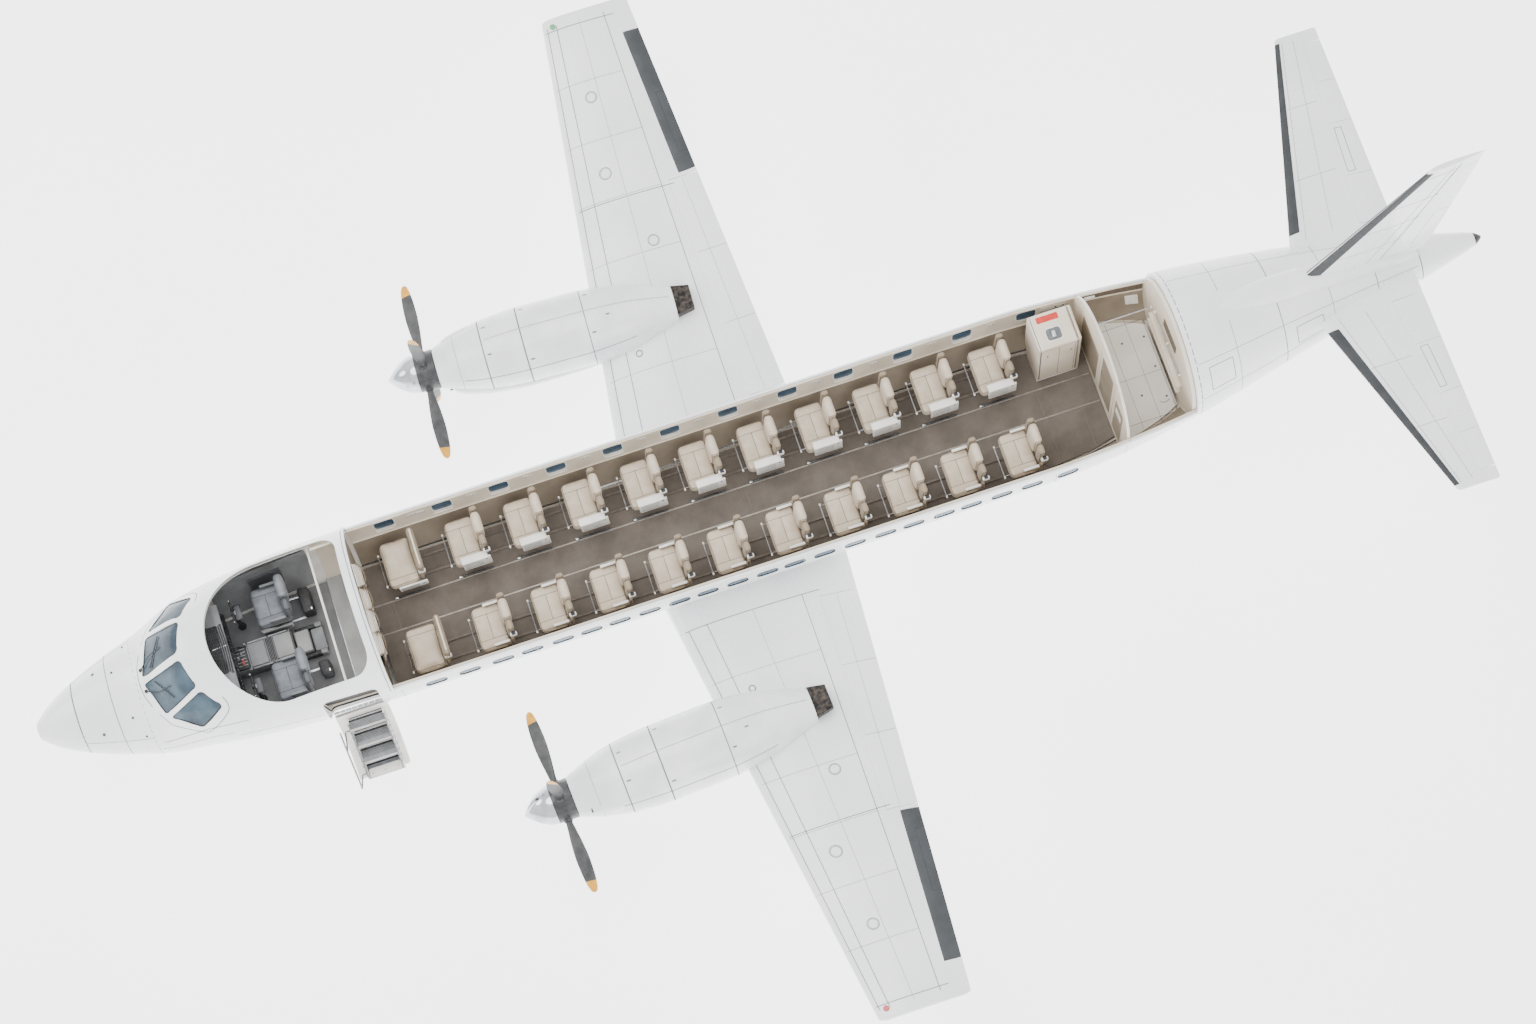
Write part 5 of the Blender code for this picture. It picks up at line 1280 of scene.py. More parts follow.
def pad_form(us, vs, ws, corner, edge):
    """A closed box of grid lines about its middle, its rims rounded by edge and its plan by corner."""
    halves = (us[-1], vs[-1], ws[-1])
    index, points, faces = {}, [], []

    def at(i, j, k):
        if (i, j, k) not in index:
            p = [us[i], vs[j], ws[k]]
            core = [max(min(c, h - edge), edge - h) for c, h in zip(p, halves)]
            way = Vector([c - q for c, q in zip(p, core)])
            p = [q + c for q, c in zip(core, way.normalized() * edge)] if way.length else p
            past = [max(abs(p[n]) - (halves[n] - corner), 0.0) / corner for n in (0, 1)]
            if past[0] and past[1]:
                turned = (past[0] * math.sqrt(1 - past[1] ** 2 / 2),
                          past[1] * math.sqrt(1 - past[0] ** 2 / 2))
                for n in (0, 1):
                    p[n] = math.copysign(halves[n] - corner + turned[n] * corner, p[n])
            index[i, j, k] = len(points)
            points.append(Vector(p))
        return index[i, j, k]

    nu, nv, nw = len(us) - 1, len(vs) - 1, len(ws) - 1
    for i in range(nu):
        for j in range(nv):
            faces.append((at(i, j, nw), at(i + 1, j, nw), at(i + 1, j + 1, nw), at(i, j + 1, nw)))
            faces.append((at(i, j, 0), at(i, j + 1, 0), at(i + 1, j + 1, 0), at(i + 1, j, 0)))
        for k in range(nw):
            faces.append((at(i, 0, k), at(i + 1, 0, k), at(i + 1, 0, k + 1), at(i, 0, k + 1)))
            faces.append((at(i, nv, k), at(i, nv, k + 1), at(i + 1, nv, k + 1), at(i + 1, nv, k)))
    for j in range(nv):
        for k in range(nw):
            faces.append((at(0, j, k), at(0, j, k + 1), at(0, j + 1, k + 1), at(0, j + 1, k)))
            faces.append((at(nu, j, k), at(nu, j + 1, k), at(nu, j + 1, k + 1), at(nu, j, k + 1)))
    return points, faces, index


def filled(points, faces, sewn, pressure, most):
    """Blows a form up as cloth held at its sewn points and smooths it. Its first points stay in order."""
    mesh = bpy.data.meshes.new("filling")
    mesh.from_pydata([tuple(p) for p in points], [], faces)
    obj = bpy.data.objects.new("filling", mesh)
    scene = bpy.context.scene
    scene.collection.objects.link(obj)
    obj.vertex_groups.new(name="sewn").add(sorted(sewn), 1.0, "REPLACE")
    cloth = obj.modifiers.new("pressure", "CLOTH")
    cloth.settings.quality = 5
    cloth.settings.mass = 0.3
    cloth.settings.use_pressure = True
    cloth.settings.uniform_pressure_force = pressure
    cloth.settings.vertex_group_mass = "sewn"
    cloth.settings.effector_weights.gravity = 0.0
    cloth.point_cache.frame_start = 1
    cloth.point_cache.frame_end = 20
    for number in range(1, 21):
        scene.frame_set(number)
    blown = obj.evaluated_get(bpy.context.evaluated_depsgraph_get()).to_mesh()
    for vertex, start in zip(blown.vertices, points):
        way = vertex.co - start
        if way.length > most:
            way *= most / way.length
        mesh.vertices[vertex.index].co = start + way
    obj.modifiers.clear()
    scene.frame_set(1)
    smooth = obj.modifiers.new("smooth", "SUBSURF")
    smooth.levels = smooth.render_levels = 1
    bpy.context.view_layer.update()
    result = bpy.data.meshes.new_from_object(obj.evaluated_get(bpy.context.evaluated_depsgraph_get()))
    shape = [v.co.copy() for v in result.vertices], [tuple(p.vertices) for p in result.polygons]
    bpy.data.objects.remove(obj)
    bpy.data.meshes.remove(result)
    return shape


def upholstered(name, shape, cords, looks):
    """A mesh of a filled form and the cords sewn along paths on it."""
    points, faces = list(shape[0]), list(shape[1])
    skin = len(faces)
    for path, closed in cords:
        cord = pipe([shape[0][i] for i in path], 0.0032, 6, closed)
        start = len(points)
        points += cord[0]
        faces += [tuple(start + i for i in face) for face in cord[1]]
    mesh = bpy.data.meshes.new(name)
    mesh.from_pydata([tuple(p) for p in points], [], faces)
    mesh.polygons.foreach_set("material_index", [0] * skin + [1] * (len(faces) - skin))
    for look in looks:
        mesh.materials.append(LOOKS[look])
    mesh.shade_smooth()
    return mesh


def cushion(name, width, depth, height, seams, crossing, looks):
    """A seat cushion with sewn lines across its top; the crossing joins the two outer seams."""
    us = lines_through(-width / 2, width / 2, FILLED_STEP, *seams)
    vs = lines_through(-depth / 2, depth / 2, FILLED_STEP, *crossing)
    ws = lines_through(-height / 2, height / 2, 0.03)
    points, faces, index = pad_form(us, vs, ws, 0.06, 0.035)
    nu, nv, nw = len(us) - 1, len(vs) - 1, len(ws) - 1
    rows = [[index[us.index(u), j, nw] for j in range(nv + 1)] for u in seams]
    if crossing:
        first, last = us.index(seams[0]), us.index(seams[-1])
        rows += [[index[i, vs.index(v), nw] for i in range(first, last + 1)] for v in crossing]
    sewn = {i for row in rows for i in row} | {n for (i, j, k), n in index.items() if k == 0}
    for row in rows:
        for i in row:
            points[i].z -= 0.005
    shape = filled(points, faces, sewn, 4.0, 0.014)
    rim = [index[i, 0, nw] for i in range(nu)] + [index[nu, j, nw] for j in range(nv)]
    rim += [index[i, nv, nw] for i in range(nu, 0, -1)] + [index[0, j, nw] for j in range(nv, 0, -1)]
    return upholstered(name, shape, [(row, False) for row in rows] + [(rim, True)], looks)


def bolster(name, width, depth, height, looks):
    """An upright pad with a round top, sewn along its front and back rims."""
    us = lines_through(-width / 2, width / 2, FILLED_STEP)
    vs = lines_through(-depth / 2, depth / 2, FILLED_STEP)
    ws = lines_through(-height / 2, height / 2, 0.035)
    points, faces, index = pad_form(us, vs, ws, 0.035, min(depth, width) * 0.42)
    nu, nv, nw = len(us) - 1, len(vs) - 1, len(ws) - 1
    foot = {n for (i, j, k), n in index.items() if k == 0}
    shape = filled(points, faces, foot, 3.0, 0.006)
    ends = []
    for i in (0, nu):
        side = [index[i, 0, k] for k in range(nw + 1)] + [index[i, j, nw] for j in range(1, nv + 1)]
        ends.append((side + [index[i, nv, k] for k in range(nw - 1, -1, -1)], False))
    return upholstered(name, shape, ends, looks)


LEAN = Matrix(((1, 0, 0, 0), (0, 1, 0.12, 0), (0, 0, 1, 0), (0, 0, 0, 1)))


def soft_piece(name, mesh, x, station, rise, matrix=Matrix()):
    obj = bpy.data.objects.new(name, mesh)
    obj.matrix_world = Matrix.Translation(over_floor(x, station, rise)) @ matrix
    bpy.context.scene.collection.objects.link(obj)
    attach(obj, AIRFRAME)


# Seats

SEAT_X = {"left": 0.555, "right": -0.555}
SEAT_WIDTH = {"left": 0.54, "right": 0.57}
FIRST_SEAT, SECOND_SEAT, SEAT_PITCH, SEATS = 4.67, 5.475, 0.735, 11
DECK_X = -0.06
CREW_X, CREW_STATION, CREW_WIDTH, CREW_LIFT = 0.47, 3.04, 0.48, 0.09
CUSHION_MIDDLE, CUSHION_DEPTH = 0.015, 0.35
BACK_MIDDLE, BACK_DEPTH, BACK_LOW, BACK_HIGH = 0.235, 0.098, 0.40, 0.775
# Parts of a backrest from starboard to port, as shares of its width:
# end cap, main pad, folded side pad
BACK_SHARES = (0.0, 0.13, 0.63, 0.90)


def seat_station(number):
    return SECOND_SEAT + SEAT_PITCH * (number - 1) if number else FIRST_SEAT


def backrest(label, forms, x, station, width, lift):
    rise = (BACK_LOW + BACK_HIGH) / 2 + lift
    for form, tag, low, high, shift in forms:
        middle = x - width / 2 + width * (low + high) / 2
        soft_piece(f"{label}_{tag}", form, middle, station + BACK_MIDDLE + shift, rise, LEAN)


def build_seats():
    # The end rolls, side pads and the front row's back bar take the darker hide: painted shade
    cream, shade = ("cream_leather", "welt_and_shade"), ("cream_leather_shade", "welt_and_shade")
    height = BACK_HIGH - BACK_LOW
    for side in ("left", "right"):
        x, width = SEAT_X[side], SEAT_WIDTH[side]
        form = cushion(f"seat_cushion_{side}", width, CUSHION_DEPTH, 0.135, (-0.29 * width, 0.29 * width),
                       (0.0,), cream)
        near_aisle = -0.33 * width if side == "left" else 0.33 * width
        bench = cushion(f"front_row_cushion_{side}", width, CUSHION_DEPTH + 0.02, 0.14, (near_aisle,), (),
                        cream)
        a, b, c, d = BACK_SHARES
        backs = (
            (bolster(f"back_cap_{side}", width * (b - a), BACK_DEPTH, height, shade), "cap", a, b, 0.0),
            (bolster(f"back_pad_{side}", width * (c - b), BACK_DEPTH + 0.008, height, cream), "pad", b, c,
             0.0),
            (bolster(f"back_wing_{side}", width * (d - c), BACK_DEPTH - 0.02, height - 0.03, shade), "wing",
             c, d, 0.004),
        )
        bar = ((bolster(f"front_row_back_{side}", width * 0.98, 0.075, height, shade), "bar", 0.0, 1.0,
                0.012),)
        for number in range(SEATS):
            station = seat_station(number)
            label = f"seat_{side}_{number}"
            seat = bench if number == 0 else form
            soft_piece(f"{label}_cushion", seat, x, station + CUSHION_MIDDLE, 0.361)
            backrest(label, bar if number == 0 else backs, x, station, width, 0.0)
        hardware = []
        for number in range(SEATS):
            hardware += seat_hardware(x, seat_station(number), width, side, number == 0)
        for offset in (-0.11, 0.11):
            low = (x + offset - 0.015, FIRST_SEAT - 0.25, 0.001)
            high = (x + offset + 0.015, seat_station(SEATS - 1) + 0.35, 0.02)
            hardware.append(("carpet_joint", chest(low, high, 0.003)))
        piece(f"seat_frames_{side}", hardware, stands_for=[f"seat_row_{side}"])


def seat_hardware(x, station, width, side, first):
    """Base, pan, front tube, foot bar, armrests and louvred side of one seat."""
    half = width / 2
    parts = [
        ("deck_enamel", chest((x - 0.15, station - 0.09, 0.018), (x + 0.15, station + 0.19, 0.07), 0.01)),
        ("deck_enamel", chest((x - 0.13, station - 0.05, 0.06), (x + 0.13, station + 0.15, 0.26), 0.015)),
        ("white_abs", chest((x - half + 0.03, station - 0.13, 0.255),
                            (x + half - 0.03, station + 0.20, 0.288), 0.01)),
        # Panel under the backrest in the darker hide: painted shade
        ("cream_leather_shade", chest((x - half + 0.02, station + 0.21, 0.28),
                                (x + half - 0.02, station + 0.245, 0.46), 0.012)),
    ]
    tube = [over_floor(x - 0.185, station - 0.13, 0.268), over_floor(x - 0.185, station - 0.215, 0.25),
            over_floor(x + 0.185, station - 0.215, 0.25), over_floor(x + 0.185, station - 0.13, 0.268)]
    parts.append(("anodised_aluminium", pipe(tube, 0.0075, 8)))
    for end in (-0.2, 0.2):
        parts.append(("white_abs",
                      chest((x + end - 0.014, station - 0.226, 0.236),
                            (x + end + 0.014, station - 0.204, 0.262))))
    # Small bracket at the outer end of the backrest
    tip = x + half
    parts.append(("white_abs",
                  chest((tip - 0.052, station + 0.215, 0.60), (tip - 0.006, station + 0.30, 0.665), 0.012)))
    parts.append(("gasket_and_shade",
                  chest((tip - 0.055, station + 0.235, 0.655), (tip - 0.012, station + 0.285, 0.672), 0.006)))
    if first:
        ridge = [over_floor(x - half + 0.05, station + 0.262, 0.789),
                 over_floor(x + half - 0.06, station + 0.262, 0.789)]
        parts.append(("ivory_abs", pipe(ridge, 0.011, 8)))
    if side == "right":
        edge = x + half
        top = 0.40 if first else 0.545
        parts += [
            ("white_abs", chest((edge + 0.012, station - 0.075, 0.275), (edge + 0.036, station + 0.275, top),
                                0.006)),
            ("hub_enamel", chest((edge + 0.004, station - 0.15, 0.012), (edge + 0.026, station + 0.26, 0.034),
                                 0.006)),
            ("anodised_aluminium",
             chest((edge + 0.002, station - 0.18, 0.010), (edge + 0.030, station - 0.135, 0.042))),
        ]
        if not first:
            low, high = (edge - 0.052, station - 0.08, 0.535), (edge + 0.046, station + 0.245, 0.562)
            parts.append(("white_abs", chest(low, high, 0.011)))
        for row in range(4):
            rise = 0.30 + row * 0.026 if first else 0.33 + row * 0.05
            low, high = (edge + 0.03, station - 0.05, rise), (edge + 0.0375, station + 0.17, rise + 0.010)
            parts.append(("sealant", chest(low, high, 0.002)))
        screw = over_floor(edge + 0.034, station + 0.222, top - 0.045)
        parts.append(("gasket_and_shade", lathe([(0.0, 0.012), (0.005, 0.012), (0.006, 0.009)], screw, TO_PORT, 12)))
    elif not first:
        for hand in (1, -1):
            edge = x + hand * half
            low, high = sorted((edge - hand * 0.03, edge - hand * 0.002))
            # Armrest side pads in the darker hide: painted shade
            parts.append(("cream_leather_shade",
                          chest((low, station + 0.01, 0.36), (high, station + 0.205, 0.475), 0.008)))
            parts.append(("white_abs",
                          chest((low - 0.002, station + 0.0, 0.470), (high + 0.002, station + 0.19, 0.492),
                                0.006)))
    return parts


def build_crew_seats():
    grey, dark = ("grey_leather", "dark_cord"), ("slate_leather", "dark_cord")
    height = BACK_HIGH - BACK_LOW
    width = CREW_WIDTH
    form = cushion("crew_cushion", width, CUSHION_DEPTH, 0.135, (-0.29 * width, 0.29 * width), (0.0,), grey)
    backs = (
        (bolster("crew_back_pad", width * 0.64, BACK_DEPTH + 0.008, height, grey), "pad", 0.0, 0.64, 0.0),
        (bolster("crew_back_wing", width * 0.34, BACK_DEPTH - 0.012, height - 0.03, dark), "wing", 0.65, 0.99,
         0.006),
    )
    for side, way in (("left", 1), ("right", -1)):
        x = DECK_X + way * CREW_X
        lift = CREW_LIFT - 0.012
        soft_piece(f"pilot_cushion_{side}", form, x, CREW_STATION + CUSHION_MIDDLE, 0.361 + lift)
        backrest(f"pilot_{side}", backs, x, CREW_STATION, width, lift)
        half = width / 2
        parts = [
            ("deck_enamel", chest((x - 0.13, CREW_STATION - 0.10, 0.0), (x + 0.13, CREW_STATION + 0.2, 0.05),
                                  0.01)),
            ("black_abs", chest((x - 0.11, CREW_STATION - 0.06, 0.04), (x + 0.11, CREW_STATION + 0.16, 0.31),
                                0.02)),
            ("deck_enamel", chest((x - half + 0.02, CREW_STATION - 0.14, 0.325),
                                  (x + half - 0.02, CREW_STATION + 0.22, 0.372), 0.012)),
            ("deck_enamel", chest((x - half + 0.02, CREW_STATION + 0.21, 0.35),
                                  (x + half - 0.02, CREW_STATION + 0.245, 0.56), 0.012)),
        ]
        for hand in (1, -1):
            low, high = sorted((x + hand * (half - 0.035), x + hand * (half + 0.004)))
            parts.append(("slate_leather",
                          chest((low, CREW_STATION - 0.01, 0.44), (high, CREW_STATION + 0.2, 0.575), 0.012)))
            low, high = low + 0.004, high - 0.004
            parts.append(("deck_enamel",
                          chest((low, CREW_STATION - 0.015, 0.568), (high, CREW_STATION + 0.19, 0.592),
                                0.009)))
        # Louvred valance on the seat's inboard side
        edge = x - way * (half + 0.006)
        low, high = sorted((edge, edge - way * 0.016))
        parts.append(("entry_vinyl",
                      chest((low, CREW_STATION - 0.15, 0.20), (high, CREW_STATION + 0.22, 0.33), 0.004)))
        for row in range(3):
            face = edge - way * 0.0165
            low, high = sorted((face + way * 0.004, face - way * 0.001))
            rise = 0.225 + row * 0.032
            parts.append(("black_abs",
                          chest((low, CREW_STATION - 0.13, rise), (high, CREW_STATION + 0.20, rise + 0.012),
                                0.001)))
        parts.append(("anodised_aluminium",
                      chest((x - 0.15, CREW_STATION - 0.2, 0.001), (x - 0.12, CREW_STATION + 0.42, 0.016))))
        parts.append(("anodised_aluminium",
                      chest((x + 0.12, CREW_STATION - 0.2, 0.001), (x + 0.15, CREW_STATION + 0.42, 0.016))))
        # Equipment box behind the seat: padded lid with a quilted grid
        reach = min(0.16, 0.43 - x)
        low, high = (x - 0.16, CREW_STATION + 0.365, 0.0), (x + reach, CREW_STATION + 0.50, 0.27)
        parts.append(("black_abs", chest(low, high, 0.03)))
        for k in range(5):
            u = x - 0.125 + k * (reach + 0.09) / 4
            parts.append(("hub_enamel",
                          chest((u - 0.003, CREW_STATION + 0.38, 0.266),
                                (u + 0.003, CREW_STATION + 0.485, 0.2725), 0.001)))
        for k in range(3):
            s = CREW_STATION + 0.40 + k * 0.032
            parts.append(("hub_enamel",
                          chest((x - 0.14, s - 0.003, 0.266), (x + reach - 0.02, s + 0.003, 0.2725), 0.001)))
        parts.append(("chrome",
                      chest((x + reach - 0.05, CREW_STATION + 0.47, 0.262),
                            (x + reach - 0.015, CREW_STATION + 0.49, 0.276), 0.003)))
        piece(f"pilot_seat_frame_{side}", parts, stands_for=[f"pilot_seat_{side}"])


# Flight deck

YOKE_STATION = 2.64


ENTRY_START, ENTRY_END, ENTRY_PORT_EDGE = 3.765, 4.118, 0.70


def build_flight_deck():
    for side, way in (("left", 1), ("right", -1)):
        x = DECK_X + way * CREW_X
        column = [over_floor(x, YOKE_STATION, 0.002), over_floor(x, YOKE_STATION, 0.35),
                  over_floor(x, YOKE_STATION, 0.62)]
        parts = [("black_abs", pipe(column, (0.026, 0.020, 0.018), 14)),
                 ("black_abs", lathe([(0, 0.05), (0.02, 0.048), (0.05, 0.03), (0.052, 0.02)],
                                     over_floor(x, YOKE_STATION, 0.001), UPWARD, 24))]
        hub = over_floor(x, YOKE_STATION, 0.64)
        parts.append(("black_abs", lathe([(-0.018, 0.03), (-0.014, 0.036), (0.014, 0.036), (0.018, 0.03)],
                                         hub, AFT, 20)))
        parts.append(("dial_glass", lathe([(0.0, 0.02), (0.0195, 0.02)], hub, AFT, 16)))
        for hand in (1, -1):
            arm = [hub + Vector((hand * d, 0.004, r))
                   for d, r in ((0.02, 0.0), (0.06, -0.006), (0.10, 0.0), (0.128, 0.022), (0.134, 0.05))]
            parts.append(("black_abs", pipe(eased(arm), 0.0135, 12)))
            grip = hub + Vector((hand * 0.135, 0.004, 0.045))
            parts.append(("hub_enamel",
                          lathe([(0, 0.0135), (0.004, 0.0165), (0.008, 0.0135)], grip, UPWARD, 12)))
            parts.append(("mark_white",
                          lathe([(0, 0.005), (0.011, 0.005)], hub + Vector((hand * 0.134, 0.004, 0.052)),
                                UPWARD, 8)))
        # Clip board on the yoke with its spring clip
        parts.append(("hub_enamel",
                      chest((x - 0.095, YOKE_STATION + 0.012, 0.598),
                            (x + 0.095, YOKE_STATION + 0.105, 0.612), 0.006)))
        parts.append(("slate_leather",
                      chest((x - 0.08, YOKE_STATION + 0.030, 0.606), (x + 0.08, YOKE_STATION + 0.095, 0.618),
                            0.005)))
        parts.append(("deck_enamel",
                      chest((x - 0.025, YOKE_STATION + 0.020, 0.610),
                            (x + 0.025, YOKE_STATION + 0.038, 0.624), 0.003)))
        piece(f"yoke_{side}", parts, stands_for=[f"control_yoke_{side}"])

        pedals = []
        for hand in (1, -1):
            u = x + hand * 0.085
            pedals.append(("deck_enamel", chest((u - 0.045, 2.36, 0.09), (u + 0.045, 2.385, 0.24), 0.008)))
            for row in range(4):
                rise = 0.115 + row * 0.03
                pedals.append(("gasket_and_shade",
                               chest((u - 0.038, 2.383, rise), (u + 0.038, 2.3885, rise + 0.012), 0.001)))
            pedals.append(("gear_enamel",
                           pipe([over_floor(u, 2.372, 0.12), over_floor(u, 2.345, 0.001)], 0.010, 10)))
        piece(f"rudder_pedals_{side}", pedals)

    build_instruments()
    build_console()
    rows = []
    stations = spaced(ENTRY_START, ENTRY_END, 0.06)
    halves = [hull_half(s, FLOOR_TOP, WALL) - 0.012 for s in stations]
    # The covering stops short of the doorway, where the closed stairs stand
    edges = [(s, u) for s, w in zip(stations, halves) for u in (-w, min(w, ENTRY_PORT_EDGE))]
    outer, inner = [[[world(*edges[2 * k + n], FLOOR_TOP + lift) for n in (0, 1)]
                     for k in range(len(stations))]
                    for lift in (0.004, -0.001)]
    rows.append(("entry_vinyl", thick(outer, inner)))
    for s in (ENTRY_START, 3.93):
        rows.append(("anodised_aluminium" if s < 3.8 else "lap_joint",
                     chest((-0.8, s - 0.006, 0.002), (ENTRY_PORT_EDGE, s + 0.004, 0.007), 0.002)))
    for k in range(3):
        rows.append(("lap_joint",
                     chest((0.42 + 0.09 * k, 3.80, 0.003), (0.426 + 0.09 * k, 4.10, 0.0062), 0.001)))
    piece("entry_floor_covering", rows)

    wall = []
    for side, start, end, high, look in ((1, 2.42, 3.36, 0.18, "deck_enamel"),
                                         (-1, 2.42, 3.66, 0.18, "deck_enamel"),
                                         (-1, 3.78, 4.08, 0.60, "ivory_abs")):
        wall.append((look, wall_sheet(start, end, -0.618, high, TRIM_FACE, 0.012, side, 0.08, 0.08)))
    for side in (1, -1):
        ledge = [world(s, side * (hull_half(s, 0.18, TRIM_FACE) - 0.016), 0.182)
                 for s in spaced(2.45, 3.35 if side > 0 else 3.64, 0.06)]
        wall.append(("black_abs", pipe(ledge, 0.014, 8)))
        low, high = -0.42, -0.15
        outer = [[world(s, side * (hull_half(s, z, TRIM_FACE) - 0.030 - 0.012 * (z - low) / (high - low)), z)
                  for z in (low, high)] for s in spaced(2.9, 3.3, 0.1)]
        inner = [[world(s, side * (hull_half(s, z, TRIM_FACE) - 0.010), z) for z in (low, high)]
                 for s in spaced(2.9, 3.3, 0.1)]
        wall.append(("slate_leather", thick(outer, inner)))
    piece("flight_deck_side_panels", wall)
    reach = hull_half(3.73, 0.385, WALL) - 0.002
    rail = [("white_abs", block((-reach, 3.716, 0.386), (reach, 3.744, 0.419), 0.008))]
    rail.append(("sealant", block((-reach + 0.02, 3.727, 0.383), (reach - 0.02, 3.733, 0.388), 0.001)))
    for side in (1, -1):
        rail.append(("white_abs",
                     block((side * reach - 0.02, 3.70, 0.36), (side * reach + 0.016, 3.76, 0.432), 0.01)))
    piece("curtain_track", rail, stands_for=["curtain_rail"])


def build_instruments():
    """Glareshield with its ribbed hood, the sloping panel under it with displays, dials and switches."""
    x = DECK_X
    outline = rounded(((1.96, 0.255), (2.45, 0.287), (2.515, 0.262), (2.515, 0.205), (2.44, 0.195),
                       (2.36, 0.165), (1.96, 0.235)), 0.02)
    hood = prism(outline, lambda u, v, level: world(u, level, v), x - 0.555, x + 0.555)
    face = [(2.435, 0.195), (2.515, -0.195), (2.405, -0.215), (2.345, 0.165)]
    panel = prism(face, lambda u, v, level: world(u, level, v), x - 0.545, x + 0.545)
    parts = [("deck_enamel", hood), ("black_abs", panel)]

    def on_hood(u, station, over):
        front, crest, low, high, fall = 1.96, 2.45, 0.255, 0.287, 0.385
        rise = (low + (high - low) * (station - front) / (crest - front) if station < crest
                else high - (station - crest) * fall)
        return world(station, u, rise + over)

    for k in range(9):
        station = 2.30 + 0.024 * k
        rib = [on_hood(x - 0.29 + 0.58 * i / 16, station + 0.012 * math.sin(math.pi * i / 16), 0.004)
               for i in range(17)]
        parts.append(("black_abs", pipe(rib, 0.0085, 8)))
    outer = [[on_hood(x + u, s, 0.0035) for u in (-0.3, 0.3)] for s in spaced(2.27, 2.44, 0.05)]
    inner = [[on_hood(x + u, s, -0.004) for u in (-0.3, 0.3)] for s in spaced(2.27, 2.44, 0.05)]
    parts.append(("hub_enamel", thick(outer, inner)))
    parts.append(("mark_white",
                  pipe([on_hood(x - 0.02, 2.33, 0.014), on_hood(x - 0.035, 2.50, 0.012)], 0.006, 8)))
    for u in (-0.3, 0.3):
        parts.append(("black_abs",
                      pipe([on_hood(x + u, 2.24, 0.002), on_hood(x + u, 2.505, 0.004)], 0.009, 8)))

    along = Vector((0, 2.515 - 2.435, -0.195 - 0.195)).normalized()
    out = TO_PORT.cross(along) * -1

    def on_face(u, down, over):
        return world(2.435, x + u, 0.195) + along * down + out * over

    def plate(u, down, wide, tall, over, look):
        corners = rounded(((u - wide / 2, down - tall / 2), (u + wide / 2, down - tall / 2),
                           (u + wide / 2, down + tall / 2), (u - wide / 2, down + tall / 2)), 0.008, 3)
        return look, prism(corners, on_face, -0.002, over)

    for u in (-0.40, 0.40):
        for row, du in ((0.09, -0.075), (0.09, 0.075), (0.235, -0.075), (0.235, 0.075)):
            parts.append(plate(u + du, row, 0.135, 0.125, 0.010, "hub_enamel"))
            parts.append(plate(u + du, row, 0.112, 0.102, 0.0115, "dial_glass"))
            middle = on_face(u + du, row, 0.0115)
            for turn in range(8):
                t = math.pi * turn / 4
                parts.append(("mark_white", pipe([middle + TO_PORT * math.cos(t) * r + along * math.sin(t) * r
                                                  for r in (0.036, 0.046)], 0.0018, 5)))
            t = 0.7 + du * 20 + row * 9
            parts.append(("amber_enamel" if row > 0.2 else "mark_white",
                          pipe([middle, middle + (TO_PORT * math.cos(t) + along * math.sin(t)) * 0.03],
                               0.0022, 5)))
    for column in range(4):
        for row in range(4):
            u, down = -0.165 + 0.11 * column, 0.06 + 0.075 * row
            middle = on_face(u, down, 0.0)
            parts.append(("hub_enamel", lathe([(0, 0.034), (0.010, 0.034), (0.012, 0.030)], middle, out, 20)))
            parts.append(("dial_glass", lathe([(0, 0.028), (0.0128, 0.028)], middle, out, 20)))
            t = 0.4 + 1.3 * column + row
            needle = [middle + out * 0.013,
                      middle + out * 0.013 + (TO_PORT * math.cos(t) + along * math.sin(t)) * 0.022]
            parts.append(("mark_white", pipe(needle, 0.002, 5)))
    for column in range(22):
        u = -0.5 + column * 0.0476
        parts.append(("chrome", pipe([on_face(u, 0.345, 0.0), on_face(u, 0.340, 0.016)], 0.0035, 6)))
    piece("instrument_board", parts, stands_for=["instrument_panel"])


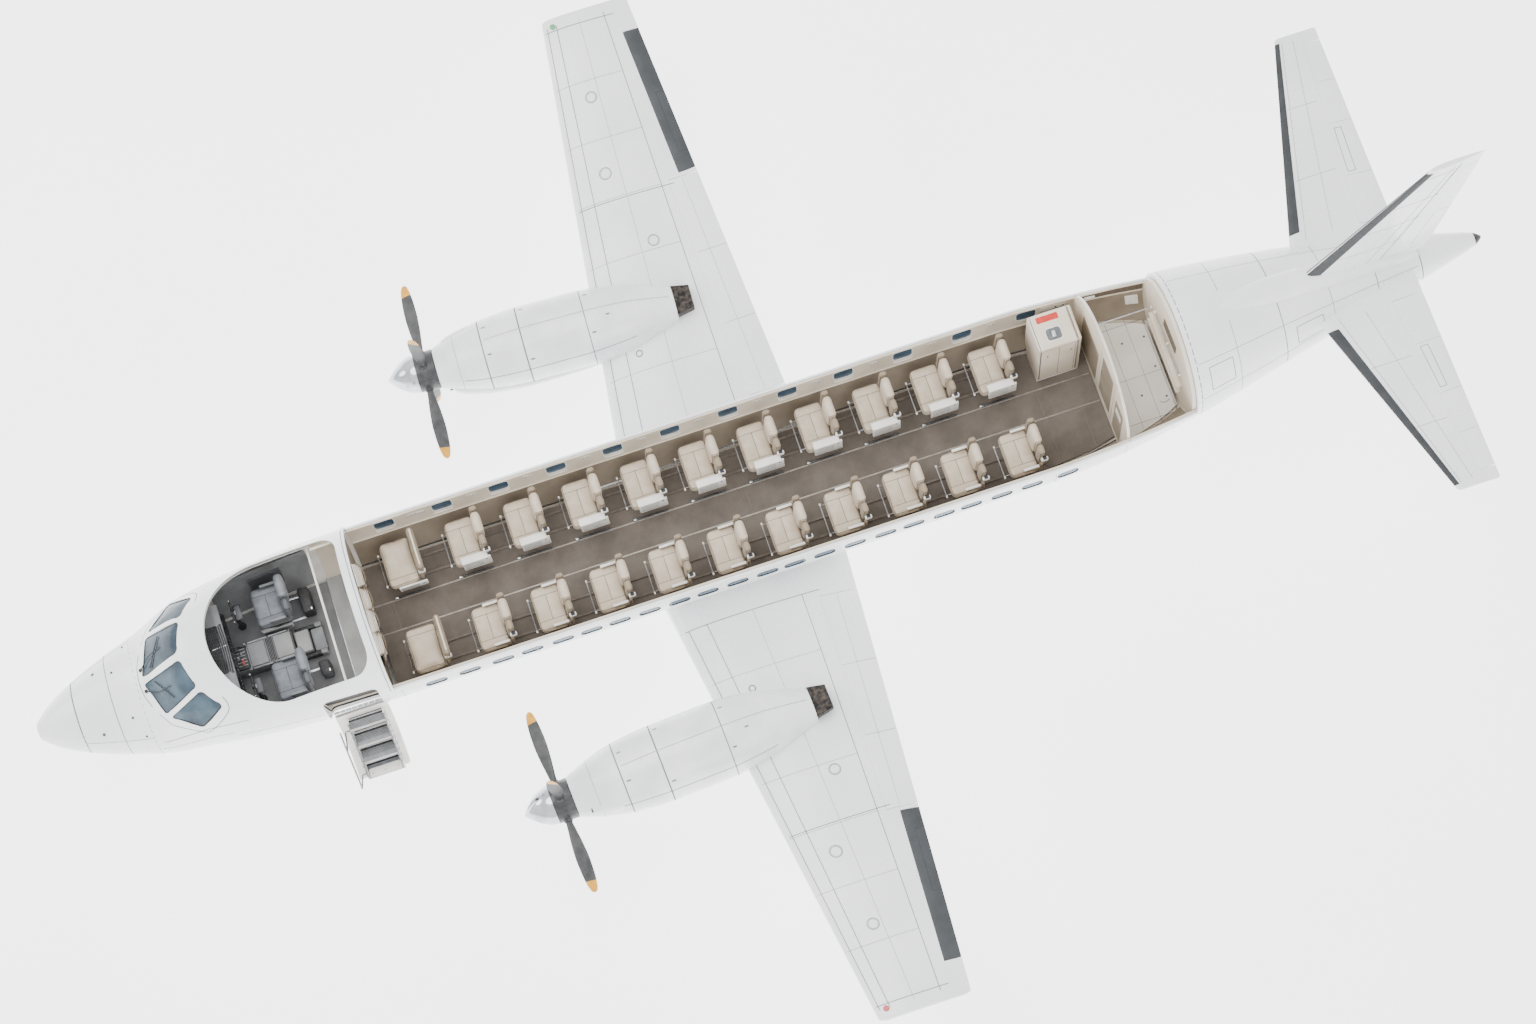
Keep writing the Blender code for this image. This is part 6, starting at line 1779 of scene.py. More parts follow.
def build_console():
    """Centre pedestal: power quadrant, trays, ribbed strip, light side rails and aft box."""
    x = DECK_X
    parts = [("deck_enamel", chest((x - 0.158, 2.44, 0.001), (x + 0.158, 3.198, 0.300), 0.012))]
    trays = ((2.66, 2.865, "deck_enamel"), (2.98, 3.19, "entry_vinyl"))
    for a, b, look in trays:
        parts.append((look, chest((x - 0.142, a, 0.295), (x + 0.142, b, 0.3145), 0.007)))
        parts.append(("gasket_and_shade", chest((x - 0.148, a - 0.006, 0.290), (x + 0.148, b + 0.006, 0.3035), 0.003)))
    for k in range(5):
        s = 2.885 + 0.017 * k
        parts.append(("black_abs", chest((x - 0.145, s, 0.296), (x + 0.145, s + 0.010, 0.3155), 0.003)))
    for u in (-0.165, 0.165):
        rail = [over_floor(x + u, s, 0.30) for s in (2.62, 2.9, 3.19)]
        parts.append(("anodised_aluminium", pipe(rail, 0.0075, 8)))
        for s in (2.66, 2.92, 3.17):
            parts.append(("hub_enamel",
                          chest((x + u - 0.011, s - 0.012, 0.286), (x + u + 0.011, s + 0.012, 0.312), 0.003)))
    # Power quadrant with its levers
    parts.append(("black_abs", chest((x - 0.150, 2.47, 0.28), (x + 0.150, 2.640, 0.335), 0.02)))
    for k, look in enumerate(("hub_enamel", "hub_enamel", "deck_enamel", "deck_enamel", "red_enamel",
                              "red_enamel")):
        u = x - 0.10 + 0.04 * k
        lean = 0.03 if k % 3 else -0.015
        parts.append(("chrome",
                      pipe([over_floor(u, 2.55, 0.33), over_floor(u, 2.55 + lean, 0.40)], 0.004, 6)))
        knob = over_floor(u, 2.55 + lean, 0.395)
        parts.append((look, lathe([(0, 0.008), (0.004, 0.013), (0.016, 0.014), (0.022, 0.008)], knob, UPWARD,
                                  12)))
        parts.append(("mark_white", chest((u - 0.0015, 2.49, 0.332), (u + 0.0015, 2.62, 0.3362), 0.0005)))
    wheel = over_floor(x - 0.135, 2.60, 0.315)
    parts.append(("black_abs",
                  lathe([(0, 0.045), (0.003, 0.05), (0.015, 0.05), (0.018, 0.045)], wheel, TO_PORT, 24)))
    # Lower box and its neighbour behind the console
    parts.append(("deck_enamel", chest((x - 0.14, 3.215, 0.001), (x + 0.14, 3.395, 0.19), 0.014)))
    parts.append(("entry_vinyl", chest((x - 0.128, 3.227, 0.186), (x + 0.128, 3.383, 0.195), 0.006)))
    parts.append(("deck_enamel", chest((x - 0.14, 3.41, 0.001), (x + 0.14, 3.56, 0.10), 0.014)))
    for u, start in ((-0.172, 3.23), (0.172, 3.22)):
        parts.append(("black_abs",
                      chest((x + u - 0.02, start, 0.001), (x + u + 0.02, start + 0.26, 0.12), 0.006)))
        for k in range(4):
            s = start + 0.03 + 0.062 * k
            parts.append(("hub_enamel",
                          pipe([over_floor(x + u, s, 0.118), over_floor(x + u + 0.004, s + 0.01, 0.155)],
                               0.007, 8)))
        parts.append(("deck_enamel",
                      chest((x + u - 0.026, start + 0.25, 0.001), (x + u + 0.026, start + 0.33, 0.135),
                            0.008)))
    piece("centre_console", parts)


# Cabin trim

TRACKS = (-0.24, 0.13)


def wall_sheet(start, end, low, high, inset, depth, side, step, rise=0.06):
    """A closed sheet on the hull's side, its face at an inset and a depth thick."""
    stations, levels = spaced(start, end, step), spaced(low, high, rise)
    outer = [[world(s, side * hull_half(s, z, inset), z) for z in levels] for s in stations]
    inner = [[world(s, side * (hull_half(s, z, inset) - depth), z) for z in levels] for s in stations]
    return thick(outer, inner)


def lining_sheet(start, end, low, high, depth, side, step=0.1):
    """A closed sheet that lies on the cabin's lining."""
    return wall_sheet(start, end, low, high, LINING_FACE, depth, side, step)


def edge_cap(start, end, side, step):
    """A moulding along the cut edge of the wall."""
    path = [world(s, side * hull_half(s, CUT_HEIGHT, 0.047), CUT_HEIGHT + 0.001)
            for s in spaced(start, end, step)]
    return "ivory_abs", pipe(path, 0.0055, 6)


def rim_path(station, inset, lift):
    """Points of the hull's ring over the crown, from one cut edge to the other."""
    edge = hull_angle(station, CUT_HEIGHT, inset)
    return [hull_at(station, -edge + 2 * edge * i / 48, inset - lift) for i in range(49)]


def build_cabin_trim():
    parts = []
    start, end = HOOP[1] + 0.01, PARTITION - 0.035
    stations = spaced(start, end, 0.3)
    for side in (1, -1):
        parts.append(("taupe_abs", lining_sheet(start, end, FLOOR_TOP + 0.003, -0.225, 0.007, side, 0.25)))
        dado = [world(s, side * (hull_half(s, -0.225, LINING_FACE) - 0.006), -0.225) for s in stations]
        parts.append(("ivory_abs", pipe(dado, 0.009, 8)))
        foot = [world(s, side * (hull_half(s, FLOOR_TOP + 0.01, LINING_FACE) - 0.012), FLOOR_TOP + 0.010)
                for s in stations]
        parts.append(("gasket_and_shade", pipe(foot, 0.010, 8)))
        parts.append(edge_cap(start, PARTITION - 0.01, side, 0.3))
    for x in TRACKS:
        parts.append(("track_aluminium", chest((x - 0.009, 4.19, 0.0005), (x + 0.009, 13.31, 0.0045), 0.001)))
    for a, low, high in ((4.45, TRACKS[0], TRACKS[1]), (12.62, TRACKS[0], TRACKS[1]),
                         (12.62, TRACKS[1], 0.86), (13.08, 0.16, 0.86), (8.9, TRACKS[0], TRACKS[1])):
        parts.append(("carpet_joint", chest((low, a - 0.004, 0.0005), (high, a + 0.004, 0.0032), 0.001)))
    piece("cabin_wall_trim", parts)
    piece("wall_fixtures", wall_fixtures())
    build_forward_bulkhead()


def wall_fixtures():
    """Lips under the starboard windows, lamps, vents and small panels on the lining."""
    parts = []
    for station in STARBOARD_WINDOWS[:-1]:
        lip = [world(station + u, -(hull_half(station, z, LINING_FACE) - 0.007), z)
               for u, z in ((-0.115, -0.135), (-0.10, -0.155), (0.0, -0.160), (0.10, -0.155),
                            (0.115, -0.135))]
        parts.append(("white_abs", pipe(eased(lip, 3), 0.008, 8)))
        spot = station + 0.37
        parts.append(("white_abs", lining_sheet(spot - 0.05, spot + 0.05, 0.02, 0.075, 0.006, -1)))
        for d in (-0.025, 0.025):
            at = world(spot + d, -(hull_half(spot, 0.047, LINING_FACE) - 0.004), 0.047)
            parts.append(("sealant", lathe([(0, 0.010), (0.004, 0.010), (0.005, 0.007)], at, TO_PORT, 10)))
    for station in PORT_WINDOWS[::2]:
        parts.append(("white_abs", lining_sheet(station + 0.17, station + 0.25, -0.16, -0.12, 0.005, 1)))
    for a, b in ((4.95, 5.16), (12.92, 13.22)):
        parts.append(("white_abs", lining_sheet(a, b, 0.0, 0.13 if a > 12 else 0.06, 0.006, -1)))
        parts.append(("sealant", lining_sheet(a - 0.004, b + 0.004, -0.008, 0.0, 0.007, -1)))
    handle = [world(13.10 + d, -(hull_half(13.1, 0.07, LINING_FACE) - r), 0.07)
              for d, r in ((0.0, 0.005), (0.005, 0.03), (0.05, 0.036), (0.10, 0.03), (0.105, 0.005))]
    parts.append(("gasket_and_shade", pipe(handle, 0.006, 8)))
    return parts


def bulkhead_outline(station, floor, inset=WALL + 0.0005):
    """The hull's inner ring above a floor, as (x, height) from starboard to port."""
    edge = hull_angle(station, floor, inset)
    half, middle, rise = hull_form(station)
    points = []
    for i in range(45):
        angle = -edge + 2 * edge * i / 44
        points.append(((half - inset) * math.sin(angle), middle + (rise - inset) * math.cos(angle)))
    return points


def build_forward_bulkhead():
    outline = bulkhead_outline(FORWARD_BULKHEAD, FLOOR_TOP)
    place = lambda u, v, level: world(level, u, v)
    parts = [("ivory_abs", prism(outline, place, 4.121, 4.159))]
    piece("forward_bulkhead_panel", parts, stands_for=["forward_bulkhead"])
    lower = [(u * 0.985, FLOOR_TOP + 0.002 + (v - FLOOR_TOP) * 0.985) for u, v in outline if v < 0.30]
    trim = [("taupe_abs", prism(lower, place, 4.158, 4.164))]
    # Three overlapping literature pockets on the aft face, open at the top, and their stiff cards
    for k, (x, tilt, look) in enumerate(((-0.42, 0.05, "ivory_abs"), (-0.12, 0.0, "cream_leather"),
                                         (0.17, 0.03, "ivory_abs"), (0.44, 0.0, "cream_leather"))):
        wide, low, high = 0.33, 0.36 - 0.02 * k, 0.88 - 0.05 * (k % 2)
        rings = []
        for i in range(13):
            t = i / 12
            rise = low + (high - low) * t
            belly = 0.014 + 0.105 * t**0.8
            half = wide / 2 * (1 - 0.06 * (1 - t))
            ring = [over_floor(x + u * half + tilt * (t - 0.5), 4.166 + belly * (1 - 0.55 * abs(u) ** 3),
                               rise) for u in spaced(-1, 1, 0.2)]
            rings.append(ring)
        back = [[over_floor(p.x, 4.165, row[0].z - AXIS_HEIGHT - FLOOR_TOP) for p in row] for row in rings]
        sheet = thick(rings, [[p - Vector((0, 0.005, 0)) for p in row] for row in rings])
        trim.append((look, sheet))
        trim.append((look, thick([[row[0], b[0]] for row, b in zip(rings, back)],
                                 [[row[0] + Vector((0.004, 0, 0)), b[0] + Vector((0.004, 0, 0))]
                                  for row, b in zip(rings, back)])))
        trim.append(("welt_and_shade", pipe(rings[-1], 0.005, 6)))
        trim.append(("welt_and_shade", pipe([row[0] for row in rings], 0.004, 6)))
        trim.append(("welt_and_shade", pipe([row[-1] for row in rings], 0.004, 6)))
        for leaf in range(5):
            front, top = 4.168 + 0.018 * leaf, high + 0.03 - 0.018 * leaf
            low_corner = (x - 0.14 + 0.004 * leaf, front, top - 0.10)
            high_corner = (x + 0.14 - 0.003 * leaf, front + 0.016, top)
            card = "mark_white" if (leaf + k) % 3 == 0 else "ivory_abs"
            trim.append((card, chest(low_corner, high_corner, 0.004)))
    piece("literature_pockets", trim)
    arcs = []
    for station, look, radius, lift in ((4.203, "white_enamel", 0.013, 0.003),
                                        (4.178, "sealant", 0.004, 0.001), (4.228, "gasket_and_shade", 0.004, -0.03)):
        inset = 0.0 if station < HOOP[1] else WALL * 0.5
        arcs.append((look, pipe(rim_path(min(station, HOOP_FACE), inset, lift), radius, 8)))
    plate = rounded(((4.17, -0.04), (HOOP_FACE, -0.04), (HOOP_FACE, 0.04), (4.17, 0.04)), 0.008, 3)
    on_hoop = lambda u, v, level: hull_at(u, math.radians(-58) + v, -level)
    arcs.append(("white_enamel", prism(plate, on_hoop, -0.004, 0.016)))
    piece("hoop_trim", arcs)


# Airstair

HINGE = (hull_half(3.7, DOOR["sill"]) + 0.03, (DOOR["front"] + DOOR["end"]) / 2, DOOR["sill"] + 0.005)
STRINGERS = (3.50, 3.94)
TREADS = ((0.975, 1.12, -0.70), (1.10, 1.29, -0.90), (1.25, 1.45, -1.10), (1.40, 1.585, -1.30))
RAIL_PATH = ((3.41, 1.16, -0.455), (3.41, 1.27, -0.55), (3.41, 1.36, -0.67), (3.41, 1.71, -1.13),
             (3.44, 1.51, -1.31), (3.4995, 1.51, -1.31))
RAIL_POST = ((3.41, 1.36, -0.67), (3.44, 1.075, -0.79), (3.4995, 1.075, -0.79))


def swung(shape):
    """Turns a shape drawn with the door closed to the open door."""
    hinge = world(HINGE[1], HINGE[0], HINGE[2])
    turn = Matrix.Rotation(math.radians(134), 4, "Y")
    return moved(shape, Matrix.Translation(hinge) @ turn @ Matrix.Translation(-hinge))


def door_sheet(outer, inner, front, end, low, high, steps=14):
    levels = spaced(low, high, (high - low) / steps)
    rows = [[[world(s, hull_half(s, z, inset), z) for z in levels] for s in spaced(front, end, 0.08)]
            for inset in (outer, inner)]
    return thick(rows[0], rows[1])


def build_airstair():
    front, end = DOOR["front"] + 0.008, DOOR["end"] - 0.008
    low, high = DOOR["sill"] + 0.012, DOOR["head"] - 0.008
    parts = [("white_enamel", swung(door_sheet(0.0, 0.022, front, end, low, high))),
             ("gasket_and_shade", swung(door_sheet(0.022, 0.034, front + 0.012, end - 0.012, low + 0.012,
                                         high - 0.012))),
             ("white_abs", swung(door_sheet(0.034, 0.058, front + 0.004, end - 0.004, low + 0.004,
                                            high - 0.004)))]
    # Pressed ribs across the door's inner panel, in black: painted shade in the gaps between the treads
    for k in range(7):
        rise = low + 0.10 + k * 0.125
        parts.append(("gasket_and_shade",
                      swung(door_sheet(0.056, TRIM_FACE, STRINGERS[0] + 0.03, STRINGERS[1] - 0.01, rise,
                                       rise + 0.02, 2))))
    for number, station in enumerate(STRINGERS):
        rings = []
        levels = spaced(low + 0.09, high - 0.002, 0.06)
        for s in (station, station + 0.02):
            edge = [(0.86, high), (0.76, high - 0.1), (0.72, low + 0.22), (0.74, low + 0.12)]
            rings.append([world(s, x, z)
                          for x, z in [(hull_half(s, z, WALL - 0.01), z) for z in levels] + edge])
        parts.append(("white_abs", swung(loft(rings))))
        # Light rails along both edges of the stringer, dark ribs on its outer face
        out = station + 0.023 if number else station - 0.003
        for x0, x1, a, b in ((0.86, 0.76, high - 0.01, high - 0.1), (0.76, 0.722, high - 0.1, low + 0.22),
                             (0.722, 0.74, low + 0.22, low + 0.12)):
            parts.append(("satin_steel",
                          swung(pipe([world(station + 0.01, x0, a), world(station + 0.01, x1, b)], 0.0115,
                                     8))))
        for k in range(9):
            rise = low + 0.16 + k * 0.085
            reach = hull_half(station, rise, WALL) - 0.02
            parts.append(("hub_enamel",
                          swung(pipe([world(out, 0.745, rise), world(out, reach, rise)], 0.004, 6))))
    for x, outer, top in TREADS:
        a, b = STRINGERS[0] + 0.006, STRINGERS[1] + 0.014
        parts.append(("step_rubber", block((x, a, top - 0.022), (outer, b, top), 0.006)))
        # Black strip at each tread's inner edge, under the step above: painted shade
        parts.append(("gasket_and_shade",
                      block((x + 0.002, a + 0.006, top - 0.004), (x + 0.028, b - 0.006, top + 0.0012),
                            0.001)))
        for k in range(5):
            u = x + 0.042 + k * 0.016
            if u < outer - 0.035:
                parts.append(("gasket_and_shade",
                              block((u, a + 0.01, top - 0.002), (u + 0.004, b - 0.01, top + 0.0015), 0.0008)))
        for u in (outer - 0.010, outer - 0.022):
            parts.append(("white_abs",
                          block((u - 0.0035, a + 0.003, top - 0.004), (u + 0.0035, b - 0.003, top + 0.0025),
                                0.002)))
    # Foot plate at the stairs' lower end with its screws
    x, outer, top = TREADS[-1]
    corners = rounded(((x + 0.07, 3.53), (outer - 0.004, 3.53), (outer - 0.004, 3.93), (x + 0.07, 3.93)),
                      0.03, 4)
    parts.append(("white_abs", prism(corners, lambda u, v, z: world(v, u, z), top - 0.002, top + 0.003)))
    for s in (3.57, 3.73, 3.89):
        screw = world(s, x + 0.13, top + 0.003)
        parts.append(("gasket_and_shade", lathe([(-0.001, 0.006), (0.001, 0.006)], screw, UPWARD, 10)))
    # Hinge barrel in segments
    for k in range(9):
        s = DOOR["front"] + 0.012 + k * 0.0715
        tube = [world(s, HINGE[0], HINGE[2]), world(s + 0.064, HINGE[0], HINGE[2])]
        parts.append(("anodised_aluminium", pipe(tube, 0.0155, 16)))
    bar = [world(DOOR["front"] + 0.001, HINGE[0], HINGE[2]), world(DOOR["end"] - 0.001, HINGE[0], HINGE[2])]
    parts.append(("chrome", pipe(bar, 0.009, 12)))
    # Latch handle and its pins at the door's upper edge
    for s in (3.47, 3.95):
        parts.append(("chrome", swung(pipe([world(s, hull_half(s, high - 0.04, 0.03), high - 0.04),
                                            world(s, hull_half(s, high - 0.04, 0.03) - 0.02, high - 0.004)],
                                            0.009, 12))))
    parts.append(("chrome",
                  swung(pipe([world(3.62, hull_half(3.7, 0.18, 0.075), 0.18),
                              world(3.80, hull_half(3.7, 0.18, 0.075), 0.18)], 0.010, 12))))
    piece("airstair", parts, "airstair_door", ["airstair_door"], crease=30)

    rail = [world(a, b, c) for a, b, c in RAIL_PATH]
    post = [world(a, b, c) for a, b, c in RAIL_POST]
    metal = [("satin_steel", pipe(rail[:4], 0.0118, 12)), ("satin_steel", pipe(rail[3:], 0.0105, 12)),
             ("hub_enamel", pipe(post, 0.009, 12))]
    for place, size in ((rail[0], 0.0125), (rail[3], 0.0125), (rail[4], 0.012), (post[0], 0.0125),
                        (post[1], 0.0105)):
        ball = [(-size, 0.004), (-size * 0.7, size * 0.8), (0, size), (size * 0.7, size * 0.8), (size, 0.004)]
        metal.append(("anodised_aluminium", lathe(ball, place, UPWARD, 12)))
    piece("airstair_rail", metal, "airstair_door", ["airstair_handrail"])

    frame_parts = []
    outer, inner = door_outline(0.010), door_outline(-0.002)
    for depth, look in ((-0.0015, "white_abs"), (0.030, "gasket_and_shade"), (0.046, "ivory_abs")):
        rings = [side_ring(outer, 1, depth), side_ring(outer, 1, depth + 0.014)]
        lips = [side_ring(inner, 1, depth), side_ring(inner, 1, depth + 0.014)]
        frame_parts.append((look, hull_frame_ring(rings, lips)))
    # Threshold bar and the beige curved lining on both sides of the doorway
    frame_parts.append(("anodised_aluminium",
                        block((0.66, DOOR["front"] + 0.05, FLOOR_TOP + 0.0005),
                              (0.71, DOOR["end"] - 0.05, FLOOR_TOP + 0.006), 0.002)))
    for s0, s1 in ((3.20, 3.372), (4.048, 4.08)):
        frame_parts.append(("ivory_abs", wall_sheet(s0, s1, -0.60, 0.40, TRIM_FACE, 0.02, 1, 0.05, 0.08)))
    piece("doorway_frame", frame_parts, crease=30)


# Cabinet, partition and aft compartment

CABINET_STATIONS = (12.67, 13.21)
CABINET_TOP = 0.48


def build_cabinet():
    a, b = CABINET_STATIONS
    x0, x1 = -0.343, -0.80
    lid = CABINET_TOP - 0.004
    foot = FLOOR_TOP + 0.001
    outline = [(x0, foot), (x0, lid - 0.02), (x0 - 0.003, lid - 0.009), (x0 - 0.010, lid - 0.002),
               (x0 - 0.018, lid),
               (x1 + 0.03, lid), (x1 + 0.009, lid - 0.009), (x1, lid - 0.03), (x1, -0.35), (-0.68, foot)]
    rings = []
    for s, inset in ((a, 0.010), (a + 0.004, 0.003), (a + 0.012, 0.0), (b - 0.030, 0.0), (b - 0.012, 0.006),
                     (b - 0.003, 0.016), (b, 0.03)):
        ring = []
        for x, z in outline:
            ring.append(world(s, min(max(x, x1 + inset), x0 - inset), min(z, lid - inset)))
        rings.append(ring)
    parts = [("ivory_abs", loft(rings))]
    # Recessed grey latch on the top, with its lip
    place = lambda u, v, z: world(v, u, z)
    latch = rounded(((-0.58, 12.82), (-0.43, 12.82), (-0.43, 13.00), (-0.58, 13.00)), 0.04, 5)
    lip = rounded(((-0.595, 12.805), (-0.415, 12.805), (-0.415, 13.015), (-0.595, 13.015)), 0.05, 5)
    parts.append(("white_abs", prism(lip, place, lid - 0.003, lid + 0.002)))
    parts.append(("sealant", prism(latch, place, lid - 0.003, lid + 0.0026)))
    parts.append(("chrome", block((-0.545, 12.89, lid - 0.002), (-0.465, 12.93, lid + 0.0038), 0.002)))
    # Blank red placard along the top's outboard edge
    plate = rounded(((-0.755, 12.76), (-0.675, 12.76), (-0.675, 13.03), (-0.755, 13.03)), 0.006, 3)
    parts.append(("red_enamel", prism(plate, place, lid - 0.002, lid + 0.0025)))
    # White end panel with a double line around the rounded aft edge, dark joints on the aisle face
    for s, look in ((b - 0.055, "sealant"), (b - 0.042, "white_abs"), (a + 0.024, "sealant")):
        strip = [world(s, x, z) for x, z in outline[:8]]
        outer = [[p + Vector((0.0, -0.004, 0.0)), p + Vector((0.0, 0.004, 0.0))] for p in strip]
        inner = [[p + (world(s, -0.57, 0.0) - p) * 0.02 + Vector((0.0, d, 0.0)) for d in (-0.004, 0.004)]
                 for p in strip]
        parts.append((look, thick(outer, inner)))
    face = x0 + 0.001
    low, high = foot + 0.05, CABINET_TOP - 0.07
    for s in (12.93, 12.70, 13.13):
        parts.append(("sealant", block((face - 0.004, s - 0.003, low), (face, s + 0.003, high), 0.0005)))
    for z in (low, high):
        parts.append(("sealant", block((face - 0.004, 12.70, z - 0.003), (face, 13.13, z + 0.003), 0.0005)))
    for z in (foot + 0.015, foot + 0.03):
        parts.append(("white_abs",
                      block((face - 0.004, 12.672, z - 0.005), (face + 0.001, 13.18, z + 0.004), 0.001)))
    for s, look in ((12.78, "chrome"), (13.08, "sealant")):
        parts.append((look, lathe([(-0.006, 0.018), (0.0026, 0.015)], world(s, x0, 0.20), TO_PORT, 20)))
    piece("locker_casing", parts, stands_for=["exit_cabinet"], crease=35)


def build_partition():
    place = lambda u, v, level: world(level, u, v)
    outline = bulkhead_outline(13.345, FLOOR_TOP)
    wall = prism(outline, place, 13.3295, 13.3588)
    hole = block((-0.036, 13.0, FLOOR_TOP + 0.034), (0.436, 13.6, 0.836), 0.02)
    parts = [("ivory_abs", carved(wall, hole))]
    top = [p for p in outline if p[1] > FLOOR_TOP + 0.01]
    for level, look, width in ((13.3335, "white_abs", 0.0045), (13.3545, "white_abs", 0.0045),
                               (13.344, "gasket_and_shade", 0.003)):
        parts.append((look, pipe([place(u * 0.997, v * 0.997, level) for u, v in top], width, 6)))
    # Pad of taupe panels each side of the doorway and a waste flap
    for low, high in ((0.50, 0.74), (-0.62, -0.10)):
        corners = rounded(((low, -0.50), (high, -0.50), (high, 0.42), (low, 0.42)), 0.03, 4)
        parts.append(("taupe_abs", prism(corners, place, 13.327, 13.3305)))
    parts.append(("white_abs",
                  prism(rounded(((0.53, 0.10), (0.70, 0.10), (0.70, 0.26), (0.53, 0.26)), 0.02, 4), place,
                        13.3250, 13.3290)))
    piece("partition_wall", parts, stands_for=["aft_partition"], crease=35)

    low, high, bottom, head = -0.03, 0.42, FLOOR_TOP + 0.04, 0.83
    leaf = rounded(((low + 0.0005, bottom + 0.001), (high - 0.0005, bottom + 0.001),
                    (high - 0.0005, head - 0.0005), (low + 0.0005, head - 0.0005)), 0.03, 4)
    doors = [("ivory_abs", prism(leaf, place, 13.3305, 13.3535))]
    inset = rounded(((low + 0.05, bottom + 0.12), (high - 0.05, bottom + 0.12), (high - 0.05, head - 0.16),
                     (low + 0.05, head - 0.16)), 0.03, 4)
    doors.append(("taupe_abs", prism(inset, place, 13.3302, 13.3538)))
    doors.append(("white_abs",
                  block((low + 0.001, 13.3301, head - 0.035), (high - 0.001, 13.3539, head - 0.0002), 0.006)))
    doors.append(("gasket_and_shade",
                  block((low + 0.01, 13.339, head - 0.004), (high - 0.01, 13.345, head - 0.00005), 0.001)))
    # The curved handle lies in the leaf's thickness
    for level in (13.3303, 13.3537):
        grip = [place(low + 0.055 + d, z, level)
                for d, z in ((0.0, 0.22), (0.012, 0.17), (0.012, 0.09), (0.0, 0.04))]
        doors.append(("gasket_and_shade", pipe(eased(grip), 0.0032, 8)))
    doors.append(("chrome",
                  pipe([world(13.342, 0.42, bottom - 0.005), world(13.342, 0.42, bottom + 0.03)], 0.0078,
                       14)))
    piece("partition_leaf", doors, "partition_door", ["partition_door"], crease=35)


NET_ROD = -0.54


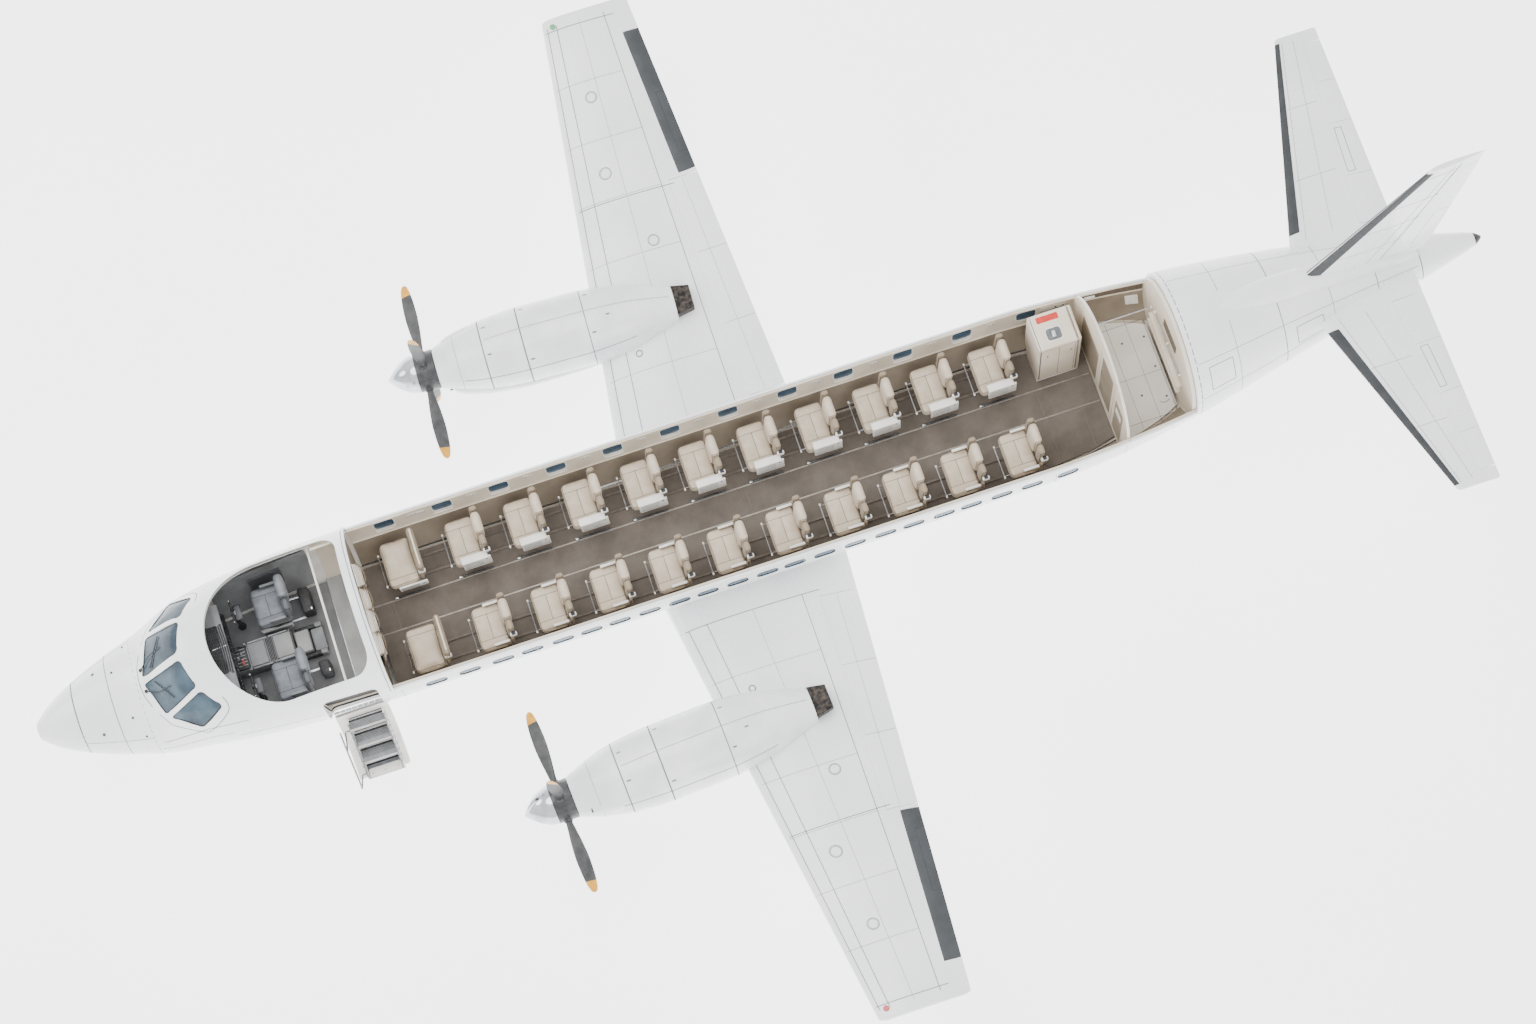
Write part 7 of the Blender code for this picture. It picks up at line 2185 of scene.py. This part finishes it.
def build_compartment():
    start, end = PARTITION + 0.0015, 14.1395
    stations = spaced(start, end, 0.13)
    halves = [hull_half(s, BOARD_TOP - 0.05, WALL) - 0.0008 for s in stations]
    top = [[world(s, -w + 2 * w * k / 10, BOARD_TOP - 0.0008) for k in range(11)]
           for s, w in zip(stations, halves)]
    under = [[world(s, -w + 2 * w * k / 10, BOARD_TOP - 0.049) for k in range(11)]
             for s, w in zip(stations, halves)]
    parts = [("gelcoat", thick(top, under))]

    def strip(x0, s0, x1, s1, wide, look):
        way = Vector((x1 - x0, s1 - s0, 0)).normalized()
        side = Vector((-way.y, way.x, 0)) * wide / 2
        a, b = world(s0, x0, BOARD_TOP), world(s1, x1, BOARD_TOP)
        rows = [[p - side, p + side] for p in (a, b)]
        lifted = [[q - Vector((0, 0, 0.0001)) for q in row] for row in rows]
        sunk = [[q - Vector((0, 0, 0.006)) for q in row] for row in rows]
        return look, thick(lifted, sunk)

    for s in (13.40, 13.415, 14.115, 14.127):
        parts.append(strip(-0.66, s, 0.66, s, 0.005, "sealant"))
    for s in (13.66, 13.90):
        parts.append(strip(-0.70, s, 0.70, s, 0.004, "sealant"))
    parts.append(strip(0.06, 13.42, 0.06, 14.11, 0.004, "sealant"))
    for x in (-0.62, 0.62):
        parts.append(strip(x, 13.42, x, 14.11, 0.005, "sealant"))
    for x, s in ((-0.4, 13.47), (0.0, 13.47), (0.4, 13.47), (-0.4, 14.06), (0.0, 14.06), (0.4, 14.06),
                 (-0.4, 13.78), (0.3, 13.78)):
        ring = lathe([(-0.004, 0.016), (-0.0001, 0.015)], world(s, x, BOARD_TOP), UPWARD, 14)
        parts.append(("sealant", ring))
    grip = [world(s, x, BOARD_TOP + z - 0.004)
            for s, x, z in ((13.96, 0.44, 0.0), (13.97, 0.45, 0.0035), (14.02, 0.47, 0.004),
                            (14.07, 0.45, 0.0035), (14.08, 0.44, 0.0))]
    parts.append(("gasket_and_shade", pipe(eased(grip), 0.0035, 8)))
    piece("compartment_board", parts, stands_for=["compartment_floor"], crease=30)

    place = lambda u, v, level: world(level, u, v)
    wall = [("ivory_abs", prism(bulkhead_outline(AFT_BULKHEAD, BOARD_TOP, WALL + 0.0006), place, 14.1753,
                                 14.2147))]
    arc = [p for p in bulkhead_outline(AFT_BULKHEAD, BOARD_TOP, WALL + 0.006) if p[1] > BOARD_TOP + 0.01]
    for level in (14.1765, 14.2135):
        wall.append(("white_abs", pipe([place(u, v, level) for u, v in arc], 0.0045, 6)))
    piece("aft_bulkhead_panel", wall, stands_for=["aft_bulkhead"], crease=30)

    trim = []
    start, end = 13.37, 14.165
    for side in (1, -1):
        trim.append(("taupe_abs", lining_sheet(start, end, BOARD_TOP + 0.002, 0.04, 0.010, side)))
        trim.append(("welt_and_shade", lining_sheet(start, end, 0.055, CUT_HEIGHT - 0.01, 0.006, side)))
        ledge = [world(s, side * (hull_half(s, 0.048, LINING_FACE) - 0.012), 0.048)
                 for s in spaced(start, end, 0.1)]
        trim.append(("ivory_abs", pipe(ledge, 0.010, 8)))
        trim.append(edge_cap(13.38, AFT_BULKHEAD, side, 0.1))
    trim.append(("white_abs", lining_sheet(13.45, 13.58, 0.07, 0.15, 0.03, -1)))
    trim.append(("white_abs", lining_sheet(13.95, 14.10, -0.18, -0.05, 0.035, -1)))
    # Thin net rod fore and aft on the starboard side, its end brackets, a tube and shelves on the bulkhead
    trim.append(("anodised_aluminium",
                 pipe([world(13.364, NET_ROD, 0.16), world(14.170, NET_ROD, 0.16)], 0.008, 10)))
    for s in (13.372, 14.162):
        trim.append(("white_abs",
                     block((NET_ROD - 0.014, s - 0.010, 0.145), (NET_ROD + 0.014, s + 0.010, 0.182), 0.006)))
    trim.append(("anodised_aluminium",
                 pipe([world(14.150, -0.45, 0.30), world(14.150, 0.45, 0.30)], 0.010, 10)))
    for x in (-0.42, 0.0, 0.42):
        trim.append(("white_abs", block((x - 0.012, 14.145, 0.285), (x + 0.012, 14.1752, 0.315), 0.004)))
    for z in (-0.10, 0.10):
        trim.append(("ivory_abs", block((-0.50, 14.115, z), (0.50, 14.1752, z + 0.018), 0.006)))
        for x in (-0.44, 0.44):
            trim.append(("white_abs",
                         block((x - 0.008, 14.12, z - 0.06), (x + 0.008, 14.175, z + 0.002), 0.003)))
    # A flat dark plate stands for a recess in the bulkhead: painted shade
    recess_shade_plate = rounded(((-0.2, 0.45), (0.2, 0.45), (0.2, 0.66), (-0.2, 0.66)), 0.03, 4)
    trim.append(("welt_and_shade", prism(recess_shade_plate, place, 14.171, 14.176)))
    piece("compartment_trim", trim, crease=30)


# Landing gear

NOSE_AXLE, MAIN_AXLE, MAIN_X = 2.45, 9.02, 2.66
NOSE_TYRE = {"radius": 0.22, "width": 0.15, "rim": 0.12}
MAIN_TYRE = {"radius": 0.36, "width": 0.22, "rim": 0.19}
MAIN_LEG = {"offset": 0.19, "rake": 0.42, "head": -0.62}


def tyre_shape(tyre, centre, steps=36):
    """A tyre with round shoulders and circumferential grooves."""
    radius, half, rim = tyre["radius"], tyre["width"] / 2 * 0.95, tyre["rim"]
    crown = [(-1.0, rim + 0.001), (-1.03, rim + (radius - rim) * 0.3), (-1.0, rim + (radius - rim) * 0.6),
             (-0.86, radius - 0.026), (-0.62, radius - 0.006)]
    grooves = []
    for middle in (-0.38, 0.0, 0.38):
        grooves += [(middle - 0.055, radius - 0.001), (middle - 0.045, radius - 0.009),
                    (middle + 0.045, radius - 0.009), (middle + 0.055, radius - 0.001)]
    outline = crown + grooves + [(-u, r) for u, r in reversed(crown)]
    return boxed_lathe([(u * half, r) for u, r in outline], centre, TO_PORT, steps)


def wheel_shape(tyre, centre):
    half, rim = tyre["width"] / 2 * 0.8, tyre["rim"] - 0.0003
    profile = [(-half, 0.02), (-half, rim * 0.4), (-half + 0.02, rim * 0.48), (-half + 0.025, rim * 0.78),
               (-half, rim * 0.86), (-half, rim),
               (half, rim), (half, rim * 0.86), (half - 0.025, rim * 0.78), (half - 0.02, rim * 0.48),
               (half, rim * 0.4), (half, 0.02)]
    parts = [("cast_wheel", lathe(profile, centre, TO_PORT, 40))]
    for k in range(8):
        turn = 2 * math.pi * k / 8
        for hand in (1, -1):
            bolt = centre + Vector((hand * (half - 0.022), math.cos(turn) * rim * 0.63,
                                    math.sin(turn) * rim * 0.63))
            parts.append(("chrome",
                          lathe([(-0.002, 0.008), (0.010, 0.008), (0.012, 0.006)], bolt, Vector((hand, 0, 0)),
                                6)))
    return parts


def build_gear():
    lift = NOSE_TYRE["radius"] - AXIS_HEIGHT
    pivot = world(NOSE_AXLE, 0, lift)
    fork = [("chrome", pipe([world(NOSE_AXLE, 0, lift + 0.05), world(NOSE_AXLE, 0, -1.4204)], 0.0415, 24)),
            ("gear_enamel", boxed_lathe([(-0.055, 0.0208), (-0.055, 0.034), (0.055, 0.034), (0.055, 0.0208)],
                                        pivot, TO_PORT, 28)),
            ("gear_enamel", pipe([world(NOSE_AXLE, 0, lift + 0.033), world(NOSE_AXLE, 0, lift + 0.075)],
                                 0.0418, 24))]
    piece("nose_fork", fork, "nose_steering", ["nose_steering"])
    wheels = [("chrome", pipe([pivot - Vector((0.21, 0, 0)), pivot + Vector((0.21, 0, 0))], 0.0199, 16))]
    for hand in (-1, 1):
        centre = pivot + Vector((hand * 0.145, 0, 0))
        wheels += wheel_shape(NOSE_TYRE, centre)
        node = "nose_wheels_tyre_0" if hand < 0 else "nose_wheels_tyre_1"
        piece(f"nose_tyre_{'right' if hand < 0 else 'left'}",
              [("tyre_rubber", tyre_shape(NOSE_TYRE, centre, 28))], "nose_wheels", [node])
    piece("nose_wheel_pair", wheels, "nose_wheels", ["nose_wheels"])

    lift = MAIN_TYRE["radius"] - AXIS_HEIGHT
    for name, side in (("left", 1), ("right", -1)):
        x = side * (MAIN_X - MAIN_LEG["offset"])
        centre = world(MAIN_AXLE, side * MAIN_X, lift)
        wheel = [("chrome", pipe([world(MAIN_AXLE, x + side * 0.0705, lift),
                                  centre + Vector((side * 0.12, 0, 0))], 0.0299, 18))]
        wheel += wheel_shape(MAIN_TYRE, centre)
        piece(f"main_wheel_{name}_rim", wheel, f"main_wheel_{name}", [f"main_wheel_{name}"])
        piece(f"main_tyre_{name}", [("tyre_rubber", tyre_shape(MAIN_TYRE, centre, 36))], f"main_wheel_{name}",
              [f"main_wheel_{name}_tyre"])


# Skin joints and small fittings of the hull

def build_hull_marks():
    skin = HULL_SKIN
    parts = []

    def around(station, start, end, width=0.007, look="sealant", steps=40):
        parts.append((look, skin.straight((station, math.radians(start)), (station, math.radians(end)), width,
                                          0.001, steps)))

    def along(start, end, degrees, width=0.006, look="lap_joint", steps=40):
        a = math.radians(degrees)
        parts.append((look, skin.straight((start, a), (end, a), width, 0.001, steps)))

    def rivet_row(start, end, degrees, pitch):
        a = math.radians(degrees)
        parts.append(("lap_joint", skin.rivets((start, a), (end, a), pitch)))

    around(RADOME_END, -180, 180, 0.010)
    around(1.02, -150, 150, 0.006)
    around(1.36, -140, 140, 0.005, "lap_joint")
    for side in (1, -1):
        along(0.56, 1.36, side * 58, 0.005)
        along(1.40, 2.30, side * 78, 0.006)
        along(2.35, 3.35, side * 84, 0.005)
        along(1.45, 2.52, side * 66, 0.005, "sealant", 24)
        rivet_row(0.60, 1.34, side * 56, 0.07)
    for station in (4.30, 5.95, 7.6, 9.25, 10.9, 12.4, 13.3):
        for side in (1, -1):
            ends = [(station, side * math.radians(a)) for a in (83.0, 150.0)]
            parts.append(("lap_joint", skin.straight(*ends, 0.005, 0.0009)))
    for side in (1, -1):
        along(4.25, 13.30, side * 112, 0.005, steps=90)
    # Aft fuselage: frames, lap joints, a service door, antenna bases
    for station, look in ((14.28, "sealant"), (14.80, "lap_joint"), (15.40, "sealant"), (16.05, "lap_joint"),
                          (16.65, "sealant"), (17.245, "sealant")):
        for side in (1, -1):
            start = 14 if station > 14.6 else 0
            around(station, side * start, side * 165, 0.006, look, 24)
    for side in (1, -1):
        for degrees in (38, 72, 104):
            along(14.30, 17.2, side * degrees, 0.005)
        for degrees in (41, 75):
            rivet_row(14.4, 17.1, side * degrees, 0.085)
    for start, end, low, high in ((14.42, 14.72, 44, 66), (15.55, 15.9, 46, 68)):
        corners = ((start, low), (end, low), (end, high), (start, high), (start, low))
        for (a, b), (c, d) in zip(corners, corners[1:]):
            parts.append(("sealant",
                          skin.straight((a, math.radians(b)), (c, math.radians(d)), 0.005, 0.001, 10)))
    # Line round the windshield group
    for side in (1, -1):
        path = [(1.40, 0.0), (1.42, 14), (1.50, 30), (1.585, 41.5), (1.66, 50), (1.95, 66.5), (2.06, 68.5),
                (2.33, 54), (2.37, 46), (2.34, 40)]
        curve = eased([Vector((s, math.radians(a) * side, 0)) for s, a in path], 5)
        parts.append(("sealant", skin.line([(p.x, p.y) for p in curve], 0.006, 0.001)))
        base = [(1.47, 10), (1.60, 16), (1.78, 17)]
        curve = eased([Vector((s, math.radians(a) * side, 0)) for s, a in base], 4)
        parts.append(("gasket_and_shade", pipe([skin.over(p.x, p.y, 0.012) for p in curve], 0.006, 8)))
        blade = [skin.over(1.60 + 0.022 * k, side * math.radians(6 + 2.4 * k), 0.008) for k in range(10)]
        parts.append(("gasket_and_shade", pipe(blade, 0.006, 8)))
        parts.append(("gasket_and_shade", skin.button(1.46, side * math.radians(10), 0.022, 0.018, 16)))
    # Probe and vent bases ahead of the windshield
    for s, degrees, radius in ((0.86, -38, 0.02), (1.10, -24, 0.016), (1.20, 30, 0.016), (0.80, 44, 0.02),
                               (1.28, -52, 0.014), (1.28, 54, 0.014)):
        parts.append(("sealant", skin.button(s, math.radians(degrees), radius, 0.006, 18)))
        parts.append(("gasket_and_shade", skin.button(s, math.radians(degrees), radius * 0.45, 0.011, 12)))
    piece("hull_joints", parts)

    panel_parts = []
    for side in (1, -1):
        panel = flat_panel(WING_ROOT, WING_TIP, side)
        skin = panel.skin
        skin.turn = float(side)
        start = (WING_JOINT - WING_ROOT["x"]) / (WING_TIP["x"] - WING_ROOT["x"])
        panel_parts.append(("sealant", skin.straight((start + 0.001, 0.008), (start + 0.001, 0.80), 0.006)))
    piece("wing_root_joints", panel_parts)


# CAD solids that show as they are, and the finish of each

CARRIED = {
    "cabin_floor": "carpet", "cockpit_floor": "deck_mat", "wing_centre": "white_enamel",
    "engine_left": "cast_alloy", "engine_right": "cast_alloy", "nose_gear_leg": "gear_enamel",
    "main_gear_leg_left": "gear_enamel", "main_gear_leg_right": "gear_enamel",
}


def dress_carried():
    for name, look in CARRIED.items():
        obj = frame["nodes"][name]
        obj.data.materials.clear()
        obj.data.materials.append(LOOKS[look])


# Stage

def build_stage():
    mesh = bpy.data.meshes.new("studio_floor")
    reach = 60.0
    mesh.from_pydata([(-reach, -reach, -0.002), (reach, -reach, -0.002), (reach, reach, -0.002),
                      (-reach, reach, -0.002)], [], [(0, 1, 2, 3)])
    floor = bpy.data.objects.new("studio_floor", mesh)
    bpy.context.scene.collection.objects.link(floor)
    # A translucent light table: the paper over it glows evenly, with a hardly visible drift of tone
    mesh.materials.append(finish("lit_studio_paper", "#ffffff", "#fbfbfb", 4000, 300, (0.85, 0.95), bump=0.0,
                                 emission_color=linear("#ffffff"), emission_strength=2.0))

    scene = bpy.context.scene
    sky = bpy.data.worlds.new("studio_room")
    scene.world = sky
    sky.use_nodes = True
    sky.node_tree.nodes["Background"].inputs["Color"].default_value = linear("#ffffff")
    sky.node_tree.nodes["Background"].inputs["Strength"].default_value = 1.9
    for label, place, energy, size, aim in (
        ("overhead_softbox", (-3.0, -6.0, 22.0), 2600.0, 16.0, (0, 0, 1)),
        ("port_softbox", (20.0, 4.0, 14.0), 900.0, 12.0, (0, 0, 1)),
        ("nose_softbox", (-8.0, -20.0, 10.0), 700.0, 8.0, (0, -2, 1.5)),
    ):
        data = bpy.data.lights.new(label, "AREA")
        data.energy = energy
        data.shape = "DISK"
        data.size = size
        lamp = bpy.data.objects.new(label, data)
        lamp.location = place
        lamp.rotation_euler = (Vector(aim) - Vector(place)).to_track_quat("-Z", "Y").to_euler()
        scene.collection.objects.link(lamp)

    data = bpy.data.cameras.new("view_from_above")
    data.lens = 78.75
    data.sensor_width = 36.0
    data.sensor_fit = "HORIZONTAL"
    data.clip_end = 200.0
    camera = bpy.data.objects.new("view_from_above", data)
    right = Vector((0.31248666, 0.94885296, -0.04505716))
    up = Vector((-0.90703193, 0.31213347, 0.28260532))
    back = Vector((0.28221474, -0.04744211, 0.95817748))
    turn = Matrix((right, up, back)).transposed().to_4x4()
    camera.matrix_world = Matrix.Translation(Vector((11.5908, 7.1460 - LENGTH / 2,
                                                     38.18 + AXIS_HEIGHT))) @ turn
    scene.collection.objects.link(camera)
    scene.camera = camera


build_stage()
dress_carried()
build_nose_and_tail()
build_front()
build_cabin_walls()
build_aft()
build_wings()
build_tail()
build_nacelles()
build_hull_marks()
build_seats()
build_crew_seats()
build_flight_deck()
build_cabin_trim()
build_airstair()
build_cabinet()
build_partition()
build_compartment()
build_gear()
